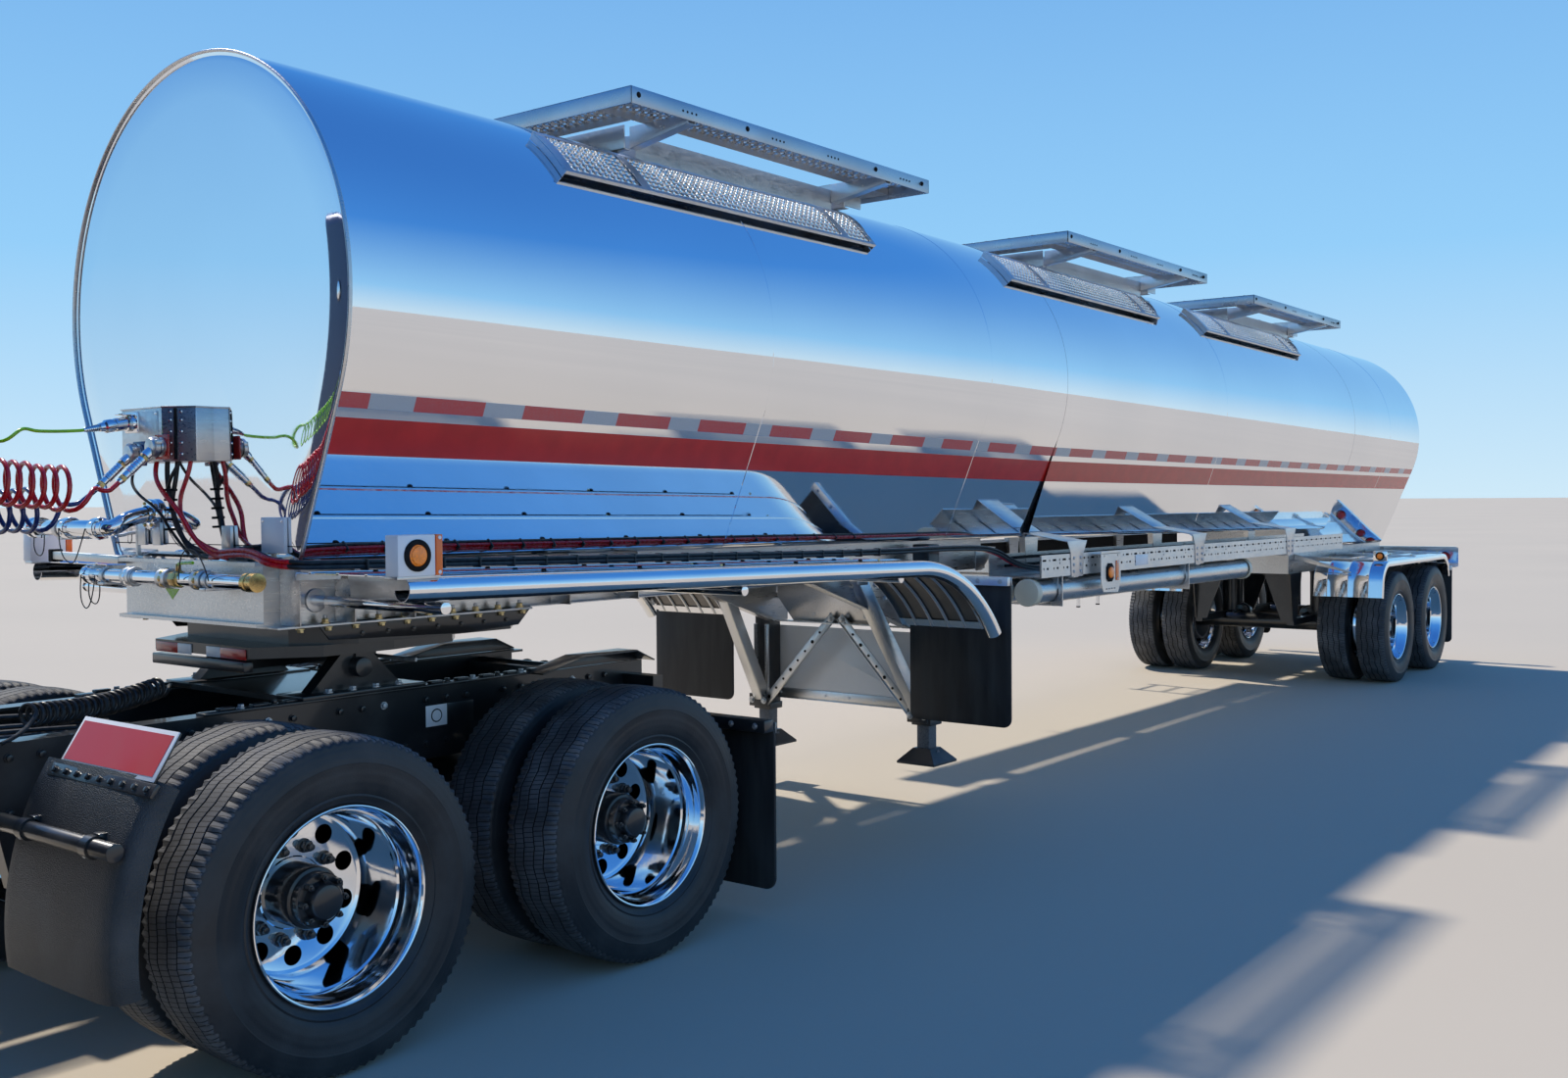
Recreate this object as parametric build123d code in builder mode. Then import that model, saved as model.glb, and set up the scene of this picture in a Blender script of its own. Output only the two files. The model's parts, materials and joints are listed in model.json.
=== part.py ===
from build123d import *
from math import asin, cos, degrees, radians, sin, sqrt, tan
import os

# Tanker truck: a three-axle tractor unit with a sleeper and a tank semi-trailer.
# Lengths are in millimetres. X points to the vehicle's left, Y to its rear, Z up.
# The origin is on the ground under the middle of the whole vehicle.

# Layout along the vehicle
nose_to_drive = 6350
drive_to_tail = 13500
wheelbase = 5130
drive_spread = 1334
drive_to_kingpin = 640
kingpin_to_tank = -373
tank_length = 12973
kingpin_to_bogie = 10666
trailer_spread = 1245
drive_y = (nose_to_drive - drive_to_tail) / 2
steer_y = drive_y - wheelbase
drive_2_y = drive_y + drive_spread
kingpin_y = drive_y + drive_to_kingpin
trailer_1_y = kingpin_y + kingpin_to_bogie
trailer_2_y = trailer_1_y + trailer_spread
nose_y = drive_y - nose_to_drive
tail_y = drive_y + drive_to_tail
half_width = 1225

# Wheels and tyres
tyre_r = 506
tyre_w = 280
tyre_bore_r = 284
rim_flange_r = 300
rim_w = 232
rim_wall = 12
drop_centre_r = 262
disc_wall = 22
disc_outset = 150
hand_hole_r = 32
hand_holes = 10
hand_hole_circle_r = 200
hub_bolt_circle_r = 143
stud_r = 14
stud_length = 40
dual_centre_x = 914
dual_spacing = 342
steer_centre_x = 1010
spindle_r = 45
running_fit = 0.3
hub_r = 95
drum_r = 205
drum_wall = 20

# Chassis
rail_x = 430
rail_depth = 270
rail_flange = 88
rail_wall = 10
rail_top = 1000
rail_front_y = nose_y + 330
rail_back_y = drive_y + 2100
axle_tube_r = 70
fit_gap = 0.3

# Fifth wheel and coupler
plate_top = 1200
plate_wall = 40
kingpin_r = 25.4
kingpin_length = 84
coupler_half = 500
coupler_top = 1280

# Tank barrel
tank_r = 898
barrel_bottom_z = 1504
tank_z = barrel_bottom_z + tank_r
tank_y = kingpin_y + kingpin_to_tank
tank_end_y = tank_y + tank_length
level_length = 4130
belly_2_y = tank_y + 5033
belly_3_y = tank_y + 10730
belly_2_drop = 40
belly_3_drop = 120
belly_half_angle = 112
barrel_slope = 0.0115

# Cab
cab_half_w = 1140
cab_wall = 45
cab_floor_z = 1220
cab_roof_z = 3200
cowl_y = drive_y - 4100
cab_back_y = drive_y - 1400
hood_front_y = nose_y + 130
hood_wall = 25
hood_pin_y = hood_front_y + 30
hood_pin_z = 800
hood_pin_r = 15
hood_ear_x = (500, 530)
panel_gap = 6
door_front = 130
door_length = 980
door_bottom_z = cab_floor_z + 50
door_top_z = 2760
sill_z = 2060
window_wall = 70
pin_r = 9
barrel_r = 17

sides = {"left": 1, "right": -1}


def facing_front(y):
    """A sketch plane across the vehicle at station y, drawn in X and Z."""
    return Plane.XZ.offset(-y)


def facing_left(x):
    """A sketch plane along the vehicle at x, drawn in Y and Z."""
    return Plane.YZ.offset(x)


def level(z):
    """A horizontal sketch plane at height z, drawn in X and Y."""
    return Plane.XY.offset(z)


def block(x, y, z, mode=Mode.ADD):
    """A block between two x, two y and two z values."""
    spans = [sorted(span) for span in (x, y, z)]
    with Locations(tuple((low + high) / 2 for low, high in spans)):
        Box(*[high - low for low, high in spans], mode=mode)


def bar(start, end, radius, mode=Mode.ADD):
    """A round bar from one point to another."""
    run = Vector(*end) - Vector(*start)
    with BuildSketch(Plane(origin=start, z_dir=run)) as section:
        Circle(radius)
    extrude(section.sketch, amount=run.length, mode=mode)


def profile(plane, points, depth, both=False, mode=Mode.ADD):
    """A straight-sided outline on a plane, extruded along the plane's normal."""
    with BuildSketch(plane) as outline:
        with BuildLine():
            Polyline(*points, close=True)
        make_face()
    extrude(outline.sketch, amount=depth, both=both, mode=mode)


def rounded(plane, points, radius, depth, both=False, mode=Mode.ADD):
    """Like profile, with every corner of the outline rounded."""
    with BuildSketch(plane) as outline:
        with BuildLine():
            Polyline(*points, close=True)
        make_face()
        fillet(outline.vertices(), radius)
    extrude(outline.sketch, amount=depth, both=both, mode=mode)


def tube_path(points, radii, radius):
    """A round tube along straight runs joined by arcs."""
    with BuildLine() as path:
        FilletPolyline(*points, radius=radii)
    with BuildSketch(Plane(origin=points[0], z_dir=Vector(*points[1]) - Vector(*points[0]))) as section:
        Circle(radius)
    sweep(section.sketch, path=path.wires()[0])


def largest_radii(points):
    """The largest radius that each corner's two runs allow."""
    radii = []
    for before, corner, after in zip(points, points[1:], points[2:]):
        arriving, leaving = Vector(*corner) - Vector(*before), Vector(*after) - Vector(*corner)
        half_turn = radians(arriving.get_angle(leaving)) / 2
        radii.append(0.45 * min(arriving.length, leaving.length) / tan(half_turn))
    return radii


def save(piece, name):
    """Labels one finished piece and writes its STEP file."""
    piece.part.label = name
    export_step(piece.part, f"parts/{name}.step")


def barrel_z(y):
    """Height of the barrel's axis, level at the front and falling to the rear."""
    return tank_z - barrel_slope * max(0, y - tank_y - level_length)


def belly_circle(drop):
    """Radius and centre depth of the belly's arc, which hangs below the barrel."""
    depth = tank_r + drop
    edge = -tank_r * cos(radians(belly_half_angle))
    centre = (depth**2 - tank_r**2) / (2 * (depth - edge))
    return depth - centre, centre


def run_of_barrel(y_start, y_end):
    """Direction along the barrel between two stations."""
    return (0, y_end - y_start, barrel_z(y_end) - barrel_z(y_start))


def around_barrel(y, side, radius, angle):
    """A point in X and Z about the barrel's axis, its angle taken from the top."""
    return (side * radius * sin(radians(angle)), barrel_z(y) + radius * cos(radians(angle)))


def cut_barrel(y_start, y_end, gap=fit_gap):
    """Removes the barrel's room from the part being built."""
    with BuildSketch(facing_front(y_start)) as section:
        with Locations((0, barrel_z(y_start))):
            Circle(tank_r + gap)
    run = Vector(*run_of_barrel(y_start, y_end))
    extrude(section.sketch, amount=run.length, dir=run.normalized(), mode=Mode.SUBTRACT)


os.makedirs("parts", exist_ok=True)


# Wheels


def axle_plane(side, x, y):
    """A plane through a wheel's centre with local X outward and local Y up."""
    return Plane(origin=(side * x, y, tyre_r), x_dir=(side, 0, 0), z_dir=(0, -side, 0))


def axle_axis(side, x, y):
    """The wheel's own axis."""
    return Axis((side * x, y, tyre_r), (side, 0, 0))


def turned(side, x, y, points, mode=Mode.ADD):
    """A solid turned about a wheel's axis from an outline of offset and radius."""
    with BuildSketch(axle_plane(side, x, y)) as outline:
        with BuildLine():
            Polyline(*points, close=True)
        make_face()
    revolve(outline.sketch, axis=axle_axis(side, x, y), mode=mode)


def turned_tyre(side, x, y, offset):
    """One tyre, offset along the axle from the wheel's centre."""
    half = tyre_w / 2
    bead = rim_w / 2 - rim_wall - fit_gap
    sidewall_r = rim_flange_r + 80
    with BuildSketch(axle_plane(side, x, y)) as section:
        with BuildLine() as outline:
            for end in (-1, 1):
                Polyline(
                    (offset + end * bead, tyre_bore_r), (offset + end * bead, rim_flange_r + 2),
                    (offset + end * half, sidewall_r),
                )
                ThreePointArc(
                    (offset + end * half, sidewall_r), (offset + end * (half - 3), tyre_r - 70),
                    (offset + end * (half - 22), tyre_r - 14),
                )
                Line((offset + end * (half - 22), tyre_r - 14), (offset + end * (half - 42), tyre_r))
            Line((offset - bead, tyre_bore_r), (offset + bead, tyre_bore_r))
            Line((offset - half + 42, tyre_r), (offset + half - 42, tyre_r))
        make_face()
    revolve(section.sketch, axis=axle_axis(side, x, y))


def rim_points(offset, disc, facing):
    """Half section of one rim: its bead seats, its dish and its disc."""
    edge = rim_w / 2
    seat = tyre_bore_r - fit_gap
    under = drop_centre_r - rim_wall
    return (
        (offset - facing * edge, rim_flange_r),
        (offset - facing * (edge - rim_wall), rim_flange_r),
        (offset - facing * (edge - rim_wall), seat),
        (offset + facing * (edge - rim_wall), seat),
        (offset + facing * (edge - rim_wall), rim_flange_r),
        (offset + facing * edge, rim_flange_r),
        (offset + facing * edge, seat - rim_wall),
        (offset + facing * edge / 2, under),
        (disc + facing * disc_wall, under - 20),
        (disc + facing * disc_wall, hub_r - 10),
        (disc, hub_r - 10),
        (disc, under),
        (offset - facing * edge, seat - rim_wall),
    )


def make_tyres(name, side, x, y, offsets):
    """One tyre, or twin tyres on one hub."""
    with BuildPart() as tyres:
        for offset in offsets:
            turned_tyre(side, x, y, offset)
    save(tyres, name)


def make_wheel(name, side, x, y, layout):
    """Rims on their hub and brake drum, with hand holes, studs and a spindle bore."""
    with BuildPart() as wheel:
        for offset, disc, facing in layout["rims"]:
            turned(side, x, y, rim_points(offset, disc, facing))
        hub_in, hub_out = layout["hub"]
        turned(
            side, x, y,
            ((hub_in, 0), (hub_in, hub_r), (hub_out - 60, hub_r), (hub_out, hub_r - 25), (hub_out, 0)),
        )
        drum_in, drum_out = layout["drum"]
        turned(
            side, x, y,
            (
                (drum_in, drum_r), (drum_out, drum_r), (drum_out, hub_r - 10),
                (drum_out - drum_wall, hub_r - 10), (drum_out - drum_wall, drum_r - drum_wall),
                (drum_in, drum_r - drum_wall),
            ),
        )
        disc_out = layout["disc_face"]
        face = Plane(origin=(side * (x + disc_out), y, tyre_r), x_dir=(0, 1, 0), z_dir=(side, 0, 0))
        with BuildSketch(face.offset(1)):
            with PolarLocations(hand_hole_circle_r, hand_holes):
                Circle(hand_hole_r)
        extrude(amount=-2 * disc_wall - 2, mode=Mode.SUBTRACT)
        with BuildSketch(face):
            with PolarLocations(hub_bolt_circle_r, hand_holes, start_angle=180 / hand_holes):
                Circle(stud_r)
        extrude(amount=stud_length)
        bore_in, bore_out = hub_in - 10, hub_out - 25
        bore_r = spindle_r + running_fit
        turned(
            side, x, y,
            ((bore_in, 0), (bore_in, bore_r), (bore_out, bore_r), (bore_out, 0)),
            mode=Mode.SUBTRACT,
        )
    save(wheel, name)


# Each rim row is its offset on the hub, its disc's place and the way its dish faces
dual_offset = dual_spacing / 2
dual_layout = {
    "rims": ((-dual_offset, 0, -1), (dual_offset, 0, 1)),
    "hub": (-150, 215),
    "drum": (-265, -disc_wall),
    "disc_face": disc_wall,
}
steer_layout = {
    "rims": ((0, disc_outset, -1),),
    "hub": (-60, 205),
    "drum": (-110, 30),
    "disc_face": disc_outset,
}
axle_stations = {
    "drive_1": drive_y, "drive_2": drive_2_y, "trailer_1": trailer_1_y, "trailer_2": trailer_2_y,
}
for axle_name, station in axle_stations.items():
    for side_name, side in sides.items():
        make_tyres(
            f"{axle_name}_tyres_{side_name}", side, dual_centre_x, station, (-dual_offset, dual_offset)
        )
        make_wheel(f"{axle_name}_wheels_{side_name}", side, dual_centre_x, station, dual_layout)
for side_name, side in sides.items():
    make_tyres(f"steer_tyre_{side_name}", side, steer_centre_x, steer_y, (0,))
    make_wheel(f"steer_wheel_{side_name}", side, steer_centre_x, steer_y, steer_layout)

spindle_end_x = dual_centre_x + dual_layout["hub"][1] - 30
axle_end_x = dual_centre_x + dual_layout["hub"][0] - 10


# Tractor chassis

rail_bottom = rail_top - rail_depth
crossmember_wall = 12
crossmember_bottom = rail_bottom + 60
crossmember_top = rail_top - 20
crossmember_half = rail_x - rail_wall
crossmember_w = 80
crossmember_rows = (
    (rail_front_y + 60, crossmember_top), (steer_y - 330, crossmember_bottom + crossmember_wall),
    (steer_y + 740, crossmember_bottom + crossmember_wall), (drive_y - 3300, crossmember_top),
    (drive_y - 1700, crossmember_top), (drive_y - 680, crossmember_top),
    (drive_y + drive_spread / 2, crossmember_top), (drive_2_y + 560, crossmember_top),
)
hanger_w = 60
hanger_bottom = 560
hanger_ahead = 560

with BuildPart() as tractor_frame:
    with BuildSketch(facing_front(rail_front_y)):
        with BuildLine():
            Polyline(
                (rail_x, rail_bottom), (rail_x, rail_top), (rail_x - rail_flange, rail_top),
                (rail_x - rail_flange, rail_top - rail_wall), (rail_x - rail_wall, rail_top - rail_wall),
                (rail_x - rail_wall, rail_bottom + rail_wall),
                (rail_x - rail_flange, rail_bottom + rail_wall),
                (rail_x - rail_flange, rail_bottom), close=True,
            )
        make_face()
        mirror(about=Plane.YZ)
    extrude(amount=rail_front_y - rail_back_y)
    for station, web_top in crossmember_rows:
        block(
            (-crossmember_half, crossmember_half), (station, station + crossmember_wall),
            (crossmember_bottom, web_top),
        )
        block(
            (-crossmember_half, crossmember_half), (station, station + crossmember_w),
            (crossmember_bottom, crossmember_bottom + crossmember_wall),
        )
    for side in sides.values():
        for axle_station in (drive_y, drive_2_y):
            hanger_y = axle_station - hanger_ahead
            profile(
                facing_left(side * (rail_x - hanger_w / 2) - hanger_w / 2),
                (
                    (hanger_y - 80, rail_bottom + 5), (hanger_y - 40, hanger_bottom),
                    (hanger_y, hanger_bottom), (hanger_y, hanger_bottom + 90),
                    (hanger_y + 60, rail_bottom + 5),
                ),
                hanger_w,
            )
        block(
            (side * rail_x, side * (rail_x + 180)), (rail_back_y - 120, rail_back_y - 60),
            (rail_top - 110, rail_top - 50),
        )
save(tractor_frame, "tractor_frame")


# Front axle and steering

beam_z = 400
beam_top = 450
steer_pin_x = 860
steer_pin_r = 22
boss_r = 42
boss_half = 55
ear_wall = 40
ear_r = 48
spring_x = rail_x - 45
spring_w = 80
spring_half = 680
spring_leaves = 4
leaf_wall = 14

with BuildPart() as front_axle:
    block((-620, 620), (steer_y - 50, steer_y + 50), (beam_z - 15, beam_z))
    block((-620, 620), (steer_y - 12, steer_y + 12), (beam_z, beam_top))
    block((-620, 620), (steer_y - 50, steer_y + 50), (beam_top - 15, beam_top))
    for side in sides.values():
        bar((side * 600, steer_y, beam_z + 25), (side * steer_pin_x, steer_y, tyre_r), 38)
        bar(
            (side * steer_pin_x, steer_y, tyre_r - boss_half),
            (side * steer_pin_x, steer_y, tyre_r + boss_half), boss_r,
        )
        pin_reach = boss_half + ear_wall
        bar(
            (side * steer_pin_x, steer_y, tyre_r - pin_reach),
            (side * steer_pin_x, steer_y, tyre_r + pin_reach), steer_pin_r,
        )
        middle = side * spring_x
        for leaf in range(spring_leaves):
            reach = spring_half - leaf * 120
            block(
                (middle - spring_w / 2, middle + spring_w / 2), (steer_y - reach, steer_y + reach),
                [beam_top + (spring_leaves - leaf - below) * leaf_wall for below in (1, 0)],
            )
        spring_top = beam_top + spring_leaves * leaf_wall
        for end in (-1, 1):
            reach = steer_y + end * (spring_half - 40)
            profile(
                facing_left(middle - spring_w / 2),
                (
                    (reach - 40, spring_top), (reach + 40, spring_top),
                    (reach + 70, rail_bottom), (reach - 70, rail_bottom),
                ),
                spring_w,
            )
save(front_axle, "front_axle")

for side_name, side in sides.items():
    pin_x = side * steer_pin_x
    with BuildPart() as knuckle:
        for low in (tyre_r - boss_half - fit_gap - ear_wall, tyre_r + boss_half + fit_gap):
            with BuildSketch(level(low)):
                with Locations((pin_x, steer_y)):
                    Circle(ear_r)
                with Locations((pin_x + side * 50, steer_y)):
                    Rectangle(60, 2 * ear_r)
            extrude(amount=ear_wall)
        reach = boss_half + fit_gap + ear_wall
        block(
            (pin_x + side * 50, pin_x + side * 80), (steer_y - ear_r, steer_y + ear_r),
            (tyre_r - reach, tyre_r + reach),
        )
        bar(
            (pin_x + side * 80, steer_y, tyre_r),
            (side * (steer_centre_x + steer_layout["hub"][1] - 30), steer_y, tyre_r), spindle_r,
        )
        block(
            (pin_x - side * 20, pin_x + side * 20), (steer_y + 30, steer_y + 230),
            (tyre_r - reach, tyre_r - reach + ear_wall),
        )
        with BuildSketch(level(tyre_r - reach - 1)):
            with Locations((pin_x, steer_y)):
                Circle(steer_pin_r + fit_gap)
        extrude(amount=2 * reach + 2, mode=Mode.SUBTRACT)
    save(knuckle, f"knuckle_{side_name}")


# Drive axles with their trailing arms, air springs and the driveshaft

arm_x = rail_x - 30
arm_w = 60
arm_wall = 50
arm_bottom = tyre_r + axle_tube_r - 12
air_spring_r = 100
pinion_reach = 330

with BuildPart() as drive_axles:
    for axle_station in (drive_y, drive_2_y):
        bar((-axle_end_x, axle_station, tyre_r), (axle_end_x, axle_station, tyre_r), axle_tube_r)
        bar((-spindle_end_x, axle_station, tyre_r), (spindle_end_x, axle_station, tyre_r), spindle_r)
        with Locations((0, axle_station, tyre_r)):
            Sphere(190)
        bar((0, axle_station, tyre_r), (0, axle_station - pinion_reach, tyre_r + 40), 75)
        for side in sides.values():
            x = (side * arm_x - arm_w / 2, side * arm_x + arm_w / 2)
            block(
                x, (axle_station - hanger_ahead + fit_gap, axle_station + 420),
                (arm_bottom, arm_bottom + arm_wall),
            )
            bar(
                (side * arm_x, axle_station + 320, arm_bottom + arm_wall - 5),
                (side * arm_x, axle_station + 320, rail_bottom), air_spring_r,
            )
    bar((0, drive_y, tyre_r + 30), (0, drive_2_y - pinion_reach, tyre_r + 40), 45)
save(drive_axles, "drive_axles")


# Fifth wheel

plate_half_w = 450
plate_front = 380
plate_back = 560
throat_w = 60
throat_mouth_w = 300
plate_bottom = plate_top - plate_wall
base_wall = 20

with BuildPart() as fifth_wheel:
    with BuildSketch(level(plate_bottom)) as plate:
        with BuildLine():
            Polyline(
                (-plate_half_w + 140, kingpin_y - plate_front), (plate_half_w - 140, kingpin_y - plate_front),
                (plate_half_w, kingpin_y - 180), (plate_half_w, kingpin_y + 120),
                (plate_half_w - 60, kingpin_y + plate_back - 120), (260, kingpin_y + plate_back),
                (throat_mouth_w / 2, kingpin_y + plate_back),
                (throat_w / 2, kingpin_y + 180), (throat_w / 2, kingpin_y + 60),
                (-throat_w / 2, kingpin_y + 60), (-throat_w / 2, kingpin_y + 180),
                (-throat_mouth_w / 2, kingpin_y + plate_back), (-260, kingpin_y + plate_back),
                (-plate_half_w + 60, kingpin_y + plate_back - 120), (-plate_half_w, kingpin_y + 120),
                (-plate_half_w, kingpin_y - 180), close=True,
            )
        make_face()
        with Locations((0, kingpin_y)):
            Circle(kingpin_r + running_fit, mode=Mode.SUBTRACT)
    extrude(amount=plate_wall - fit_gap)
    block((-430, 430), (kingpin_y - 260, kingpin_y + 260), (rail_top, rail_top + base_wall))
    for side in sides.values():
        profile(
            facing_left(side * 360 - 30),
            (
                (kingpin_y - 200, rail_top + base_wall - 1), (kingpin_y + 200, rail_top + base_wall - 1),
                (kingpin_y + 60, plate_bottom + 1), (kingpin_y - 60, plate_bottom + 1),
            ),
            60,
        )
        rib_z = (plate_bottom - 60, plate_bottom + 1)
        block((side * 80, side * 100), (kingpin_y - 300, kingpin_y + 300), rib_z)
        block((side * 100, side * 400), (kingpin_y - 10, kingpin_y + 10), rib_z)
save(fifth_wheel, "fifth_wheel")


# Engine with its gearbox, one plain block

engine_bottom = crossmember_bottom + crossmember_wall
with BuildPart() as engine:
    block((-330, 330), (steer_y - 420, steer_y + 820), (engine_bottom, engine_bottom + 880))
    bar((0, steer_y + 800, 1010), (0, steer_y + 1500, 930), 190)
save(engine, "engine")


# Fuel tanks with their brackets and steps

fuel_r = 320
fuel_x = 800
fuel_z = 780
fuel_front_y = cowl_y + 250
fuel_length = 1750

with BuildPart() as fuel_tanks:
    for side in sides.values():
        bar(
            (side * fuel_x, fuel_front_y, fuel_z), (side * fuel_x, fuel_front_y + fuel_length, fuel_z), fuel_r,
        )
    fillet(fuel_tanks.edges().filter_by(GeomType.CIRCLE), 40)
    for side in sides.values():
        for station in (fuel_front_y + 250, fuel_front_y + fuel_length - 300):
            profile(
                facing_front(station),
                (
                    (side * rail_x, 980), (side * rail_x, 400), (side * 1060, 400), (side * 1060, 470),
                    (side * 600, 470), (side * 500, 560), (side * 500, 980),
                ),
                60,
            )
        for z in (400, 760):
            block(
                (side * (fuel_x + 150), side * (half_width - 30)),
                (fuel_front_y + 150, fuel_front_y + 650), (z, z + 30),
            )
save(fuel_tanks, "fuel_tanks")


# Cab and sleeper shell

screen_foot_z = 2100
screen_head_y = cowl_y + 520
roof_front_z = 2830
roof_peak_y = cowl_y + 1350
roof_radius = 95
corner_radius = 60
door_y = (cowl_y + door_front, cowl_y + door_front + door_length)
cab_sockets = {"air_line_red": (0, 2000), "air_line_blue": (-150, 1920), "electric_line": (-235, 2080)}
socket_r = 22
socket_length = 45


def cab_outline(inset):
    """Side view of the cab, moved inwards by a wall's thickness."""
    return (
        (cowl_y + inset, cab_floor_z + inset), (cowl_y + inset, screen_foot_z),
        (screen_head_y + inset, roof_front_z - inset * 0.6), (roof_peak_y + inset * 0.3, cab_roof_z - inset),
        (cab_back_y - inset, cab_roof_z - inset), (cab_back_y - inset, cab_floor_z + inset),
    )


def door_outline(gap):
    """Side view of a door opening, or of the door itself when gap is positive."""
    front, back = door_y
    rake = (screen_head_y - cowl_y) / (roof_front_z - screen_foot_z)
    corner_z = screen_foot_z + 60
    head_y = front + (door_top_z - corner_z) * rake
    return (
        (front + gap, door_bottom_z + gap), (front + gap, corner_z), (head_y + gap, door_top_z - gap),
        (back - gap, door_top_z - gap), (back - gap, door_bottom_z + gap),
    )


def window_outline():
    """Side view of the glass opening in a door."""
    front, back = door_y
    rake = (screen_head_y - cowl_y) / (roof_front_z - screen_foot_z)
    head_z = door_top_z - window_wall
    head_y = front + window_wall + (head_z - screen_foot_z - 60) * rake
    return (
        (front + window_wall + 30, sill_z), (front + window_wall + 30, screen_foot_z + 40),
        (head_y + 30, head_z), (back - window_wall, head_z), (back - window_wall, sill_z),
    )


sleeper_window = (
    (cab_back_y - 980, 2250), (cab_back_y - 980, 2620), (cab_back_y - 620, 2620), (cab_back_y - 620, 2250),
)

with BuildPart() as cab_shell:
    profile(facing_left(0), cab_outline(0), cab_half_w, both=True)
    fillet(cab_shell.edges().filter_by(Axis.Z).sort_by(Axis.Y)[-2:], corner_radius)
    cab_edges = cab_shell.edges().filter_by(lambda edge: edge.length > 1.8 * cab_half_w).sort_by(Axis.Z)
    fillet(cab_edges[2:], roof_radius)
    profile(facing_left(0), cab_outline(cab_wall), cab_half_w - cab_wall, both=True, mode=Mode.SUBTRACT)
    rounded(facing_left(0), door_outline(0), 60, cab_half_w + 1, both=True, mode=Mode.SUBTRACT)
    rounded(facing_left(0), sleeper_window, 50, cab_half_w + 1, both=True, mode=Mode.SUBTRACT)
    screen_run = Vector(0, screen_head_y - cowl_y, roof_front_z - screen_foot_z)
    screen_plane = Plane(
        origin=(0, cowl_y, screen_foot_z), x_dir=(1, 0, 0), z_dir=(0, -screen_run.Z, screen_run.Y)
    )
    with BuildSketch(screen_plane) as screen_hole:
        with Locations((0, screen_run.length / 2 - 10)):
            Rectangle(2 * cab_half_w - 200, screen_run.length - 150)
        with Locations((0, screen_run.length / 2 - 10)):
            Rectangle(60, screen_run.length, mode=Mode.SUBTRACT)
        fillet(screen_hole.vertices(), 40)
    extrude(amount=200, both=True, mode=Mode.SUBTRACT)
    for side in sides.values():
        for z in (door_bottom_z + 150, door_bottom_z + 650):
            pin_y = door_y[0] - 12
            pin_x = side * (cab_half_w + barrel_r + 2)
            for lug_z in (z - 31, z + 61):
                block(
                    (side * (cab_half_w - 5), pin_x + side * pin_r), (pin_y - 30, pin_y + pin_r),
                    (lug_z, lug_z + 30),
                )
            bar((pin_x, pin_y, z - 10), (pin_x, pin_y, z + 70), pin_r)
    for side in sides.values():
        block((side * 300, side * 480), (cowl_y + 400, cab_back_y - 200), (rail_top, cab_floor_z + 5))
    for x, z in cab_sockets.values():
        bar((x, cab_back_y - 5, z), (x, cab_back_y + socket_length, z), socket_r)
save(cab_shell, "cab_shell")

glass_wall = 6
with BuildPart() as cab_glass:
    with BuildSketch(screen_plane.offset(-20)) as screens:
        with Locations((0, screen_run.length / 2 - 10)):
            Rectangle(2 * cab_half_w - 202, screen_run.length - 152)
            Rectangle(62, screen_run.length, mode=Mode.SUBTRACT)
        fillet(screens.vertices(), 39)
    extrude(amount=-glass_wall)
    for side in sides.values():
        (low_y, low_z), _, (high_y, high_z), _ = sleeper_window
        with BuildSketch(facing_left(side * (cab_half_w - 20) - glass_wall / 2)):
            with Locations(((low_y + high_y) / 2, (low_z + high_z) / 2)):
                RectangleRounded(high_y - low_y - 1, high_z - low_z - 1, 49)
        extrude(amount=glass_wall)
save(cab_glass, "cab_glass")

for side_name, side in sides.items():
    skin = side * cab_half_w
    inner = skin - side * cab_wall
    low_x = min(skin, inner)
    with BuildPart() as door:
        rounded(facing_left(low_x), door_outline(panel_gap), 54, cab_wall)
        rounded(facing_left(low_x - 1), window_outline(), 40, cab_wall + 2, mode=Mode.SUBTRACT)
        for z in (door_bottom_z + 150, door_bottom_z + 650):
            pin_y = door_y[0] - 12
            pin_x = side * (cab_half_w + barrel_r + 2)
            bar((pin_x, pin_y, z), (pin_x, pin_y, z + 60), barrel_r)
            block(
                (skin + side * 2, skin + side * (barrel_r + 2)), (pin_y + barrel_r - 6, pin_y + 90),
                (z, z + 60),
            )
            block((skin - side * 2, skin + side * 3), (pin_y + 30, pin_y + 90), (z, z + 60))
            bar((pin_x, pin_y, z - 1), (pin_x, pin_y, z + 61), pin_r + fit_gap, mode=Mode.SUBTRACT)
        block((skin - side, skin + side * 28), (door_y[1] - 190, door_y[1] - 60), (1900, 1925))
    save(door, f"door_{side_name}")
    with BuildPart() as door_glass:
        with BuildSketch(facing_left(skin - side * 22 - glass_wall / 2)) as pane:
            with BuildLine():
                Polyline(*window_outline(), close=True)
            make_face()
            fillet(pane.vertices(), 40)
            offset(amount=-0.5, mode=Mode.REPLACE)
        extrude(amount=glass_wall)
    save(door_glass, f"door_glass_{side_name}")


# Cab fittings

floor_top = cab_floor_z + cab_wall
seat_x = 520
seat_y = cowl_y + 1080

with BuildPart() as seats:
    for side in sides.values():
        x = side * seat_x
        block((x - 180, x + 180), (seat_y - 180, seat_y + 180), (floor_top, floor_top + 330))
        rounded(
            facing_left(x - 250),
            (
                (seat_y - 270, floor_top + 330), (seat_y - 270, floor_top + 450),
                (seat_y + 150, floor_top + 450),
                (seat_y + 230, floor_top + 1150), (seat_y + 370, floor_top + 1150),
                (seat_y + 290, floor_top + 330),
            ),
            40, 500,
        )
save(seats, "seats")

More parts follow.
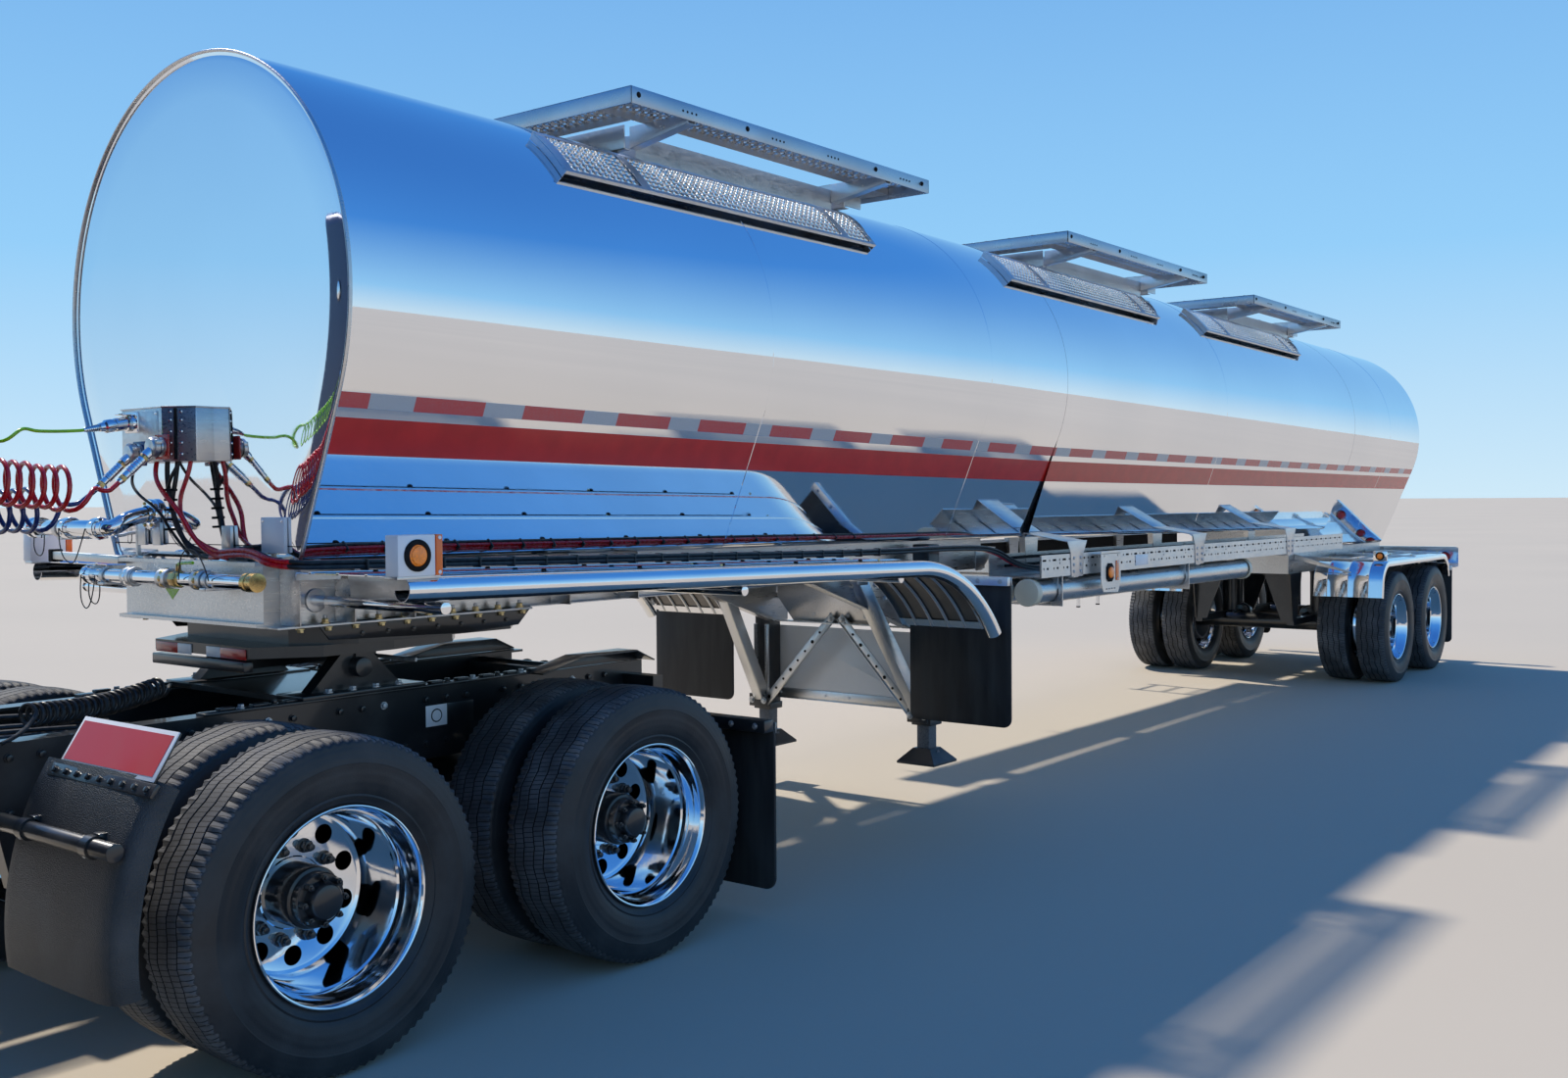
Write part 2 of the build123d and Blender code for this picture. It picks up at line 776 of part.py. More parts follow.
wheel_hub = (seat_x, cowl_y + 560, floor_top + 780)
wheel_tilt = (0, 0.62, 0.78)
with BuildPart() as dashboard:
    rounded(
        facing_left(-cab_half_w + cab_wall + 10),
        (
            (cowl_y + cab_wall, floor_top + 420), (cowl_y + cab_wall, floor_top + 800),
            (cowl_y + 330, floor_top + 820), (cowl_y + 420, floor_top + 700), (cowl_y + 380, floor_top + 420),
        ),
        30, 2 * (cab_half_w - cab_wall - 10),
    )
    bar((seat_x, cowl_y + 360, floor_top + 600), wheel_hub, 35)
    with Locations(Plane(origin=wheel_hub, z_dir=wheel_tilt)):
        Torus(220, 16)
        with Locations((0, 0, 0)):
            Cylinder(60, 30)
        for angle in (0, 120, 240):
            with Locations(Location((110 * cos(radians(angle)), 110 * sin(radians(angle)), 0), (0, 0, angle))):
                Box(220, 24, 12)
save(dashboard, "dashboard")


# Hood with the wheel arches, its grille and headlamps

cowl_half = 930
cowl_top = 2070
hood_nose_half = 740
nose_top = 1700
hood_shoulder = 210
nose_bottom = 830
hood_back_y = cowl_y - 12
fender_top = 1210
fender_half = half_width - 35
fender_nose = ((hood_front_y + 60, 560), (hood_front_y + 20, 900))
fender_tail = ((hood_back_y - 30, 900), (hood_back_y - 30, 560))


def hood_section(y, half, bottom, top, radius, inset):
    """A cross-section of the hood at station y."""
    with BuildSketch(facing_front(y)) as section:
        shoulder = (half - inset, top - hood_shoulder - inset * 0.6)
        with BuildLine():
            Polyline((-shoulder[0], shoulder[1]), (-half + inset, bottom), (half - inset, bottom), shoulder)
            ThreePointArc(shoulder, (0, top - inset), (-shoulder[0], shoulder[1]))
        make_face()
        fillet(section.vertices().filter_by(lambda v: v.Y > bottom + 1), radius)
    return section.sketch.faces()[0]


with BuildPart() as hood:
    loft(
        [
            hood_section(hood_front_y, hood_nose_half, nose_bottom, nose_top, 110, 0),
            hood_section(hood_back_y, cowl_half, nose_bottom, cowl_top, 110, 0),
        ],
        ruled=True,
    )
    for side in sides.values():
        x0, x1 = sorted((side * 700, side * fender_half))
        with BuildSketch(facing_left(x0)) as wing:
            with BuildLine():
                Line(*fender_nose)
                ThreePointArc(fender_nose[1], (steer_y, fender_top), fender_tail[0])
                Line(*fender_tail)
                Line(fender_tail[1], fender_nose[0])
            make_face()
            fillet(wing.vertices().group_by(Axis.Y)[-1], 50)
        extrude(wing.sketch, amount=x1 - x0)
    for side in sides.values():
        block(
            [side * x for x in hood_ear_x], (hood_front_y + hood_wall / 2, hood_front_y + 55),
            (hood_pin_z, nose_bottom + 120),
        )
        ear_start, ear_end = [(side * x, hood_pin_y, hood_pin_z) for x in hood_ear_x]
        bar(ear_start, ear_end, hood_pin_r + 12)
        bore_start, bore_end = [
            (side * (x + reach), hood_pin_y, hood_pin_z) for x, reach in zip(hood_ear_x, (-1, 1))
        ]
        bar(bore_start, bore_end, hood_pin_r + fit_gap, mode=Mode.SUBTRACT)
    loft(
        [
            hood_section(hood_front_y + hood_wall, hood_nose_half, nose_bottom - 1, nose_top, 85, hood_wall),
            hood_section(hood_back_y + 1, cowl_half, nose_bottom - 1, cowl_top, 85, hood_wall),
        ],
        ruled=True, mode=Mode.SUBTRACT,
    )
    for side in sides.values():
        inner_x0, inner_x1 = sorted((side * 600, side * (fender_half - hood_wall)))
        with BuildSketch(facing_left(inner_x0)) as wing_room:
            with BuildLine():
                Line((hood_front_y + 60 + hood_wall, 500), (hood_front_y + 50 + hood_wall, 880))
                ThreePointArc(
                    (hood_front_y + 50 + hood_wall, 880), (steer_y, fender_top - hood_wall),
                    (hood_back_y - 60 - hood_wall, 880),
                )
                Line((hood_back_y - 60 - hood_wall, 880), (hood_back_y - 60 - hood_wall, 500))
                Line((hood_back_y - 60 - hood_wall, 500), (hood_front_y + 60 + hood_wall, 500))
            make_face()
        extrude(wing_room.sketch, amount=inner_x1 - inner_x0, mode=Mode.SUBTRACT)
        swing_r = sqrt(tyre_r**2 + (steer_centre_x - steer_pin_x + tyre_w / 2) ** 2) + 35
        swing_plane = Plane(origin=(side * steer_pin_x, steer_y, 0), x_dir=(1, 0, 0), z_dir=(0, -1, 0))
        with BuildSketch(swing_plane) as swing:
            with BuildLine():
                Line((0, 0), (swing_r, 0))
                Line((swing_r, 0), (swing_r, tyre_r))
                ThreePointArc((swing_r, tyre_r), (swing_r * 0.78, tyre_r + 400), (300, 2 * tyre_r + 45))
                Line((300, 2 * tyre_r + 45), (0, 2 * tyre_r + 45))
                Line((0, 2 * tyre_r + 45), (0, 0))
            make_face()
        revolve(
            swing.sketch, axis=Axis((side * steer_pin_x, steer_y, 0), (0, 0, 1)), mode=Mode.SUBTRACT,
        )
    rounded(
        facing_front(hood_front_y + 100),
        ((-430, nose_bottom + 70), (-430, nose_top - 150), (430, nose_top - 150), (430, nose_bottom + 70)),
        60, 200, mode=Mode.SUBTRACT,
    )
save(hood, "hood")

with BuildPart() as grille:
    grille_y = hood_front_y + hood_wall / 2
    rounded(
        facing_front(grille_y + 12),
        (
            (-429, nose_bottom + 71), (-429, nose_top - 151), (429, nose_top - 151), (429, nose_bottom + 71),
        ),
        59, 40,
    )
    rounded(
        facing_front(grille_y + 20),
        (
            (-399, nose_bottom + 101), (-399, nose_top - 181),
            (399, nose_top - 181), (399, nose_bottom + 101),
        ),
        40, 60, mode=Mode.SUBTRACT,
    )
    bar_step = 62
    for row in range(10):
        z = nose_bottom + 130 + row * bar_step
        block((-410, 410), (grille_y - 20, grille_y + 6), (z, z + 14))
    block((-12, 12), (grille_y - 18, grille_y + 4), (nose_bottom + 90, nose_top - 170))
save(grille, "grille")


lamp_z = (650, 850)
lamp_depth = 45
with BuildPart() as headlamps:
    for side in sides.values():
        low_y, high_y = [
            fender_nose[0][0] + (fender_nose[1][0] - fender_nose[0][0]) * (z - fender_nose[0][1])
            / (fender_nose[1][1] - fender_nose[0][1]) - fit_gap for z in lamp_z
        ]
        profile(
            facing_left(min(side * 780, side * 1120)),
            (
                (low_y, lamp_z[0]), (high_y, lamp_z[1]),
                (high_y - lamp_depth + 15, lamp_z[1]), (low_y - lamp_depth, lamp_z[0] + 20),
            ),
            340,
        )
save(headlamps, "headlamps")


# Front bumper, mirrors and the black parts over the drive wheels

bumper_top = 690
bumper_bottom = 330
bumper_wall = 8
bumper_half = half_width - 20
plate_hole_pitch = 178
plate_hole_r = 3.5
plate_hole_z = 560

with BuildPart() as front_bumper:
    with BuildSketch(level(bumper_bottom)) as bumper:
        with BuildLine():
            Polyline(
                (-bumper_half, nose_y + 420), (-bumper_half, nose_y + 160), (-bumper_half + 200, nose_y),
                (bumper_half - 200, nose_y), (bumper_half, nose_y + 160), (bumper_half, nose_y + 420),
                (bumper_half - bumper_wall, nose_y + 420), (bumper_half - bumper_wall, nose_y + 163),
                (bumper_half - 203, nose_y + bumper_wall), (-bumper_half + 203, nose_y + bumper_wall),
                (-bumper_half + bumper_wall, nose_y + 163), (-bumper_half + bumper_wall, nose_y + 420),
                close=True,
            )
        make_face()
    extrude(amount=bumper_top - bumper_bottom)
    with BuildSketch(facing_front(nose_y + bumper_wall + 1)) as plate_holes:
        with Locations(*[(side * plate_hole_pitch / 2, plate_hole_z) for side in sides.values()]):
            Circle(plate_hole_r)
    extrude(plate_holes.sketch, amount=bumper_wall + 2, mode=Mode.SUBTRACT)
    for side in sides.values():
        block(
            (side * 340, side * rail_x), (nose_y + bumper_wall - 1, rail_front_y + 120),
            (bumper_bottom + 60, bumper_top - 20),
        )
        block((side * 340, side * rail_x), (rail_front_y, rail_front_y + 120), (bumper_top - 60, rail_bottom))
        block(
            (side * (rail_x - 30), side * rail_x), (hood_pin_y - hood_pin_r, hood_pin_y + hood_pin_r),
            (bumper_top - 60, hood_pin_z + hood_pin_r),
        )
        bar(
            (side * (rail_x - 5), hood_pin_y, hood_pin_z),
            (side * (hood_ear_x[1] + 15), hood_pin_y, hood_pin_z),
            hood_pin_r,
        )
save(front_bumper, "front_bumper")

mirror_x = 1320
mirror_y = cowl_y + 60
pad_wall = 22
mirror_feet = ((1980, cowl_y + 42), (2600, cowl_y + 395))
with BuildPart() as mirrors:
    for side in sides.values():
        x = side * mirror_x
        for z, foot_y in mirror_feet:
            bar((side * (cab_half_w + pad_wall - 2), foot_y, z), (x, mirror_y, z), 14)
            block(
                (side * (cab_half_w + fit_gap), side * (cab_half_w + pad_wall)),
                (foot_y - 30, foot_y + 30), (z - 20, z + 20),
            )
        rounded(
            facing_front(mirror_y + 60),
            ((x - 110, 1940), (x - 110, 2660), (x + 110, 2660), (x + 110, 1940)), 40, 110,
        )
save(mirrors, "mirrors")

fender_in = 620
fender_wall = 10
quarter_top = 2 * tyre_r + 100
flap_wall = 14
with BuildPart() as quarter_fenders:
    for side in sides.values():
        x0, x1 = sorted((side * fender_in, side * 1222))
        profile(
            facing_left(x0),
            (
                (drive_y - 470, quarter_top), (drive_y - 560, quarter_top - 12),
                (drive_y - 640, quarter_top - 82), (drive_y - 710, 400),
                (drive_y - 710 + fender_wall, 400), (drive_y - 640 + fender_wall, quarter_top - 87),
                (drive_y - 556, quarter_top - 12 - fender_wall), (drive_y - 470, quarter_top - fender_wall),
            ),
            x1 - x0,
        )
        bar((side * (rail_x + fit_gap), drive_y - 688, 800), (side * 1200, drive_y - 688, 800), 25)
        hanger_y = drive_2_y + 640
        profile(
            facing_left(x0),
            (
                (hanger_y, 930), (hanger_y + 60, 800), (hanger_y + 60, 110), (hanger_y + 60 + flap_wall, 110),
                (hanger_y + 60 + flap_wall, 810), (hanger_y + 20, 940),
            ),
            x1 - x0,
        )
        block((side * (rail_x + 180 + fit_gap), side * 1200), (hanger_y - 20, hanger_y + 30), (895, 945))
save(quarter_fenders, "quarter_fenders")


# Tank barrel and heads

with BuildPart() as tank_shell:
    for y_start, y_end, drop in (
        (tank_y, tank_y + level_length, 0),
        (tank_y + level_length, belly_2_y, 0),
        (belly_2_y, belly_3_y, belly_2_drop),
        (belly_3_y, tank_end_y, belly_3_drop),
    ):
        with BuildSketch(facing_front(y_start)) as section:
            with Locations((0, barrel_z(y_start))):
                Circle(tank_r)
            if drop:
                belly_r, belly_z = belly_circle(drop)
                with Locations((0, barrel_z(y_start) - belly_z)):
                    Circle(belly_r)
        run = Vector(*run_of_barrel(y_start, y_end))
        extrude(section.sketch, amount=run.length, dir=run.normalized())
save(tank_shell, "tank_shell")


# Upper coupler with its kingpin

coupler_front = kingpin_y - 240
coupler_back = kingpin_y + 760
with BuildPart() as upper_coupler:
    profile(
        level(plate_top),
        (
            (-coupler_half + 170, coupler_front), (coupler_half - 170, coupler_front),
            (coupler_half, coupler_front + 170), (coupler_half, coupler_back - 120),
            (coupler_half - 120, coupler_back), (-coupler_half + 120, coupler_back),
            (-coupler_half, coupler_back - 120), (-coupler_half, coupler_front + 170),
        ),
        coupler_top - plate_top,
    )
    bar((0, kingpin_y, plate_top + 1), (0, kingpin_y, plate_top - kingpin_length), kingpin_r)
save(upper_coupler, "upper_coupler")


# Hose tubes

hose_r = 70
hose_x = (670, 850)
hose_z = 1155
hose_y = (kingpin_y + 4260, kingpin_y + 7660)
with BuildPart() as hose_tubes:
    for x in hose_x:
        bar((x, hose_y[0], hose_z), (x, hose_y[1], hose_z), hose_r)
        bar((x, hose_y[0] - 30, hose_z), (x, hose_y[0] + 40, hose_z), hose_r + 5)
save(hose_tubes, "hose_tubes")


# Trailer frame: nose channel, front rails, side tray rails and the rear subframe

nose_half = 450
rail_lip = 90
front_rail_front = tank_y - 40
front_rail_back = kingpin_y + 4400
rear_rail_front = trailer_1_y - 760
rear_rail_back = tail_y - 80
rear_rail_top = 1270
rear_rail_bottom = 1000
rail_reach_z = 1700
web = 12
tray_x = (590, 930)
tray_wall = 6
tray_depth = 130
tray_z = 1240
tray_front = kingpin_y + 4250
tray_back = rear_rail_front - 20
belly_hanger_x = (560, 600)
belly_hanger_w = 120
belly_hanger_rows = (kingpin_y + 4700, kingpin_y + 6600, kingpin_y + 8500)
tube_hanger_rows = (kingpin_y + 4500, kingpin_y + 6400)
nose_channel_top = 1500
front_member_rows = (tank_y + 500, kingpin_y + 900, kingpin_y + 2200, kingpin_y + 3600, front_rail_back - web)
rear_member_rows = (rear_rail_front, trailer_1_y - 300, trailer_2_y - 620, trailer_2_y + 560)

with BuildPart() as trailer_frame:
    for side in sides.values():
        for y, bottom in (
            ((front_rail_front, front_rail_back), coupler_top),
            ((rear_rail_front, rear_rail_back), rear_rail_bottom),
        ):
            block((side * (nose_half - web), side * nose_half), y, (bottom, rail_reach_z))
            block((side * (nose_half - rail_lip), side * nose_half), y, (bottom, bottom + web))
    for station in front_member_rows:
        block((-nose_half, nose_half), (station, station + web), (coupler_top, 1560))
        block((-nose_half, nose_half), (station, station + 60), (coupler_top, coupler_top + web))
    block(
        (-nose_half, nose_half), (front_rail_front, front_rail_front + web), (coupler_top, nose_channel_top),
    )
    for z in (coupler_top, nose_channel_top - web):
        block((-nose_half, nose_half), (front_rail_front - 30, front_rail_front + 1), (z, z + web))
    for station in rear_member_rows:
        block((-nose_half, nose_half), (station, station + web), (rear_rail_bottom, nose_channel_top))
        block((-nose_half, nose_half), (station, station + 70), (rear_rail_bottom, rear_rail_bottom + web))
    for side in sides.values():
        tray_in, tray_out = [side * x for x in tray_x]
        block((tray_in, tray_out), (tray_front, tray_back), (tray_z, tray_z + tray_wall))
        for x in (tray_in, tray_out - side * tray_wall):
            block((x, x + side * tray_wall), (tray_front, tray_back), (tray_z, tray_z + tray_depth))
        for station in belly_hanger_rows:
            profile(
                facing_left(min(side * x for x in belly_hanger_x)),
                (
                    (station, tray_z), (station + belly_hanger_w, tray_z),
                    (station + belly_hanger_w + 60, 1800), (station - 60, 1800),
                ),
                belly_hanger_x[1] - belly_hanger_x[0],
            )
        for station in tube_hanger_rows:
            block((side * 575, side * 940), (station, station + 8), (hose_z - 90, tray_z + 3))
    with BuildSketch(facing_front(hose_y[0] - 50)) as tube_room:
        with Locations(*[(x, hose_z) for x in hose_x]):
            Circle(hose_r + fit_gap)
    extrude(tube_room.sketch, amount=-(hose_y[1] - hose_y[0] + 100), mode=Mode.SUBTRACT)
    cut_barrel(tank_y - 60, tank_y + level_length)
    cut_barrel(tank_y + level_length, tank_end_y)
    for y_start, y_end, drop in ((belly_2_y, belly_3_y, belly_2_drop), (belly_3_y, tank_end_y, belly_3_drop)):
        belly_r, belly_z = belly_circle(drop)
        with BuildSketch(facing_front(y_start - 1)) as room:
            with Locations((0, barrel_z(y_start) - belly_z)):
                Circle(belly_r + fit_gap)
        run = Vector(*run_of_barrel(y_start, y_end + 5))
        extrude(room.sketch, amount=run.length + 2, dir=run.normalized(), mode=Mode.SUBTRACT)
    block((-1000, 1000), (tank_end_y, tail_y), (rear_rail_top, 1900), mode=Mode.SUBTRACT)
    block((-1000, 1000), (tank_y - 80, tank_y - 1), (nose_channel_top, 1900), mode=Mode.SUBTRACT)
save(trailer_frame, "trailer_frame")


# Landing gear: square legs, feet, the cross shaft, strip braces and the panel between

leg_x = 560
leg_y = kingpin_y + 3610
leg_w = 110
leg_top = 1450
leg_bottom = 450
inner_leg_half = 40
foot_z = 240
foot_w = 240
foot_rise = 70
brace_w = 50
brace_wall = 10
brace_foot_z = 480
brace_apex_z = 1020
cross_member_z = (990, 1060)
frame_brace_reach = 560
panel_z = (520, 950)
panel_wall = 8


def strip(start, end, width, wall, across):
    """A flat strip from one point to another, its wall along the across direction."""
    run = Vector(*end) - Vector(*start)
    with BuildSketch(Plane(origin=start, x_dir=across, z_dir=run)) as section:
        Rectangle(wall, width)
    extrude(section.sketch, amount=run.length)


with BuildPart() as landing_gear:
    brace_y = leg_y - leg_w / 2 - brace_wall / 2
    for side in sides.values():
        x = side * leg_x
        block(
            (x - leg_w / 2, x + leg_w / 2), (leg_y - leg_w / 2, leg_y + leg_w / 2), (leg_bottom, leg_top),
        )
        block(
            (x - inner_leg_half, x + inner_leg_half), (leg_y - inner_leg_half, leg_y + inner_leg_half),
            (foot_z + 20, leg_bottom + 1),
        )
        with BuildSketch(level(foot_z + 12)) as foot:
            with Locations((x, leg_y)):
                Rectangle(foot_w - 20, foot_w - 20)
        extrude(foot.sketch, amount=foot_rise, taper=32)
        block(
            (x - foot_w / 2, x + foot_w / 2), (leg_y - foot_w / 2, leg_y + foot_w / 2), (foot_z, foot_z + 12),
        )
        block(
            (side * nose_half, x - side * leg_w / 2 + side), (leg_y - leg_w / 2, leg_y + leg_w / 2),
            (coupler_top + 20, leg_top - 10),
        )
        strip(
            (side * (leg_x - 30), brace_y, brace_foot_z), (0, brace_y, brace_apex_z), brace_w, brace_wall,
            (0, 1, 0),
        )
        brace_top = (side * (nose_half + 30), leg_y - frame_brace_reach, coupler_top + 25)
        brace_foot = (side * leg_x, leg_y - leg_w / 2 + 4, brace_foot_z)
        for offset in (-25, 25):
            strip(
                [value + (offset if axis == 0 else 0) for axis, value in enumerate(brace_foot)],
                [value + (offset if axis == 0 else 0) for axis, value in enumerate(brace_top)],
                70, 6, (1, 0, 0),
            )
        block(
            (side * nose_half, side * (nose_half + 58)),
            (leg_y - frame_brace_reach - 50, leg_y - frame_brace_reach + 50), (coupler_top, coupler_top + 60),
        )
    block((-leg_x, leg_x), (brace_y - 5, leg_y - 20), cross_member_z)
    bar((-leg_x, leg_y, 1130), (leg_x, leg_y, 1130), 16)
    block((-leg_x, leg_x), (leg_y + leg_w / 2, leg_y + leg_w / 2 + panel_wall), panel_z)
    cut_barrel(tank_y, tank_y + level_length)
save(landing_gear, "landing_gear")


# Fenders: the long front pair with a rolled edge and the pair over the bogie

fender_out = 1220
front_fender_y = kingpin_y - 400
front_fender_z = 1470
crest_y = kingpin_y + 2560
crest_z = 1410
drop_end = (kingpin_y + 3300, 1040)
sheet_wall = 8
roll_r = 40
roll_bore_r = 34
roll_drop = roll_r - 1
fender_bar_r = 20
fender_bar_rows = ((kingpin_y - 210, 1360), (kingpin_y + 1300, 1335), (kingpin_y + 2450, 1330))
bogie_clearance = 108
bogie_top = 2 * tyre_r + bogie_clearance
bogie_front = trailer_1_y - 606
bogie_back = trailer_2_y + 560


def drop_middle(inset):
    """The point half way along the front fender's drop, moved inwards."""
    reach, fall = drop_end[0] - crest_y, crest_z - drop_end[1]
    drop_r = (reach**2 + fall**2) / (2 * fall)
    half_angle = radians(degrees(asin(reach / drop_r)) / 2)
    radius = drop_r - inset
    return (crest_y + radius * sin(half_angle), crest_z - drop_r + radius * cos(half_angle))


with BuildPart() as trailer_fenders:
    for side in sides.values():
        x0, x1 = sorted((side * fender_in, side * (fender_out - roll_r)))
        with BuildSketch(facing_left(x0)) as front_sheet:
            with BuildLine():
                Line((front_fender_y, front_fender_z), (crest_y, crest_z))
                ThreePointArc((crest_y, crest_z), drop_middle(0), drop_end)
                Line(drop_end, (drop_end[0] - sheet_wall, drop_end[1] - 4))
                ThreePointArc(
                    (drop_end[0] - sheet_wall, drop_end[1] - 4), drop_middle(sheet_wall),
                    (crest_y, crest_z - sheet_wall),
                )
                Line((crest_y, crest_z - sheet_wall), (front_fender_y, front_fender_z - sheet_wall))
                Line((front_fender_y, front_fender_z - sheet_wall), (front_fender_y, front_fender_z))
            make_face()
        extrude(front_sheet.sketch, amount=x1 - x0)
        roll_x = side * (fender_out - roll_r)
        with BuildLine() as edge:
            Line((roll_x, front_fender_y, front_fender_z - roll_drop), (roll_x, crest_y, crest_z - roll_drop))
            ThreePointArc(
                (roll_x, crest_y, crest_z - roll_drop), (roll_x, *drop_middle(roll_drop)),
                (roll_x, drop_end[0] - roll_drop * 0.8, drop_end[1] - roll_drop * 0.6),
            )
        start = edge.wires()[0] @ 0
        with BuildSketch(Plane(origin=start, z_dir=edge.wires()[0] % 0)) as roll:
            Circle(roll_r)
        sweep(roll.sketch, path=edge.wires()[0])
        bar(
            (roll_x, front_fender_y - 1, front_fender_z - roll_drop),
            (roll_x, front_fender_y + 80, front_fender_z - roll_drop), roll_bore_r, mode=Mode.SUBTRACT,
        )
        for station, z in fender_bar_rows:
            share = (station - front_fender_y) / (crest_y - front_fender_y)
            sheet_z = front_fender_z + (crest_z - front_fender_z) * share - sheet_wall
            bar((side * (nose_half + fit_gap), station, z), (side * 1150, station, z), fender_bar_r)
            block((side * 640, side * 1120), (station - 4, station + 4), (z, sheet_z + 2))
        over = (
            (bogie_front, bogie_top - 320), (bogie_front + 30, bogie_top - 110),
            (bogie_front + 160, bogie_top), (bogie_back - 160, bogie_top),
            (bogie_back - 20, bogie_top - 110), (bogie_back + 10, bogie_top - 220),
        )
        inside = [(y + (8 if y < trailer_1_y else -8), z - 6) for y, z in reversed(over)]
        outer_x0, outer_x1 = sorted((side * fender_in, side * fender_out))
        profile(facing_left(outer_x0), (*over, *inside), outer_x1 - outer_x0)
        deep = [(y + (30 if y < trailer_1_y else -30), z - 26) for y, z in reversed(over)]
        profile(facing_left(min(side * fender_out, side * (fender_out - 4))), (*over, *deep), 4)
        for station in (trailer_1_y - 400, trailer_1_y + trailer_spread / 2, trailer_2_y + 350):
            block(
                (side * (nose_half + fit_gap), side * 1180), (station, station + 50),
                (bogie_top - 1, bogie_top + 30),
            )
save(trailer_fenders, "trailer_fenders")

front_flap_y = kingpin_y + 3350
tail_flap_y = tail_y - 340
with BuildPart() as trailer_mudflaps:
    for side in sides.values():
        block((side * 620, side * 1230), (front_flap_y, front_flap_y + flap_wall), (520, 1290))
        block((side * (nose_half + fit_gap), side * 1230), (front_flap_y - 30, front_flap_y + 1), (1250, 1300))
        block((side * 620, side * 1225), (tail_flap_y, tail_flap_y + flap_wall), (210, 980))
        block((side * (nose_half + fit_gap), side * 1225), (tail_flap_y - 30, tail_flap_y + 1), (960, 1060))
save(trailer_mudflaps, "trailer_mudflaps")


# Walkways with the ladder, the side tread strips, spill dams and manhole lids

walk_half = 750
walk_depth = 70
walk_wall = 8
walk_lip = 42
plank_w = 250
plank_depth = 40
plank_wall = 4
arm_w_y = 50
dam_half = 400
dam_wall = 8
dam_inset = 395
dam_fin = 270
dam_root = 400
neck_root = 300
hatch_r = 250
neck_wall = 12
lid_r = 285
lid_wall = 30
hatch_below = 50
tread_angles = (36, 44, 52)
tread_in_r = tank_r + fit_gap
tread_out_r = tank_r + 38
tread_rows = ((kingpin_y + 740, 2130), (kingpin_y + 4280, 2110), (kingpin_y + 7260, 2100))
ladder_x = -(half_width - 105)
ladder_foot_z = 700
ladder_rungs = 6
ladder_step = 300
# Each walkway row is its start, its length and its rise above the barrel there
walk_rows = {
    "front": (kingpin_y + 1090, 2260, 80),
    "middle": (kingpin_y + 4960, 2250, 59),
    "rear": (kingpin_y + 8190, 2220, 51),
}


def walk_top(start, rise):
    """Height of a walkway's top, which is level."""
    return barrel_z(start) + tank_r + rise


def plank(x, y, top, along):
    """A channel plank between two x and two y values, its sides turned down along its run."""
    block(x, y, (top - plank_wall, top))
    spans = x if along == "y" else y
    for edge, inward in ((min(spans), plank_wall), (max(spans), -plank_wall)):
        if along == "y":
            block((edge, edge + inward), y, (top - plank_depth, top))
        else:
            block(x, (edge, edge + inward), (top - plank_depth, top))


with BuildPart() as walkways:
    for start, length, rise in walk_rows.values():
        top, end = walk_top(start, rise), start + length
        block((-walk_half, walk_half), (start, end), (top - walk_depth, top))
        block(
            (-walk_half + walk_wall, walk_half - walk_wall), (start + walk_wall, end - walk_wall),
            (top - walk_depth - 1, top - plank_wall), mode=Mode.SUBTRACT,
        )
        block(
            (-walk_half + walk_lip, walk_half - walk_lip), (start + walk_lip, end - walk_lip),
            (top - walk_depth - 1, top + 1), mode=Mode.SUBTRACT,
        )
        plank_top = top - plank_wall
        dam_y = (start + dam_inset, end - dam_inset)
        for side in sides.values():
            edge = side * (walk_half - walk_wall + 1)
            plank((edge, edge - side * plank_w), (start + walk_wall - 1, end - walk_wall + 1), plank_top, "y")
            for station in (dam_y[0] - arm_w_y + 8, dam_y[1] - 8):
                profile(
                    facing_front(station),
                    (
                        (side * (dam_half + fit_gap), top - 135),
                        (side * (dam_half + fit_gap), top - plank_depth),
                        (edge, top - plank_depth), (edge, top - 80),
                    ),
                    -arm_w_y,
                )
        cross_half = walk_half - walk_wall - plank_w + 2
        for y in ((start + walk_wall - 1, dam_y[0] - 60), (dam_y[1] + 60, end - walk_wall + 1)):
            plank((-cross_half, cross_half), y, plank_top, "x")
    rear_start, rear_length, rear_rise = walk_rows["rear"]
    rear_top = walk_top(rear_start, rear_rise)
    ladder_y = (rear_start + 700, rear_start + 1100)
    for y in ladder_y:
        tube_path(
            (
                (ladder_x, y, ladder_foot_z), (ladder_x, y, rear_top - 800),
                (-walk_half - 16, y, rear_top - 5), (-walk_half + 300, y, rear_top - 25),
            ),
            (150, 60), 16,
        )
    for rung in range(ladder_rungs):
        z = ladder_foot_z + 100 + rung * ladder_step
        bar((ladder_x, ladder_y[0], z), (ladder_x, ladder_y[1], z), 14)
    cut_barrel(tank_y, tank_y + level_length)
    cut_barrel(tank_y + level_length, tank_end_y)
    for start, length in tread_rows:
        for side in sides.values():
            with BuildSketch(facing_front(start)) as strip_section:
                with BuildLine():
                    ThreePointArc(*[around_barrel(start, side, tread_in_r, angle) for angle in tread_angles])
                    ThreePointArc(*[around_barrel(start, side, tread_out_r, angle) for angle in tread_angles])
                    for angle in (tread_angles[0], tread_angles[-1]):
                        Line(
                            around_barrel(start, side, tread_in_r, angle),
                            around_barrel(start, side, tread_out_r, angle),
                        )
                make_face()
            run = Vector(*run_of_barrel(start, start + length))
            extrude(strip_section.sketch, amount=run.length, dir=run.normalized())
save(walkways, "walkways")

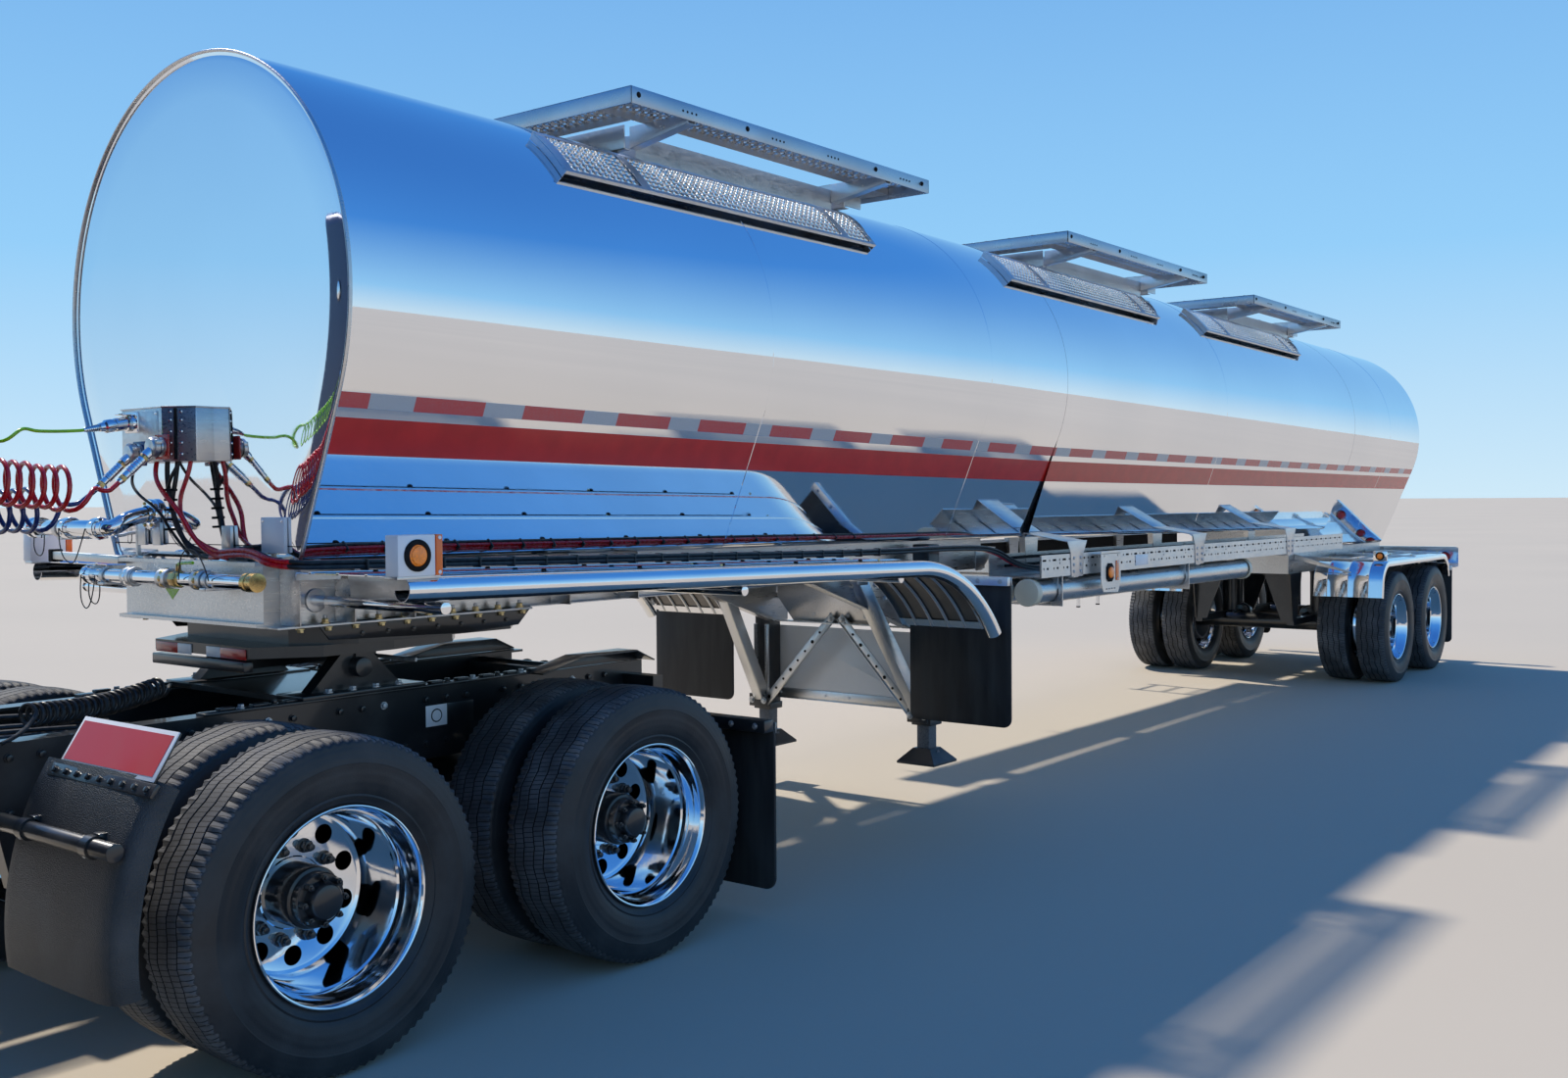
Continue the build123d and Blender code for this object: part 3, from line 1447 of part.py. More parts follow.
hinge_x = (70, 110)
with BuildPart() as spill_dams:
    for start, length, rise in walk_rows.values():
        top = walk_top(start, rise)
        middle = start + length / 2
        hatch_top = top - hatch_below
        hinge_y = middle + lid_r + 20
        y0, y1 = start + dam_inset, start + length - dam_inset
        block((-dam_half, dam_half), (y0, y1), (tank_z + tank_r - dam_root, top - walk_depth))
        block(
            (-dam_half + dam_wall, dam_half - dam_wall), (y0 + dam_wall, y1 - dam_wall),
            (tank_z + tank_r - dam_root - 1, top), mode=Mode.SUBTRACT,
        )
        for side in sides.values():
            block(
                (side * (dam_half - dam_wall), side * dam_half), (y1 - 1, y1 + dam_fin),
                (top - walk_depth - 60, top - walk_depth),
            )
        with BuildSketch(level(tank_z + tank_r - neck_root)) as neck:
            with Locations((0, middle)):
                Circle(hatch_r)
                Circle(hatch_r - neck_wall, mode=Mode.SUBTRACT)
        extrude(neck.sketch, amount=hatch_top - (tank_z + tank_r - neck_root))
        for side in sides.values():
            block(
                [side * x for x in hinge_x], (middle + lid_r - 12, middle + lid_r + 40),
                (hatch_top - 60, hatch_top + 4),
            )
        block(
            (-hinge_x[1], hinge_x[1]), (middle + hatch_r - 8, middle + lid_r + 40),
            (hatch_top - 60, hatch_top - 40),
        )
        pin_z = hatch_top + 20
        for side in sides.values():
            bar((side * hinge_x[0], hinge_y, pin_z), (side * hinge_x[1], hinge_y, pin_z), 16)
        bar((-hinge_x[1], hinge_y, pin_z), (hinge_x[1], hinge_y, pin_z), pin_r)
    cut_barrel(tank_y, tank_y + level_length)
    cut_barrel(tank_y + level_length, tank_end_y)
save(spill_dams, "spill_dams")

for lid_name, (start, length, rise) in walk_rows.items():
    middle = start + length / 2
    hatch_top = walk_top(start, rise) - hatch_below
    hinge_y = middle + lid_r + 20
    pin_z = hatch_top + 20
    with BuildPart() as lid:
        with BuildSketch(level(hatch_top + fit_gap)) as disc:
            with Locations((0, middle)):
                Circle(lid_r - 20)
        extrude(disc.sketch, amount=lid_wall, taper=12)
        block((-60, 60), (middle + lid_r - 60, hinge_y), (pin_z - 8, pin_z + 8))
        bar((-60, hinge_y, pin_z), (60, hinge_y, pin_z), barrel_r)
        bar((-61, hinge_y, pin_z), (61, hinge_y, pin_z), pin_r + fit_gap, mode=Mode.SUBTRACT)
    save(lid, f"manhole_lid_{lid_name}")


# Trailer axles with their hangers, arms and air springs

hanger_out = 460
hanger_in_top = 190
hanger_in_bottom = 350
hanger_plate = 12
hanger_foot_z = 560
arm_in = 400
with BuildPart() as trailer_axles:
    for station in (trailer_1_y, trailer_2_y):
        bar((-axle_end_x, station, tyre_r), (axle_end_x, station, tyre_r), axle_tube_r)
        bar((-spindle_end_x, station, tyre_r), (spindle_end_x, station, tyre_r), spindle_r)
        for side in sides.values():
            x = (side * arm_in, side * hanger_out)
            profile(
                facing_left(min(side * hanger_out, side * (hanger_out - hanger_plate))),
                (
                    (station - 740, rear_rail_bottom), (station - 660, hanger_foot_z),
                    (station - 560, hanger_foot_z), (station - 420, rear_rail_bottom),
                ),
                hanger_plate,
            )
            profile(
                facing_front(station - 640),
                (
                    (side * hanger_out, rear_rail_bottom), (side * hanger_out, hanger_foot_z),
                    (side * hanger_in_bottom, hanger_foot_z), (side * hanger_in_top, rear_rail_bottom),
                ),
                hanger_plate,
            )
            block(x, (station - 641, station + 330), (tyre_r + 20, tyre_r + axle_tube_r + 10))
            bar(
                (side * 430, station + 240, tyre_r + axle_tube_r),
                (side * 430, station + 240, rear_rail_bottom), air_spring_r,
            )
save(trailer_axles, "trailer_axles")


# Rear light bar with the underride guard

light_bar_half = 1210
light_bar_z = (960, 1170)
light_bar_depth = 80
light_bar_wall = 10
tail_lamp_r = 52
tail_lamp_x = (640, 790, 1080)
tail_lamp_z = 1065
guard_half = 1050
guard_z = (420, 500)

with BuildPart() as rear_light_bar:
    low_z, high_z = light_bar_z
    inner_y = tail_y - light_bar_wall
    with BuildSketch(facing_left(0)) as channel:
        with BuildLine():
            Polyline(
                (tail_y - light_bar_depth, low_z), (tail_y, low_z), (tail_y, high_z),
                (tail_y - light_bar_depth, high_z), (tail_y - light_bar_depth, high_z - light_bar_wall),
                (inner_y, high_z - light_bar_wall), (inner_y, low_z + light_bar_wall),
                (tail_y - light_bar_depth, low_z + light_bar_wall), close=True,
            )
        make_face()
        fillet(channel.vertices().group_by(Axis.X)[-1], light_bar_wall)
    extrude(channel.sketch, amount=light_bar_half, both=True)
    with BuildSketch(facing_front(tail_y + 1)) as holes:
        with Locations(*[(side * x, tail_lamp_z) for side in sides.values() for x in tail_lamp_x]):
            Circle(tail_lamp_r)
        with Locations(*[(side * plate_hole_pitch / 2, tail_lamp_z) for side in sides.values()]):
            Circle(plate_hole_r)
    extrude(holes.sketch, amount=light_bar_wall + 2, mode=Mode.SUBTRACT)
    for side in sides.values():
        rounded(
            level(guard_z[1] - 1),
            (
                (side * 380, tail_y - 60), (side * 440, tail_y - 60),
                (side * 440, tail_y - 20), (side * 380, tail_y - 20),
            ),
            8, low_z - guard_z[1] + 2,
        )
    rounded(
        facing_left(-guard_half),
        (
            (tail_y - 90, guard_z[0]), (tail_y - 90, guard_z[1]),
            (tail_y - 10, guard_z[1]), (tail_y - 10, guard_z[0]),
        ),
        12, 2 * guard_half,
    )
save(rear_light_bar, "rear_light_bar")


# Fittings on the trailer's nose: the box with its couplings and the two drain pipes

box_z = (1850, 2045)
box_depth = 137
gladhand_r = 36
gladhand_out = 55
fitting_r = 13
gladhands = {"air_line_red": (0, 1900), "air_line_blue": (-150, 1880)}
plug_x = -200
plug_z = 1990
plug_r = 24
plug_length = 150
pipe_y = tank_y - 167
upper_pipe_z = 1612
upper_pipe_r = 32
lower_pipe_z = 1442
lower_pipe_r = 26
cap_wall = 9
drain_x = 560
drain_r = 31.5
drain_length = 60
line_exits = {}

with BuildPart() as nose_fittings:
    profile(
        level(box_z[0]),
        (
            (-280, tank_y), (-280, tank_y - box_depth), (-5, tank_y - box_depth), (100, tank_y - 67),
            (100, tank_y),
        ),
        box_z[1] - box_z[0],
    )
    for line_name, (x, z) in gladhands.items():
        face_y = tank_y - box_depth
        bar((x, face_y + 1, z), (x, face_y - gladhand_out, z), gladhand_r)
        line_exits[line_name] = ((x, face_y - gladhand_out + 15, z - 10), (x, face_y - 162, z - 126))
        bar(*line_exits[line_name], fitting_r)
    bar((plug_x, tank_y - box_depth + 1, plug_z), (plug_x, tank_y - box_depth - 30, plug_z), plug_r + 6)
    line_exits["electric_line"] = (
        (plug_x, tank_y - box_depth - 25, plug_z), (plug_x, tank_y - box_depth - 30 - plug_length, plug_z - 30),
    )
    bar(*line_exits["electric_line"], plug_r)
    bar((-900, pipe_y, upper_pipe_z), (-330, pipe_y, upper_pipe_z), upper_pipe_r)
    bar((-365, pipe_y, upper_pipe_z), (-320, tank_y - 24, upper_pipe_z + 50), upper_pipe_r)
    bar((-320, tank_y - 26, upper_pipe_z + 50), (-320, tank_y, upper_pipe_z + 50), upper_pipe_r + 25)
    for x in (-900, -640, -420):
        bar((x, pipe_y, upper_pipe_z), (x + 45, pipe_y, upper_pipe_z), upper_pipe_r + cap_wall)
    bar((-480, pipe_y, lower_pipe_z), (drain_x, pipe_y, lower_pipe_z), lower_pipe_r)
    bar((drain_x - 5, pipe_y, lower_pipe_z), (drain_x + drain_length, pipe_y, lower_pipe_z), drain_r)
    for x in (-480, -200, 40, 260):
        bar((x, pipe_y, lower_pipe_z), (x + 60, pipe_y, lower_pipe_z), lower_pipe_r + cap_wall)
    for x in (-340, 340):
        block(
            (x - 20, x + 20), (pipe_y - lower_pipe_r - 8, front_rail_front - fit_gap),
            (lower_pipe_z - lower_pipe_r - 8, lower_pipe_z - lower_pipe_r + 6),
        )
    block(
        (-700, -660), (pipe_y - 10, tank_y),
        (upper_pipe_z - upper_pipe_r - 12, upper_pipe_z - upper_pipe_r + 4),
    )
save(nose_fittings, "nose_fittings")


# Coiled lines from the nose fittings to the cab's back wall: each is a fat tube of
# its coil's outer size between two thin tails. Points are X, the way ahead of the
# tank, and Z.

line_rows = {
    "air_line_red": {
        "coil_r": 82, "tube_r": 9,
        "coil": ((0, 342, 1738), (0, 685, 1772), (12, 1045, 1815), (0, 1385, 1880)),
        "tail": ((0, 1482, 1940), (0, 1577, 2000)),
    },
    "air_line_blue": {
        "coil_r": 82, "tube_r": 9,
        "coil": ((-166, 372, 1690), (-158, 700, 1672), (-165, 1045, 1722), (-155, 1385, 1800)),
        "tail": ((-152, 1482, 1862), (-150, 1577, 1920)),
    },
    "electric_line": {
        "coil_r": 50, "tube_r": 6.5,
        "coil": ((-206, 470, 1950), (-226, 700, 1962), (-240, 1045, 1992), (-236, 1385, 2030)),
        "tail": ((-235, 1482, 2058), (-235, 1577, 2080)),
    },
}
lead_length = 18
root_length = 8


def run_on(start, end, length):
    """The point past the end of a run, in its own direction."""
    arrival = Vector(*end)
    return tuple(arrival + (arrival - Vector(*start)).normalized() * length)


for line_name, row in line_rows.items():
    coil = [(x, tank_y - ahead, z) for x, ahead, z in row["coil"]]
    fitting, exit_point = line_exits[line_name]
    nose_end = (
        exit_point, run_on(fitting, exit_point, lead_length), coil[0], run_on(coil[1], coil[0], -root_length),
    )
    socket_x, socket_z = cab_sockets[line_name]
    cab_end = (
        run_on(coil[-2], coil[-1], -root_length), coil[-1],
        *[(x, tank_y - ahead, z) for x, ahead, z in row["tail"]],
        (socket_x, cab_back_y + socket_length, socket_z),
    )
    with BuildPart() as line:
        for path, radius in ((coil, row["coil_r"]), (nose_end, row["tube_r"]), (cab_end, row["tube_r"])):
            radii = largest_radii(path)
            print(line_name, "bend radii", [round(bend) for bend in radii])
            tube_path(path, radii, radius)
    save(line, line_name)
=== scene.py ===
import json
from functools import cache
from math import atan2, ceil, cos, pi, radians, sin, sqrt, tan

import bmesh
import bpy
from bpy.props import FloatProperty, FloatVectorProperty, IntProperty
from mathutils import Matrix, Vector


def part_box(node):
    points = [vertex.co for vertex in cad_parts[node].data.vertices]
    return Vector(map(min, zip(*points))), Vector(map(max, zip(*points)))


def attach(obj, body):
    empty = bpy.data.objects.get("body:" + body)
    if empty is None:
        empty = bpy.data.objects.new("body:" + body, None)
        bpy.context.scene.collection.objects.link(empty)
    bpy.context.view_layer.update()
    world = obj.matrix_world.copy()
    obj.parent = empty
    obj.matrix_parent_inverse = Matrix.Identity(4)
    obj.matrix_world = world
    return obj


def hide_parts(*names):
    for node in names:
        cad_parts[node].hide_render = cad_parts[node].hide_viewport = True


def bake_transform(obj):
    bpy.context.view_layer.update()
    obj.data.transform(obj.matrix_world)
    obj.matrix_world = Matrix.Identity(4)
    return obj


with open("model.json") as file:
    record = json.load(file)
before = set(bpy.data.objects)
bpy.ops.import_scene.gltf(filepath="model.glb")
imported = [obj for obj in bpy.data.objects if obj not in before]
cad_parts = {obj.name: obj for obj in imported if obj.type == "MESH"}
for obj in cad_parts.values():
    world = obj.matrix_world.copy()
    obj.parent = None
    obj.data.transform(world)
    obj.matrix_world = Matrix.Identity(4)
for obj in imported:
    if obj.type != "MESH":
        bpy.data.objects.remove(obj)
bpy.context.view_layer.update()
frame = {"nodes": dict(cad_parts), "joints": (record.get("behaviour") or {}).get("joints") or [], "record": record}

bl_info = {
    "name": "Tanker Truck",
    "version": (1, 0, 0),
    "blender": (4, 5, 0),
    "location": "3D View > Sidebar > Tanker",
    "description": "Finishes and detailed pieces for an articulated tanker truck",
    "category": "Object",
}

# X points to the vehicle's left, Y to its rear and Z up, in metres.
UP = Vector((0, 0, 1))
LEFT = Vector((1, 0, 0))
REAR = Vector((0, 1, 0))
SIDES = {"left": 1, "right": -1}


def joint_place(name):
    """Where a joint stands at rest."""
    return Vector(next(joint["pos_m"] for joint in frame["joints"] if joint["name"] == name))


WHEEL = joint_place("roll_drive_1_left")
DRIVE_Y = WHEEL.y
DRIVE_2_Y = joint_place("roll_drive_2_left").y
TRAILER_1_Y = joint_place("roll_trailer_1_left").y
TRAILER_2_Y = joint_place("roll_trailer_2_left").y
STEER = joint_place("roll_steer_left")
KINGPIN = joint_place("trailer_pivot")
TYRE_R = WHEEL.z
TANK_LOW, TANK_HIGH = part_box("tank_shell")
TANK_R = TANK_HIGH.x
TANK_Y = TANK_LOW.y
TANK_END_Y = TANK_HIGH.y
TANK_Z = TANK_HIGH.z - TANK_R
LEVEL_LENGTH = 4.130
BARREL_SLOPE = 0.0115
SIDE_ANGLE = radians(112.4)
FIRST_BELLY = 5.033
BELLIES = ((TANK_Y + FIRST_BELLY, 0.040), (TANK_Y + 10.730, 0.120))
DUAL_OFFSET = 0.171
COWL_Y = DRIVE_Y - 4.100
CAB_BACK_Y = DRIVE_Y - 1.400


def barrel_z(y):
    """Height of the barrel's axis, level at the front and falling to the rear."""
    return TANK_Z - BARREL_SLOPE * max(0, y - TANK_Y - LEVEL_LENGTH)


class TankerSizes(bpy.types.PropertyGroup):
    """Sizes that shape the detailed pieces."""

    groove_depth: FloatProperty(
        name="Groove depth", description="Depth of the grooves round each tyre",
        default=0.013, min=0.002, max=0.02, unit="LENGTH",
    )
    groove_width: FloatProperty(
        name="Groove width", description="Width of the grooves round each tyre",
        default=0.006, min=0.002, max=0.015, unit="LENGTH",
    )
    tyre_steps: IntProperty(
        name="Tyre steps", description="Steps round a tyre, two for each shoulder lug",
        default=192, min=64, max=256,
    )
    red_band_top: FloatProperty(
        name="Red band top", description="Height of the red band's upper edge at the nose",
        default=1.981, unit="LENGTH",
    )
    red_band_bottom: FloatProperty(
        name="Red band bottom", description="Height of the red band's lower edge at the nose",
        default=1.860, unit="LENGTH",
    )
    tape_top: FloatProperty(
        name="Tape top", description="Height of the tape's upper edge at the nose", default=2.062, unit="LENGTH",
    )
    tape_bottom: FloatProperty(
        name="Tape bottom", description="Height of the tape's lower edge at the nose", default=2.012, unit="LENGTH",
    )
    tape_red: FloatProperty(
        name="Red tape", description="Length of each red piece of tape", default=0.307, unit="LENGTH",
    )
    tape_white: FloatProperty(
        name="White tape", description="Length of each white piece of tape", default=0.186, unit="LENGTH",
    )


class TankerColours(bpy.types.PropertyGroup):
    """Colours of the paint, the stripes and the lines."""

    cab: FloatVectorProperty(
        name="Cab", description="Cab paint", default=(0.010, 0.022, 0.075), subtype="COLOR",
    )
    band: FloatVectorProperty(
        name="Band", description="Solid band along the barrel", default=(0.56, 0.018, 0.014), subtype="COLOR",
    )
    tape: FloatVectorProperty(
        name="Tape", description="Red pieces of tape", default=(0.68, 0.014, 0.008), subtype="COLOR",
    )
    red_line: FloatVectorProperty(
        name="Red line", description="Supply air line", default=(0.62, 0.006, 0.012), subtype="COLOR",
    )
    blue_line: FloatVectorProperty(
        name="Blue line", description="Service air line", default=(0.006, 0.030, 0.19), subtype="COLOR",
    )
    green_line: FloatVectorProperty(
        name="Green line", description="Electric line", default=(0.30, 0.72, 0.01), subtype="COLOR",
    )
    floor: FloatVectorProperty(
        name="Floor", description="Studio floor", default=(0.52, 0.455, 0.365), subtype="COLOR",
    )
    sky: FloatVectorProperty(
        name="Light above", description="Colour of the soft light overhead", default=(0.06, 0.26, 0.72),
        subtype="COLOR",
    )


def sizes():
    """The sizes in use."""
    return bpy.context.scene.tanker_sizes


def colours():
    """The colours in use."""
    return bpy.context.scene.tanker_colours


# Materials


class Value:
    """A shader socket; arithmetic on it adds Math nodes."""

    def __init__(self, look, socket):
        self.look = look
        self.socket = socket

    def maths(self, operation, *terms):
        """A Math node over these terms."""
        return self.look.node("ShaderNodeMath", {"operation": operation}, dict(enumerate(terms)))

    def __add__(self, other):
        return self.maths("ADD", self, other)

    __radd__ = __add__

    def __sub__(self, other):
        return self.maths("SUBTRACT", self, other)

    def __rsub__(self, other):
        return self.maths("SUBTRACT", other, self)

    def __mul__(self, other):
        return self.maths("MULTIPLY", self, other)

    __rmul__ = __mul__

    def __truediv__(self, other):
        return self.maths("DIVIDE", self, other)

    def __gt__(self, other):
        return self.maths("GREATER_THAN", self, other)

    def __lt__(self, other):
        return self.maths("LESS_THAN", self, other)

    def __abs__(self):
        return self.maths("ABSOLUTE", self)

    def repeats(self, length):
        """This value's remainder within a repeating length."""
        return self.maths("FLOORED_MODULO", self, length)

    def between(self, low, high):
        """1 from low to high, else 0."""
        return (self > low) * (self < high)

    def ramp(self, low, high, start=0.0, end=1.0):
        """Maps low to start and high to end, held at both."""
        inputs = {0: self, 1: low, 2: high, 3: start, 4: end}
        return self.look.node("ShaderNodeMapRange", {"clamp": True}, inputs)


class Look:
    """One material: its node tree and its Principled shader."""

    def __init__(self, name, **constants):
        self.material = bpy.data.materials.new(name)
        self.material.use_nodes = True
        self.tree = self.material.node_tree
        self.shader = self.tree.nodes["Principled BSDF"]
        for socket, value in constants.items():
            self.shader.inputs[socket.replace("_", " ")].default_value = value

    def node(self, kind, settings=None, inputs=None, output=0):
        """Adds a node with its settings first, then its sockets' values or links."""
        made = self.tree.nodes.new(kind)
        for setting, value in (settings or {}).items():
            setattr(made, setting, value)
        for socket, value in (inputs or {}).items():
            self.feed(made.inputs[socket], value)
        return Value(self, made.outputs[output])

    def feed(self, socket, value):
        """Links a value to a socket, or sets its constant."""
        if isinstance(value, Value):
            self.tree.links.new(value.socket, socket)
        else:
            socket.default_value = value

    def feeds(self, **varying):
        """Feeds the Principled shader's varying sockets."""
        for socket, value in varying.items():
            self.feed(self.shader.inputs[socket.replace("_", " ")], value)

    def object_place(self):
        """Object coordinates as a vector."""
        return self.node("ShaderNodeTexCoord", output="Object")

    def object_parts(self):
        """Object coordinates as x, y and z."""
        split = self.node("ShaderNodeSeparateXYZ", inputs={0: self.object_place()})
        return [Value(self, split.socket.node.outputs[axis]) for axis in range(3)]

    def surface_parts(self):
        """The piece's own UV map as u and v."""
        flat = self.node("ShaderNodeUVMap", {"uv_map": "surface"})
        split = self.node("ShaderNodeSeparateXYZ", inputs={0: flat})
        return [Value(self, split.socket.node.outputs[axis]) for axis in range(2)]

    def noise(self, scale, detail=2.0, stretch=(1, 1, 1)):
        """Noise over the object, stretched along an axis where that is below 1."""
        place = self.node("ShaderNodeMapping", inputs={"Vector": self.object_place(), "Scale": stretch})
        return self.node("ShaderNodeTexNoise", inputs={"Vector": place, "Scale": scale, "Detail": detail})

    def cells(self, scale):
        """Distance to the nearest of scattered points."""
        return self.node("ShaderNodeTexVoronoi", inputs={"Vector": self.object_place(), "Scale": scale})

    def blend(self, factor, low, high):
        """A colour between two."""
        inputs = {0: factor, 6: low, 7: high}
        return self.node("ShaderNodeMix", {"data_type": "RGBA"}, inputs, output=2)

    def bump(self, height, distance, strength=1.0, normal=None):
        """A surface raised by a height, in metres at 1."""
        inputs = {"Height": height, "Distance": distance, "Strength": strength}
        if normal is not None:
            inputs["Normal"] = normal
        return self.node("ShaderNodeBump", inputs=inputs)


def shade(colour, factor=1.0):
    """A colour with alpha, made darker or lighter."""
    return (*[min(1.0, part * factor) for part in colour[:3]], 1.0)


def metal_look(name, colour, rough_low, rough_high, grain, depth, stretch=(1, 1, 1), tint=0.85):
    """Bare metal with uneven polish, faint staining and a fine grain."""
    look = Look(name, Metallic=1.0)
    polish = look.noise(grain, 4.0, stretch)
    stain = look.noise(2.3, 5.0)
    look.feeds(
        Base_Color=look.blend(stain.ramp(0.35, 0.7), shade(colour, tint), shade(colour)),
        Roughness=polish.ramp(0.3, 0.7, rough_low, rough_high),
        Normal=look.bump(polish, depth),
    )
    return look.material


@cache
def polished_sheet():
    """Mirror-polished sheet that is very slightly uneven, with a soft swirl of polish."""
    look = Look("polished_sheet", Metallic=1.0)
    swirl = look.noise(60.0, 3.0)
    wave = look.noise(1.3, 1.0)
    look.feeds(
        Base_Color=look.blend(look.noise(0.7, 3.0).ramp(0.3, 0.7), (0.83, 0.85, 0.88, 1), (0.90, 0.91, 0.93, 1)),
        Roughness=swirl.ramp(0.3, 0.75, 0.015, 0.06),
        Normal=look.bump(wave, 0.0012),
    )
    return look.material


def stripe_height(look):
    """Height that the stripes keep as they fall along the barrel, and the station along it."""
    _, y, z = look.object_parts()
    ahead, behind = y - TANK_Y, y - (TANK_Y + FIRST_BELLY)
    fall = ahead.maths("MINIMUM", ahead, FIRST_BELLY) * 0.0117 + behind.maths("MAXIMUM", behind, 0.0) * 0.0042
    return z + fall, y


@cache
def striped_sheet():
    """The barrel's polished sheet with its solid band and its row of tape."""
    size, colour = sizes(), colours()
    look = Look("striped_sheet")
    height, y = stripe_height(look)
    band = height.between(size.red_band_bottom, size.red_band_top)
    row = height.between(size.tape_bottom, size.tape_top)
    step = size.tape_red + size.tape_white
    red = (y - (TANK_Y - 0.18)).repeats(step) < size.tape_red
    wear = look.noise(9.0, 5.0)
    sheet_colour = look.blend(
        look.noise(0.7, 3.0).ramp(0.3, 0.7), (0.83, 0.85, 0.88, 1), (0.90, 0.91, 0.93, 1)
    )
    tape_colour = look.blend(red, (0.50, 0.53, 0.56, 1), shade(colour.tape))
    cells = look.cells(420.0)
    tape_colour = look.blend(cells.ramp(0.25, 0.55) * 0.35, tape_colour, (0.30, 0.30, 0.32, 1))
    band_colour = look.blend(wear.ramp(0.35, 0.7), shade(colour.band, 0.9), shade(colour.band, 1.08))
    painted = band + row
    low = height.ramp(1.85, 1.50)
    drops = look.noise(26.0, 5.0, (1, 0.35, 1)).ramp(0.52, 0.74) * low
    polish = look.noise(60.0, 3.0).ramp(0.3, 0.75, 0.015, 0.055) + drops * 0.12
    look.feeds(
        Base_Color=look.blend(row, look.blend(band, sheet_colour, band_colour), tape_colour),
        Metallic=1 - painted,
        Roughness=polish * (1 - painted) + painted * 0.24,
        Coat_Weight=painted * 0.35,
        Normal=look.bump(look.noise(1.3, 1.0) + painted * 0.25, 0.0012),
    )
    return look.material


@cache
def polished_aluminium():
    """Bright aluminium with fine scratches from polishing."""
    return metal_look("polished_aluminium", (0.90, 0.91, 0.93), 0.05, 0.16, 40.0, 0.0002, tint=0.92)


@cache
def bright_forging():
    """A forged wheel's mirror finish with its fine turned rings."""
    return metal_look("bright_forging", (0.90, 0.92, 0.95), 0.03, 0.10, 25.0, 0.0002, tint=0.93)


@cache
def satin_steel():
    """Stainless plate with a lengthwise grain."""
    return metal_look("satin_steel", (0.66, 0.66, 0.66), 0.24, 0.42, 160.0, 0.00012, (1, 0.05, 1), 0.88)


@cache
def mill_aluminium():
    """Aluminium sections as they come from the mill."""
    return metal_look("mill_aluminium", (0.70, 0.71, 0.72), 0.28, 0.48, 70.0, 0.0002, (1, 0.2, 1), 0.86)


@cache
def chrome():
    """Chromed steel."""
    return metal_look("chrome", (0.88, 0.89, 0.91), 0.02, 0.07, 30.0, 0.0001, tint=0.95)


@cache
def zinc():
    """Galvanised steel with its flakes."""
    look = Look("zinc", Metallic=0.9)
    flakes = look.cells(55.0)
    dirt = look.noise(3.1, 6.0).ramp(0.5, 0.8)
    colour = look.blend(flakes.ramp(0.1, 0.7), (0.44, 0.45, 0.46, 1), (0.62, 0.63, 0.64, 1))
    look.feeds(
        Base_Color=look.blend(dirt * 0.4, colour, (0.26, 0.24, 0.22, 1)),
        Roughness=flakes.ramp(0.1, 0.8, 0.34, 0.55),
        Normal=look.bump(look.noise(90.0, 3.0), 0.0002),
    )
    return look.material


@cache
def brass():
    """Brass fittings."""
    return metal_look("brass", (0.72, 0.50, 0.20), 0.18, 0.34, 80.0, 0.0002, tint=0.75)


@cache
def gold_zinc():
    """Yellow-passivated bolts."""
    return metal_look("gold_zinc", (0.80, 0.62, 0.32), 0.24, 0.42, 90.0, 0.0002, tint=0.8)


def paint_look(name, colour, rough, coat, dust=0.25):
    """Paint with a little dust where it settles and an even clear coat."""
    look = Look(name, Coat_Roughness=0.08)
    settled = look.noise(5.0, 6.0).ramp(0.48, 0.8) * dust
    peel = look.noise(240.0, 2.0)
    look.feeds(
        Base_Color=look.blend(settled, shade(colour), (0.32, 0.29, 0.26, 1)),
        Roughness=settled * 0.5 + rough,
        Coat_Weight=(1 - settled) * coat,
        Normal=look.bump(peel, 0.00008),
    )
    return look.material


@cache
def chassis_black():
    """Black chassis paint."""
    return paint_look("chassis_black", (0.012, 0.013, 0.015), 0.32, 0.5, 0.12)


@cache
def leg_black():
    """Satin black paint on the landing legs."""
    return paint_look("leg_black", (0.020, 0.021, 0.024), 0.42, 0.2, 0.2)


@cache
def cab_paint():
    """Dark blue paint with fine flakes under a clear coat."""
    look = Look("cab_paint", Coat_Weight=1.0, Coat_Roughness=0.03)
    flakes = look.cells(900.0)
    deep = shade(colours().cab)
    look.feeds(
        Base_Color=look.blend(flakes.ramp(0.0, 0.5), shade(colours().cab, 1.7), deep),
        Metallic=flakes.ramp(0.1, 0.5, 0.75, 0.35),
        Roughness=flakes.ramp(0.0, 0.6, 0.24, 0.36),
        Normal=look.bump(look.noise(160.0, 2.0), 0.00005),
    )
    return look.material


@cache
def white_paint():
    """White paint on plates and lamp boxes."""
    return paint_look("white_paint", (0.80, 0.81, 0.83), 0.35, 0.3, 0.1)


@cache
def painted_shade_lining():
    """Aluminium inside the fenders' drop, darkened to a dull grey as painted shade."""
    return metal_look("fender lining", (0.20, 0.19, 0.18), 0.30, 0.50, 14.0, 0.0001)


@cache
def red_sign():
    """Red field of the blank plates on the fenders."""
    return paint_look("red sign", (0.55, 0.025, 0.02), 0.35, 0.4, 0.1)


@cache
def walk_aluminium():
    """Darker rolled aluminium of the walkways' edges."""
    return metal_look("walkway aluminium", (0.48, 0.53, 0.60), 0.20, 0.36, 9.0, 0.00006, (1, 0.2, 1))


@cache
def tread_metal():
    """Bright worn aluminium of the treads' collars."""
    return metal_look("tread aluminium", (0.93, 0.92, 0.90), 0.16, 0.30, 30.0, 0.00003)


@cache
def cream_paint():
    """Cream plastic of the hose tubes' caps."""
    return paint_look("cream plastic", (0.74, 0.66, 0.50), 0.42, 0.2, 0.35)


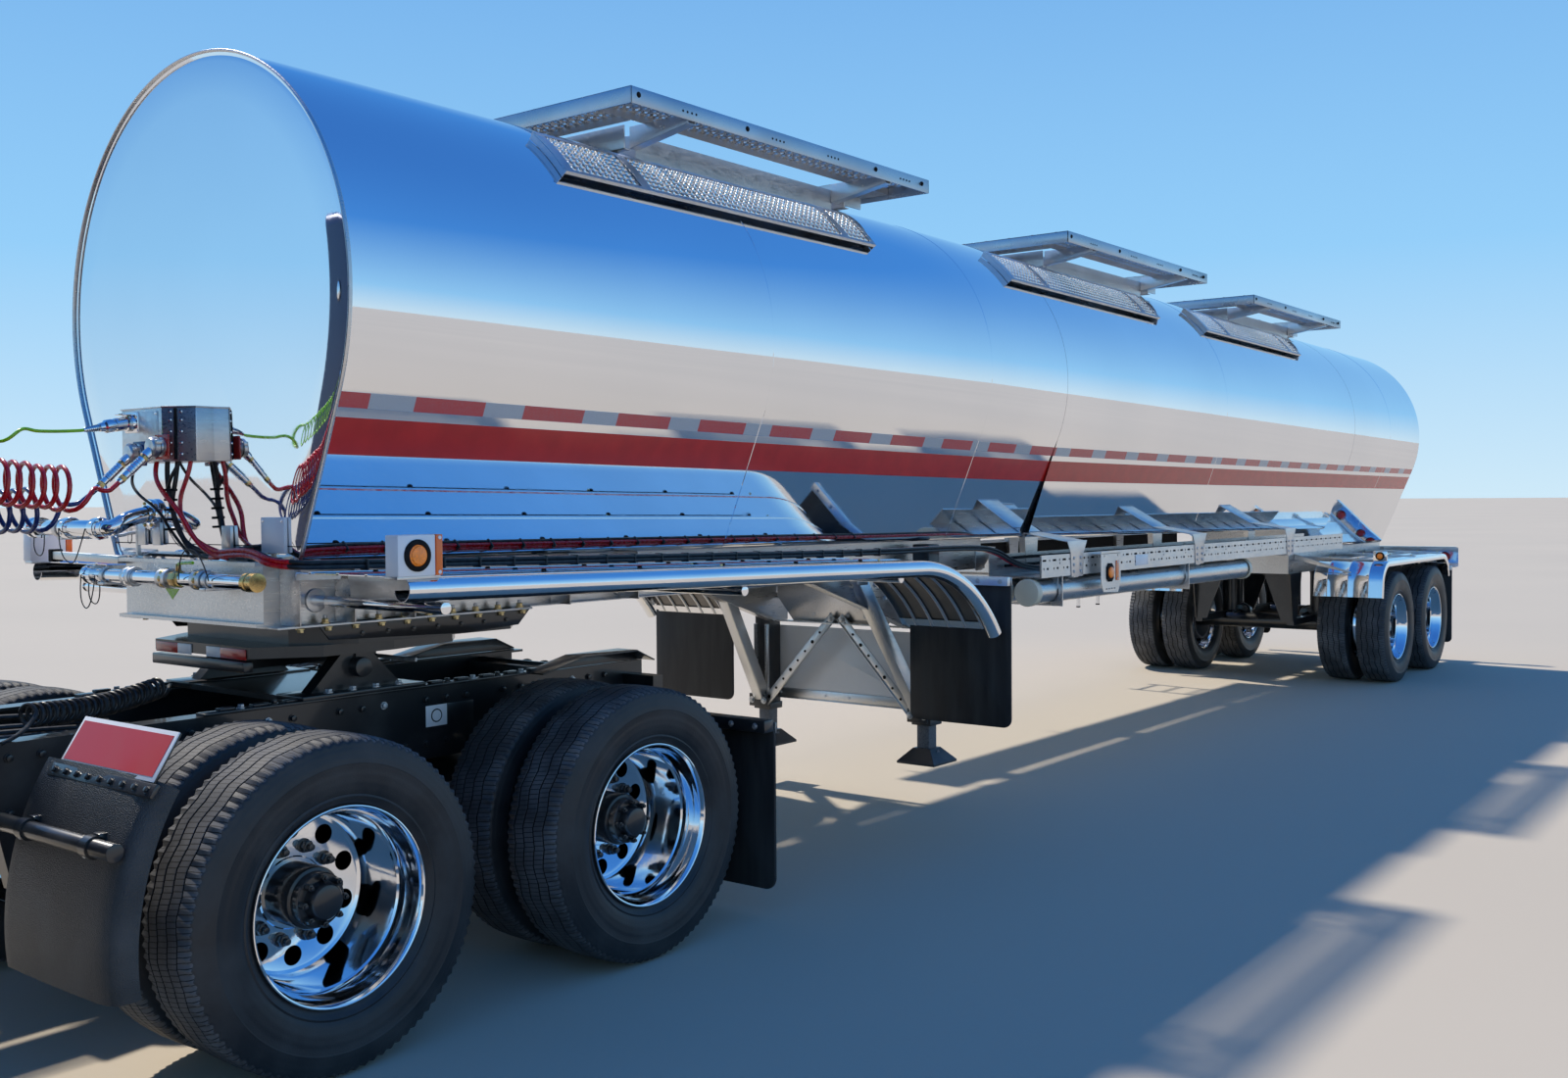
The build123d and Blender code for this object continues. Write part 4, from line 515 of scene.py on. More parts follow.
@cache
def orange_plastic():
    """Orange side reflector."""
    return paint_look("orange_plastic", (0.90, 0.16, 0.01), 0.25, 0.6, 0.05)


@cache
def red_reflector():
    """Red reflector and tape."""
    return paint_look("red_reflector", (0.55, 0.02, 0.015), 0.25, 0.6, 0.08)


def rubber_colour(look, base, dusty):
    """Rubber that has picked up pale dust."""
    dust = look.noise(7.0, 6.0).ramp(0.42, 0.78)
    return look.blend(dust, base, dusty), dust


@cache
def sidewall_rubber():
    """A tyre's side, with fine moulded rings."""
    look = Look("sidewall_rubber", Specular_IOR_Level=0.45)
    colour, dust = rubber_colour(look, (0.016, 0.017, 0.019, 1), (0.045, 0.044, 0.044, 1))
    _, reach = look.surface_parts()
    rings = (reach * 260.0).maths("SINE", reach * 260.0)
    look.feeds(
        Base_Color=colour,
        Roughness=dust.ramp(0.0, 1.0, 0.42, 0.62),
        Normal=look.bump(rings * 0.3 + look.noise(180.0, 3.0), 0.0004),
    )
    return look.material


@cache
def tread_rubber():
    """A tyre's tread, worn pale on the ribs, with fine cuts across them."""
    look = Look("tread_rubber", Specular_IOR_Level=0.35)
    colour, dust = rubber_colour(look, (0.055, 0.056, 0.060, 1), (0.16, 0.16, 0.165, 1))
    turn, reach = look.surface_parts()
    cuts = (turn + reach * 9.0).repeats(1.0)
    narrow = cuts.between(0.42, 0.58)
    look.feeds(
        Base_Color=look.blend(narrow, colour, (0.015, 0.015, 0.016, 1)),
        Roughness=dust.ramp(0.0, 1.0, 0.62, 0.85),
        Normal=look.bump(1 - narrow + look.noise(220.0, 3.0) * 0.4, 0.0012),
    )
    return look.material


@cache
def black_rubber_and_shade():
    """The dark rubber inside a tread's grooves; the same black also serves as painted shade in holes."""
    look = Look("black_rubber_and_shade", Specular_IOR_Level=0.2)
    grit = look.noise(60.0, 4.0)
    look.feeds(
        Base_Color=look.blend(grit.ramp(0.4, 0.8), (0.006, 0.006, 0.007, 1), (0.02, 0.02, 0.02, 1)),
        Roughness=grit.ramp(0.2, 0.8, 0.7, 0.9),
    )
    return look.material


@cache
def pebbled_plastic():
    """Black moulded plastic with a pebbled grain that catches the light."""
    look = Look("pebbled_plastic", Specular_IOR_Level=0.6)
    grain = look.cells(330.0)
    fine = look.noise(800.0, 2.0)
    dust = look.noise(6.0, 6.0).ramp(0.45, 0.8)
    look.feeds(
        Base_Color=look.blend(dust * 0.6, (0.022, 0.024, 0.026, 1), (0.085, 0.085, 0.085, 1)),
        Roughness=fine.ramp(0.3, 0.7, 0.3, 0.5),
        Normal=look.bump(grain + fine * 0.3, 0.0016),
    )
    return look.material


@cache
def flap_rubber():
    """Rubber mudflaps, faintly streaked."""
    look = Look("flap_rubber", Specular_IOR_Level=0.35)
    streaks = look.noise(14.0, 5.0, (1, 1, 0.15))
    look.feeds(
        Base_Color=look.blend(streaks.ramp(0.4, 0.75), (0.014, 0.014, 0.015, 1), (0.040, 0.039, 0.038, 1)),
        Roughness=streaks.ramp(0.2, 0.8, 0.42, 0.62),
        Normal=look.bump(look.noise(130.0, 3.0), 0.0004),
    )
    return look.material


@cache
def black_hose():
    """Ribbed black rubber hose."""
    look = Look("black_hose", Specular_IOR_Level=0.4)
    scuff = look.noise(40.0, 4.0)
    look.feeds(
        Base_Color=look.blend(scuff.ramp(0.4, 0.8), (0.012, 0.012, 0.013, 1), (0.05, 0.05, 0.05, 1)),
        Roughness=scuff.ramp(0.2, 0.8, 0.32, 0.55),
        Normal=look.bump(scuff, 0.0005),
    )
    return look.material


def line_look(name, colour):
    """Glossy coloured nylon tube with faint scuffs."""
    look = Look(name, Coat_Weight=0.5, Coat_Roughness=0.1, Subsurface_Weight=0.0)
    scuff = look.noise(70.0, 4.0)
    look.feeds(
        Base_Color=look.blend(scuff.ramp(0.45, 0.8), shade(colour), shade(colour, 0.7)),
        Roughness=scuff.ramp(0.2, 0.8, 0.18, 0.36),
        Normal=look.bump(scuff, 0.0002),
    )
    return look.material


@cache
def red_line():
    """The supply line's red tube."""
    return line_look("red_line", colours().red_line)


@cache
def blue_line():
    """The service line's blue tube."""
    return line_look("blue_line", colours().blue_line)


@cache
def green_line():
    """The electric line's yellow-green jacket."""
    return line_look("green_line", colours().green_line)


def lens_look(name, colour, glow):
    """A moulded lens with rows of small prisms."""
    look = Look(name, Coat_Weight=0.8, Coat_Roughness=0.05, Emission_Strength=glow)
    prisms = look.cells(260.0)
    look.feeds(
        Base_Color=look.blend(prisms.ramp(0.1, 0.6), shade(colour, 1.2), shade(colour, 0.6)),
        Emission_Color=look.blend(prisms.ramp(0.1, 0.6), shade(colour), shade(colour, 0.3)),
        Roughness=prisms.ramp(0.0, 0.6, 0.12, 0.3),
        Normal=look.bump(prisms, 0.0012),
    )
    return look.material


@cache
def amber_lens():
    """Amber lamp lens."""
    return lens_look("amber_lens", (0.95, 0.25, 0.01), 0.35)


@cache
def red_lens():
    """Red lamp lens."""
    return lens_look("red_lens", (0.6, 0.01, 0.01), 0.1)


@cache
def clear_lens():
    """Clear headlamp lens."""
    return lens_look("clear_lens", (0.75, 0.78, 0.82), 0.05)


@cache
def window_glass():
    """Tinted glass with a trace of dust."""
    look = Look("window_glass", Transmission_Weight=0.85, IOR=1.45)
    dust = look.noise(4.0, 5.0)
    look.feeds(
        Base_Color=look.blend(dust.ramp(0.3, 0.8), (0.30, 0.36, 0.38, 1), (0.38, 0.44, 0.45, 1)),
        Roughness=dust.ramp(0.4, 0.8, 0.01, 0.05),
        Normal=look.bump(dust, 0.0001),
    )
    return look.material


@cache
def seat_cloth():
    """Woven seat cloth."""
    look = Look("seat_cloth", Sheen_Weight=0.3)
    x, y, z = look.object_parts()
    weave = (x * 900.0).maths("SINE", x * 900.0) * (z * 900.0).maths("SINE", (z + y) * 900.0)
    fluff = look.noise(300.0, 3.0)
    look.feeds(
        Base_Color=look.blend(weave.ramp(-0.6, 0.8), (0.045, 0.047, 0.052, 1), (0.11, 0.115, 0.125, 1)),
        Roughness=fluff.ramp(0.2, 0.8, 0.75, 0.95),
        Normal=look.bump(weave * 0.5 + fluff, 0.0006),
    )
    return look.material


@cache
def dash_plastic():
    """Grained dashboard plastic."""
    look = Look("dash_plastic")
    grain = look.cells(420.0)
    look.feeds(
        Base_Color=look.blend(grain.ramp(0.1, 0.6), (0.055, 0.055, 0.06, 1), (0.085, 0.085, 0.09, 1)),
        Roughness=grain.ramp(0.1, 0.7, 0.5, 0.7),
        Normal=look.bump(grain, 0.0006),
    )
    return look.material


@cache
def cast_iron():
    """Painted iron casting."""
    look = Look("cast_iron", Metallic=0.3)
    skin = look.noise(120.0, 4.0)
    look.feeds(
        Base_Color=look.blend(skin.ramp(0.35, 0.7), (0.10, 0.10, 0.11, 1), (0.18, 0.18, 0.19, 1)),
        Roughness=skin.ramp(0.2, 0.8, 0.5, 0.75),
        Normal=look.bump(skin, 0.001),
    )
    return look.material


# Shapes


def block(low, high, bevel=0.0, segments=2):
    """A block between two corners."""
    shape = bmesh.new()
    low, high = Vector(low), Vector(high)
    size = Vector([abs(part) for part in high - low])
    bmesh.ops.create_cube(shape, size=1.0)
    bmesh.ops.scale(shape, vec=size, verts=shape.verts)
    bmesh.ops.translate(shape, vec=(low + high) / 2, verts=shape.verts)
    if bevel:
        bmesh.ops.bevel(
            shape, geom=shape.edges[:], offset=min(bevel, min(size) * 0.45), segments=segments,
            profile=0.5, affect="EDGES", material=-1,
        )
    return shape


def rod(start, end, radius, sides=24, bevel=0.0, end_radius=None):
    """A round bar, cone or, with few sides, a nut, from one point to another."""
    start, end = Vector(start), Vector(end)
    run = end - start
    shape = bmesh.new()
    bmesh.ops.create_cone(
        shape, cap_ends=True, segments=sides, radius1=radius,
        radius2=radius if end_radius is None else end_radius, depth=run.length,
    )
    if bevel:
        rims = [edge for edge in shape.edges if abs(edge.verts[0].co.z - edge.verts[1].co.z) < 1e-6]
        bmesh.ops.bevel(
            shape, geom=rims, offset=bevel, segments=2, profile=0.5, affect="EDGES", material=-1,
        )
    turn = run.to_track_quat("Z", "Y").to_matrix().to_4x4()
    bmesh.ops.transform(shape, matrix=Matrix.Translation((start + end) / 2) @ turn, verts=shape.verts)
    return shape


def ball(centre, radius, sides=16):
    """A small ball."""
    shape = bmesh.new()
    bmesh.ops.create_uvsphere(shape, u_segments=sides, v_segments=sides // 2, radius=radius)
    bmesh.ops.translate(shape, vec=centre, verts=shape.verts)
    return shape


def turned(profile, centre, axis, steps=48, closed=False):
    """A profile of offset along the axis and radius, turned right round."""
    shape = bmesh.new()
    corners = [shape.verts.new((radius, 0, offset)) for offset, radius in profile]
    pairs = list(zip(corners, corners[1:]))
    if closed:
        pairs.append((corners[-1], corners[0]))
    for pair in pairs:
        shape.edges.new(pair)
    bmesh.ops.spin(
        shape, geom=shape.verts[:] + shape.edges[:], cent=(0, 0, 0), axis=(0, 0, 1), dvec=(0, 0, 0),
        angle=2 * pi, steps=steps, use_merge=True, use_duplicate=False,
    )
    bmesh.ops.remove_doubles(shape, verts=shape.verts[:], dist=1e-6)
    turn = Vector(axis).to_track_quat("Z", "Y").to_matrix().to_4x4()
    bmesh.ops.transform(shape, matrix=Matrix.Translation(centre) @ turn, verts=shape.verts)
    return shape


def plate(outline, plane, start, end, bevel=0.0, segments=2):
    """A flat outline pushed along an axis; plane names the outline's two axes and then that axis."""
    shape = bmesh.new()
    order = ["xyz".index(axis) for axis in plane]
    corners = []
    for across, along in outline:
        place = [0.0, 0.0, 0.0]
        place[order[0]], place[order[1]], place[order[2]] = across, along, start
        corners.append(shape.verts.new(place))
    face = shape.faces.new(corners)
    pushed = bmesh.ops.extrude_face_region(shape, geom=[face])
    push = [0.0, 0.0, 0.0]
    push[order[2]] = end - start
    moved = [item for item in pushed["geom"] if isinstance(item, bmesh.types.BMVert)]
    bmesh.ops.translate(shape, vec=push, verts=moved)
    if bevel:
        bmesh.ops.bevel(
            shape, geom=shape.edges[:], offset=bevel, segments=segments, profile=0.5,
            affect="EDGES", material=-1,
        )
    return shape


def pipe(points, radius, sides=12, smooth=True, cap=True):
    """A tube that follows points; smooth ones round its corners."""
    curve = bpy.data.curves.new("pipe", "CURVE")
    curve.dimensions = "3D"
    curve.bevel_depth = radius
    curve.bevel_resolution = max(1, sides // 4)
    curve.use_fill_caps = cap
    curve.resolution_u = 8
    line = curve.splines.new("NURBS" if smooth else "POLY")
    line.points.add(len(points) - 1)
    for point, place in zip(line.points, points):
        point.co = (*place, 1.0)
    if smooth:
        line.order_u = 3
        line.use_endpoint_u = True
    holder = bpy.data.objects.new("pipe", curve)
    mesh = bpy.data.meshes.new_from_object(holder)
    shape = bmesh.new()
    shape.from_mesh(mesh)
    bmesh.ops.remove_doubles(shape, verts=shape.verts[:], dist=1e-6)
    bpy.data.objects.remove(holder)
    bpy.data.curves.remove(curve)
    bpy.data.meshes.remove(mesh)
    return shape


def bolt(place, facing, radius=0.012, height=0.010):
    """A hexagon head on a washer."""
    place, facing = Vector(place), Vector(facing).normalized()
    shape = rod(place, place + facing * height * 0.25, radius * 1.35, 16)
    join(shape, rod(place + facing * height * 0.2, place + facing * height, radius, 6, radius * 0.1))
    return shape


def loft(rows, closed=False):
    """A skin over rows of points, each an open line or a ring."""
    shape = bmesh.new()
    made = [[shape.verts.new(point) for point in row] for row in rows]
    for row, following in zip(made, made[1:]):
        edges = []
        for line in (row, following):
            pairs = list(zip(line, line[1:])) + ([(line[-1], line[0])] if closed else [])
            edges += [shape.edges.get(pair) or shape.edges.new(pair) for pair in pairs]
        bmesh.ops.bridge_loops(shape, edges=edges)
    return shape


def join(shape, *others):
    """Adds other shapes to one."""
    for other in others:
        mesh = bpy.data.meshes.new("part")
        other.to_mesh(mesh)
        other.free()
        shape.from_mesh(mesh)
        bpy.data.meshes.remove(mesh)
    return shape


def moved(vector):
    """A shift as a matrix."""
    return Matrix.Translation(vector)


def about(place, axis, angle):
    """A turn about an axis through a place."""
    return Matrix.Translation(place) @ Matrix.Rotation(angle, 4, axis) @ Matrix.Translation(-Vector(place))


MIRROR = Matrix.Scale(-1, 4, LEFT)


class Piece:
    """One object under construction, with its finishes in order."""

    def __init__(self, name, *finishes):
        self.name = name
        self.finishes = finishes
        self.mesh = bmesh.new()

    def add(self, shape, finish=0, copies=(), flat=False, outward=True):
        """Adds a shape, or copies of it at given places, in one of the finishes."""
        if outward:
            bmesh.ops.recalc_face_normals(shape, faces=shape.faces[:])
        for face in shape.faces:
            face.material_index = finish
            face.smooth = not flat
        mesh = bpy.data.meshes.new("part")
        shape.to_mesh(mesh)
        shape.free()
        for place in copies or (Matrix(),):
            copy = mesh.copy()
            copy.transform(place)
            if place.determinant() < 0:
                copy.flip_normals()
            self.mesh.from_mesh(copy)
            bpy.data.meshes.remove(copy)
        bpy.data.meshes.remove(mesh)

    def done(self, body, slot, *replaced, crease=35):
        """Makes the object, gives it its finishes and lets it ride on its body."""
        mesh = bpy.data.meshes.new(self.name)
        self.mesh.to_mesh(mesh)
        self.mesh.free()
        for finish in self.finishes:
            mesh.materials.append(finish)
        mesh.set_sharp_from_angle(angle=radians(crease))
        piece = bpy.data.objects.new(self.name, mesh)
        bpy.context.scene.collection.objects.link(piece)
        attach(piece, body)
        if replaced:
            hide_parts(*replaced)
        return piece


def both_sides():
    """The two places of a shape that stands on each side."""
    return (Matrix(), MIRROR)


def give_finish(node, material):
    """Gives a CAD node its finish."""
    node_object = frame["nodes"][node]
    node_object.data.materials.clear()
    node_object.data.materials.append(material)


# Stage: floor, light and camera

CAMERA_PLACE = Vector((4.83690, -6.13988, 1.70005))
CAMERA_AZIMUTH = radians(37.7103)
CAMERA_ELEVATION = radians(1.5487)
CAMERA_ROLL = radians(-0.3873)
CAMERA_LENS = 33.247
SENSOR = 36.0
FLOOR_HALF = 900.0
SUN_AZIMUTH = radians(-97)
SUN_ELEVATION = radians(52)


def camera_turn():
    """The camera's axes as the columns of a matrix."""
    back = Vector((
        sin(CAMERA_AZIMUTH) * cos(CAMERA_ELEVATION), -cos(CAMERA_AZIMUTH) * cos(CAMERA_ELEVATION),
        sin(CAMERA_ELEVATION),
    ))
    right = (-back).cross(UP).normalized()
    up = right.cross(-back)
    rolled_right = right * cos(CAMERA_ROLL) + up * sin(CAMERA_ROLL)
    rolled_up = up * cos(CAMERA_ROLL) - right * sin(CAMERA_ROLL)
    return Matrix((rolled_right, rolled_up, back)).transposed().to_4x4()


def make_camera():
    """The camera at the photograph's place."""
    lens = bpy.data.cameras.new("camera")
    lens.sensor_width = SENSOR
    lens.lens = CAMERA_LENS
    lens.clip_end = 3000.0
    holder = bpy.data.objects.new("camera", lens)
    holder.matrix_world = Matrix.Translation(CAMERA_PLACE) @ camera_turn()
    bpy.context.scene.collection.objects.link(holder)
    bpy.context.scene.camera = holder


def make_light():
    """A soft sun from the vehicle's right and a pale horizon under a blue overhead."""
    bpy.context.scene.view_settings.view_transform = "Standard"
    lamp = bpy.data.lights.new("sun", "SUN")
    lamp.energy = 4.3
    lamp.angle = radians(2.5)
    lamp.color = (1.0, 0.93, 0.82)
    holder = bpy.data.objects.new("sun", lamp)
    towards = Vector((
        sin(SUN_AZIMUTH) * cos(SUN_ELEVATION), -cos(SUN_AZIMUTH) * cos(SUN_ELEVATION), sin(SUN_ELEVATION),
    ))
    holder.rotation_euler = towards.to_track_quat("Z", "Y").to_euler()
    bpy.context.scene.collection.objects.link(holder)
    world = bpy.data.worlds.new("studio")
    bpy.context.scene.world = world
    world.use_nodes = True
    nodes, links = world.node_tree.nodes, world.node_tree.links
    facing = nodes.new("ShaderNodeTexCoord")
    split = nodes.new("ShaderNodeSeparateXYZ")
    links.new(facing.outputs["Generated"], split.inputs[0])
    ramp = nodes.new("ShaderNodeValToRGB")
    links.new(split.outputs[2], ramp.inputs[0])
    stops = ((0.0, (0.62, 0.82, 0.95)), (0.16, (0.30, 0.62, 0.95)), (0.55, tuple(colours().sky)), (1.0, (0.03, 0.14,
        0.5)))
    while len(ramp.color_ramp.elements) < len(stops):
        ramp.color_ramp.elements.new(1.0)
    for element, (place, colour) in zip(ramp.color_ramp.elements, stops):
        element.position = place
        element.color = (*colour, 1)
    links.new(ramp.outputs[0], nodes["Background"].inputs[0])
    nodes["Background"].inputs[1].default_value = 1.0


def make_floor():
    """A plain pale floor."""
    look = Look("floor", Specular_IOR_Level=0.2)
    tone = look.noise(0.15, 3.0)
    pale = colours().floor
    look.feeds(
        Base_Color=look.blend(tone.ramp(0.3, 0.7), shade(pale, 0.96), shade(pale, 1.02)),
        Roughness=tone.ramp(0.3, 0.7, 0.85, 0.95),
    )
    shape = bmesh.new()
    bmesh.ops.create_grid(shape, x_segments=1, y_segments=1, size=FLOOR_HALF)
    mesh = bpy.data.meshes.new("floor")
    shape.to_mesh(mesh)
    shape.free()
    mesh.materials.append(look.material)
    floor = bpy.data.objects.new("floor", mesh)
    bpy.context.scene.collection.objects.link(floor)


class TANKER_OT_stage(bpy.types.Operator):
    """Makes the floor, the light and the camera"""

    bl_idname = "tanker.stage"
    bl_label = "Stage"
    bl_options = {"REGISTER", "UNDO"}

    def execute(self, context):
        make_floor()
        make_light()
        make_camera()
        return {"FINISHED"}


# Barrel: round above, with straight sides that draw in to a flat foot

ARC_STEPS = 144
SIDE_STEPS = 6
FOOT_STEPS = 6
FOOT_ROUND = 0.035
DRAW_IN = 0.411


def jacket_ring(y, bottom, draw_in=DRAW_IN, proud=0.0, centre_z=None):
    """The jacket's outline at a station, as a ring that starts at its right side's knee."""
    centre = barrel_z(y) if centre_z is None else centre_z
    radius = TANK_R + proud
    ring = []
    for step in range(ARC_STEPS + 1):
        angle = SIDE_ANGLE * (2 * step / ARC_STEPS - 1)
        ring.append((radius * sin(angle), y, centre + radius * cos(angle)))
    knee_x, _, knee_z = ring[-1]
    foot_x = knee_x - draw_in * (knee_z - bottom)
    side = [(knee_x + (foot_x - knee_x) * step / SIDE_STEPS, knee_z + (bottom - knee_z) * step / SIDE_STEPS)
            for step in range(1, SIDE_STEPS)]
    reach = Vector((knee_x - foot_x, knee_z - bottom)).normalized() * FOOT_ROUND
    for step in range(5):
        share = step / 4
        start, end = Vector((foot_x, bottom)) + reach, Vector((foot_x - FOOT_ROUND, bottom))
        side.append(tuple(start * (1 - share) ** 2 + Vector((foot_x,
            bottom)) * 2 * share * (1 - share) + end * share**2))
    for step in range(1, FOOT_STEPS):
        side.append(((foot_x - FOOT_ROUND) * (1 - step / FOOT_STEPS), bottom))
    ring += [(x, y, z) for x, z in side]
    ring.append((0.0, y, bottom))
    ring += [(-x, y, z) for x, z in reversed(side)]
    return ring


def shrunk(ring, share, y, centre):
    """A ring drawn in towards a centre height, at another station."""
    return [(x * share, y, centre + (z - centre) * share) for x, _, z in ring]


def closed_end(rows):
    """A skin over rings whose last one is filled."""
    shape = loft(rows, closed=True)
    last = set(list(shape.verts)[-len(rows[-1]):])
    rim = [edge for edge in shape.edges if edge.is_boundary and last.issuperset(edge.verts)]
    bmesh.ops.holes_fill(shape, edges=rim, sides=0)
    return shape


class TANKER_OT_barrel(bpy.types.Operator):
    """Makes the polished jacket with its heads, rims, lips, belly covers and seams"""

    bl_idname = "tanker.barrel"
    bl_label = "Barrel"
    bl_options = {"REGISTER", "UNDO"}

    def execute(self, context):
        barrel = Piece("barrel", striped_sheet(), polished_sheet(), satin_steel(), black_rubber_and_shade())
        knee = TANK_Y + LEVEL_LENGTH
        middle, rear = (start for start, _ in BELLIES)
        front = [jacket_ring(TANK_Y + 0.006, 1.492)]
        front += [jacket_ring(y, 1.492 - 0.006 * (y - TANK_Y)) for y in (-1.6, knee - 0.01, knee, 1.2, middle + 0.03)]
        barrel.add(loft(front, closed=True))
        spread = 0.352
        second = [jacket_ring(y, 1.462 - 0.0115 * (y - middle), spread, 0.0006) for y in (middle, 3.6, 5.5,
            rear + 0.02)]
        barrel.add(loft(second, closed=True))
        lip = [jacket_ring(middle + 0.10, 1.48, DRAW_IN, -0.001), jacket_ring(middle + 0.004, 1.464, spread + 0.004,
            -0.0004),
               jacket_ring(middle, 1.462, spread, 0.0006)]
        barrel.add(loft(lip, closed=True), 2)
        third = [jacket_ring(y, 1.216, DRAW_IN, 0.0012) for y in (rear, 8.5, TANK_END_Y - 0.05)]
        barrel.add(loft(third, closed=True))
        scoop = [jacket_ring(rear - 0.50, 1.420, spread + 0.01, -0.003), jacket_ring(rear - 0.32, 1.372, spread + 0.03,
            -0.003),
                 jacket_ring(rear - 0.12, 1.280, DRAW_IN, -0.003), jacket_ring(rear - 0.006, 1.218, DRAW_IN, 0.0006),
                 jacket_ring(rear + 0.002, 1.216, DRAW_IN, 0.0014)]
        barrel.add(loft(scoop, closed=True), 2)
        outline = jacket_ring(TANK_Y, 1.492, proud=-0.002)
        centre = TANK_Z - 0.06
        crown = ((1.0, 0.006), (0.984, 0.010), (0.965, 0.006), (0.84, 0.003), (0.62, -0.001), (0.35, -0.004), (0.12,
            -0.005))
        barrel.add(closed_end([shrunk(outline, share, TANK_Y + shift, centre) for share, shift in crown]), 1)
        rim = []
        for step in range(10):
            angle = 2 * pi * step / 10
            rim.append(jacket_ring(TANK_Y + 0.004 + 0.008 * cos(angle), 1.492 - 0.006 * sin(angle),
                proud=0.0055 * sin(angle) - 0.001))
        barrel.add(loft(rim + rim[:1], closed=True), 2)
        barrel.add(block((-0.61, TANK_Y + 0.0035, 1.5525), (0.61, TANK_Y + 0.0062, 1.5555)), 3)
        tail = jacket_ring(TANK_END_Y, 1.216, proud=0.0012)
        tail_centre = barrel_z(TANK_END_Y) - 0.08
        fall = ((1.0, -0.05), (0.994, -0.03), (0.968, -0.012), (0.87, -0.004), (0.6, 0.0), (0.3, 0.0), (0.1, 0.0))
        barrel.add(closed_end([shrunk(tail, share, TANK_END_Y + shift, tail_centre) for share, shift in fall]), 1)
        for seam in (TANK_Y + 2.2, knee, TANK_Y + 7.6, TANK_END_Y - 1.1):
            bead = ((-0.0035, -0.0004), (0, 0.0010), (0.0035, -0.0004))
            proud = 0.0002 if seam < middle else (0.0008 if seam < rear else 0.0014)
            bottom = 1.492 - 0.006 * (seam - TANK_Y) if seam < middle else (1.462 - 0.0115 * (seam - middle)
                if seam < rear else 1.216)
            draw = DRAW_IN if seam < middle or seam > rear else spread
            barrel.add(loft([jacket_ring(seam + offset, bottom - rise, draw, proud + rise) for offset, rise in bead],
                closed=True), 1)
        barrel.done("trailer", "tank", "tank_shell", crease=20)
        return {"FINISHED"}


# Tyres and wheels

GROOVES = (-0.072, -0.025, 0.025, 0.072)
TREAD_HALF = 0.112
SHOULDER = 0.124
ZIGZAG = 0.0028
LUG_CUT = 0.009


def tyre_profile(size):
    """Section of one tyre from its inner bead to its outer one, each point with its finish."""
    half_groove = size.groove_width / 2
    crown = 0.005
    side = [
        (0.102, 0.290, 0), (0.106, 0.304, 0), (0.118, 0.318, 0), (0.1235, 0.326, 0), (0.1215, 0.332, 0),
        (0.1290, 0.345, 0), (0.1355, 0.372, 0), (0.1385, 0.398, 0), (0.1380, 0.420, 0), (0.1400, 0.426, 0),
        (0.1385, 0.434, 0), (0.1345, 0.452, 0), (0.1300, 0.466, 0), (SHOULDER + 0.003, 0.479, 0),
        (SHOULDER + 0.001, 0.486, 0), (SHOULDER - 0.003, 0.494, 1), (TREAD_HALF, 0.501, 1),
    ]
    points = [(-offset, radius, finish) for offset, radius, finish in side]
    for groove in GROOVES:
        top = TYRE_R - crown * (groove / TREAD_HALF) ** 2
        points += [
            (groove - half_groove - 0.0012, top, 1), (groove - half_groove, top - 0.001, 2),
            (groove - half_groove * 0.6, top - size.groove_depth, 2),
            (groove + half_groove * 0.6, top - size.groove_depth, 2),
            (groove + half_groove, top - 0.001, 2), (groove + half_groove + 0.0012, top, 1),
        ]
    points += [(offset, radius, finish) for offset, radius, finish in reversed(side)]
    return points


def tyre_shape(size):
    """One tyre about the Z axis, cut at its shoulders and along its wavy grooves."""
    points = tyre_profile(size)
    steps = size.tyre_steps
    shape = turned([(offset, radius) for offset, radius, finish in points], (0, 0, 0), UP, steps)
    surface = shape.loops.layers.uv.new("surface")
    finish_at = {round(offset, 5): finish for offset, radius, finish in points}
    reach, lengths = 0.0, {}
    for (offset, radius, _), following in zip(points, points[1:] + points[-1:]):
        lengths[round(offset, 5), round(radius, 5)] = reach
        reach += sqrt((following[0] - offset) ** 2 + (following[1] - radius) ** 2)
    for face in shape.faces:
        angles = [atan2(loop.vert.co.y, loop.vert.co.x) / (2 * pi) * steps for loop in face.loops]
        high = max(angles)
        for loop, angle in zip(face.loops, angles):
            if high - angle > steps / 2:
                angle += steps
            radius = sqrt(loop.vert.co.x**2 + loop.vert.co.y**2)
            loop[surface].uv = (angle, lengths.get((round(loop.vert.co.z, 5), round(radius, 5)), 0.0))
        finishes = [finish_at.get(round(vert.co.z, 5), 0) for vert in face.verts]
        face.material_index = 2 if min(finishes) == 2 else (1 if min(finishes) >= 1 else 0)
    for vert in shape.verts:
        step = round(atan2(vert.co.y, vert.co.x) / (2 * pi) * steps)
        radius = sqrt(vert.co.x**2 + vert.co.y**2)
        for groove in GROOVES:
            if abs(vert.co.z - groove) < size.groove_width and radius > 0.47:
                vert.co.z += ZIGZAG * (abs(step % 8 - 4) - 2)
                break
        if abs(vert.co.z) > TREAD_HALF - 0.001 and radius > 0.475 and step % 2:
            share = (radius - LUG_CUT) / radius
            vert.co.x *= share
            vert.co.y *= share
    return shape


def axle_place(side, x, y):
    """A wheel's centre with local Z outward along the axle."""
    turn = Matrix.Rotation(side * pi / 2, 4, "Y")
    return Matrix.Translation((side * x, y, TYRE_R)) @ turn


RIM_STEPS = 80
RIM_EDGE = 0.116
HAND_HOLES = 10
HAND_HOLE_R = 0.031
HAND_CIRCLE_R = 0.196
STUD_CIRCLE_R = 0.143
DISC_IN_R = 0.112
DISC_OUT_R = 0.236
DISC_WALL = 0.020


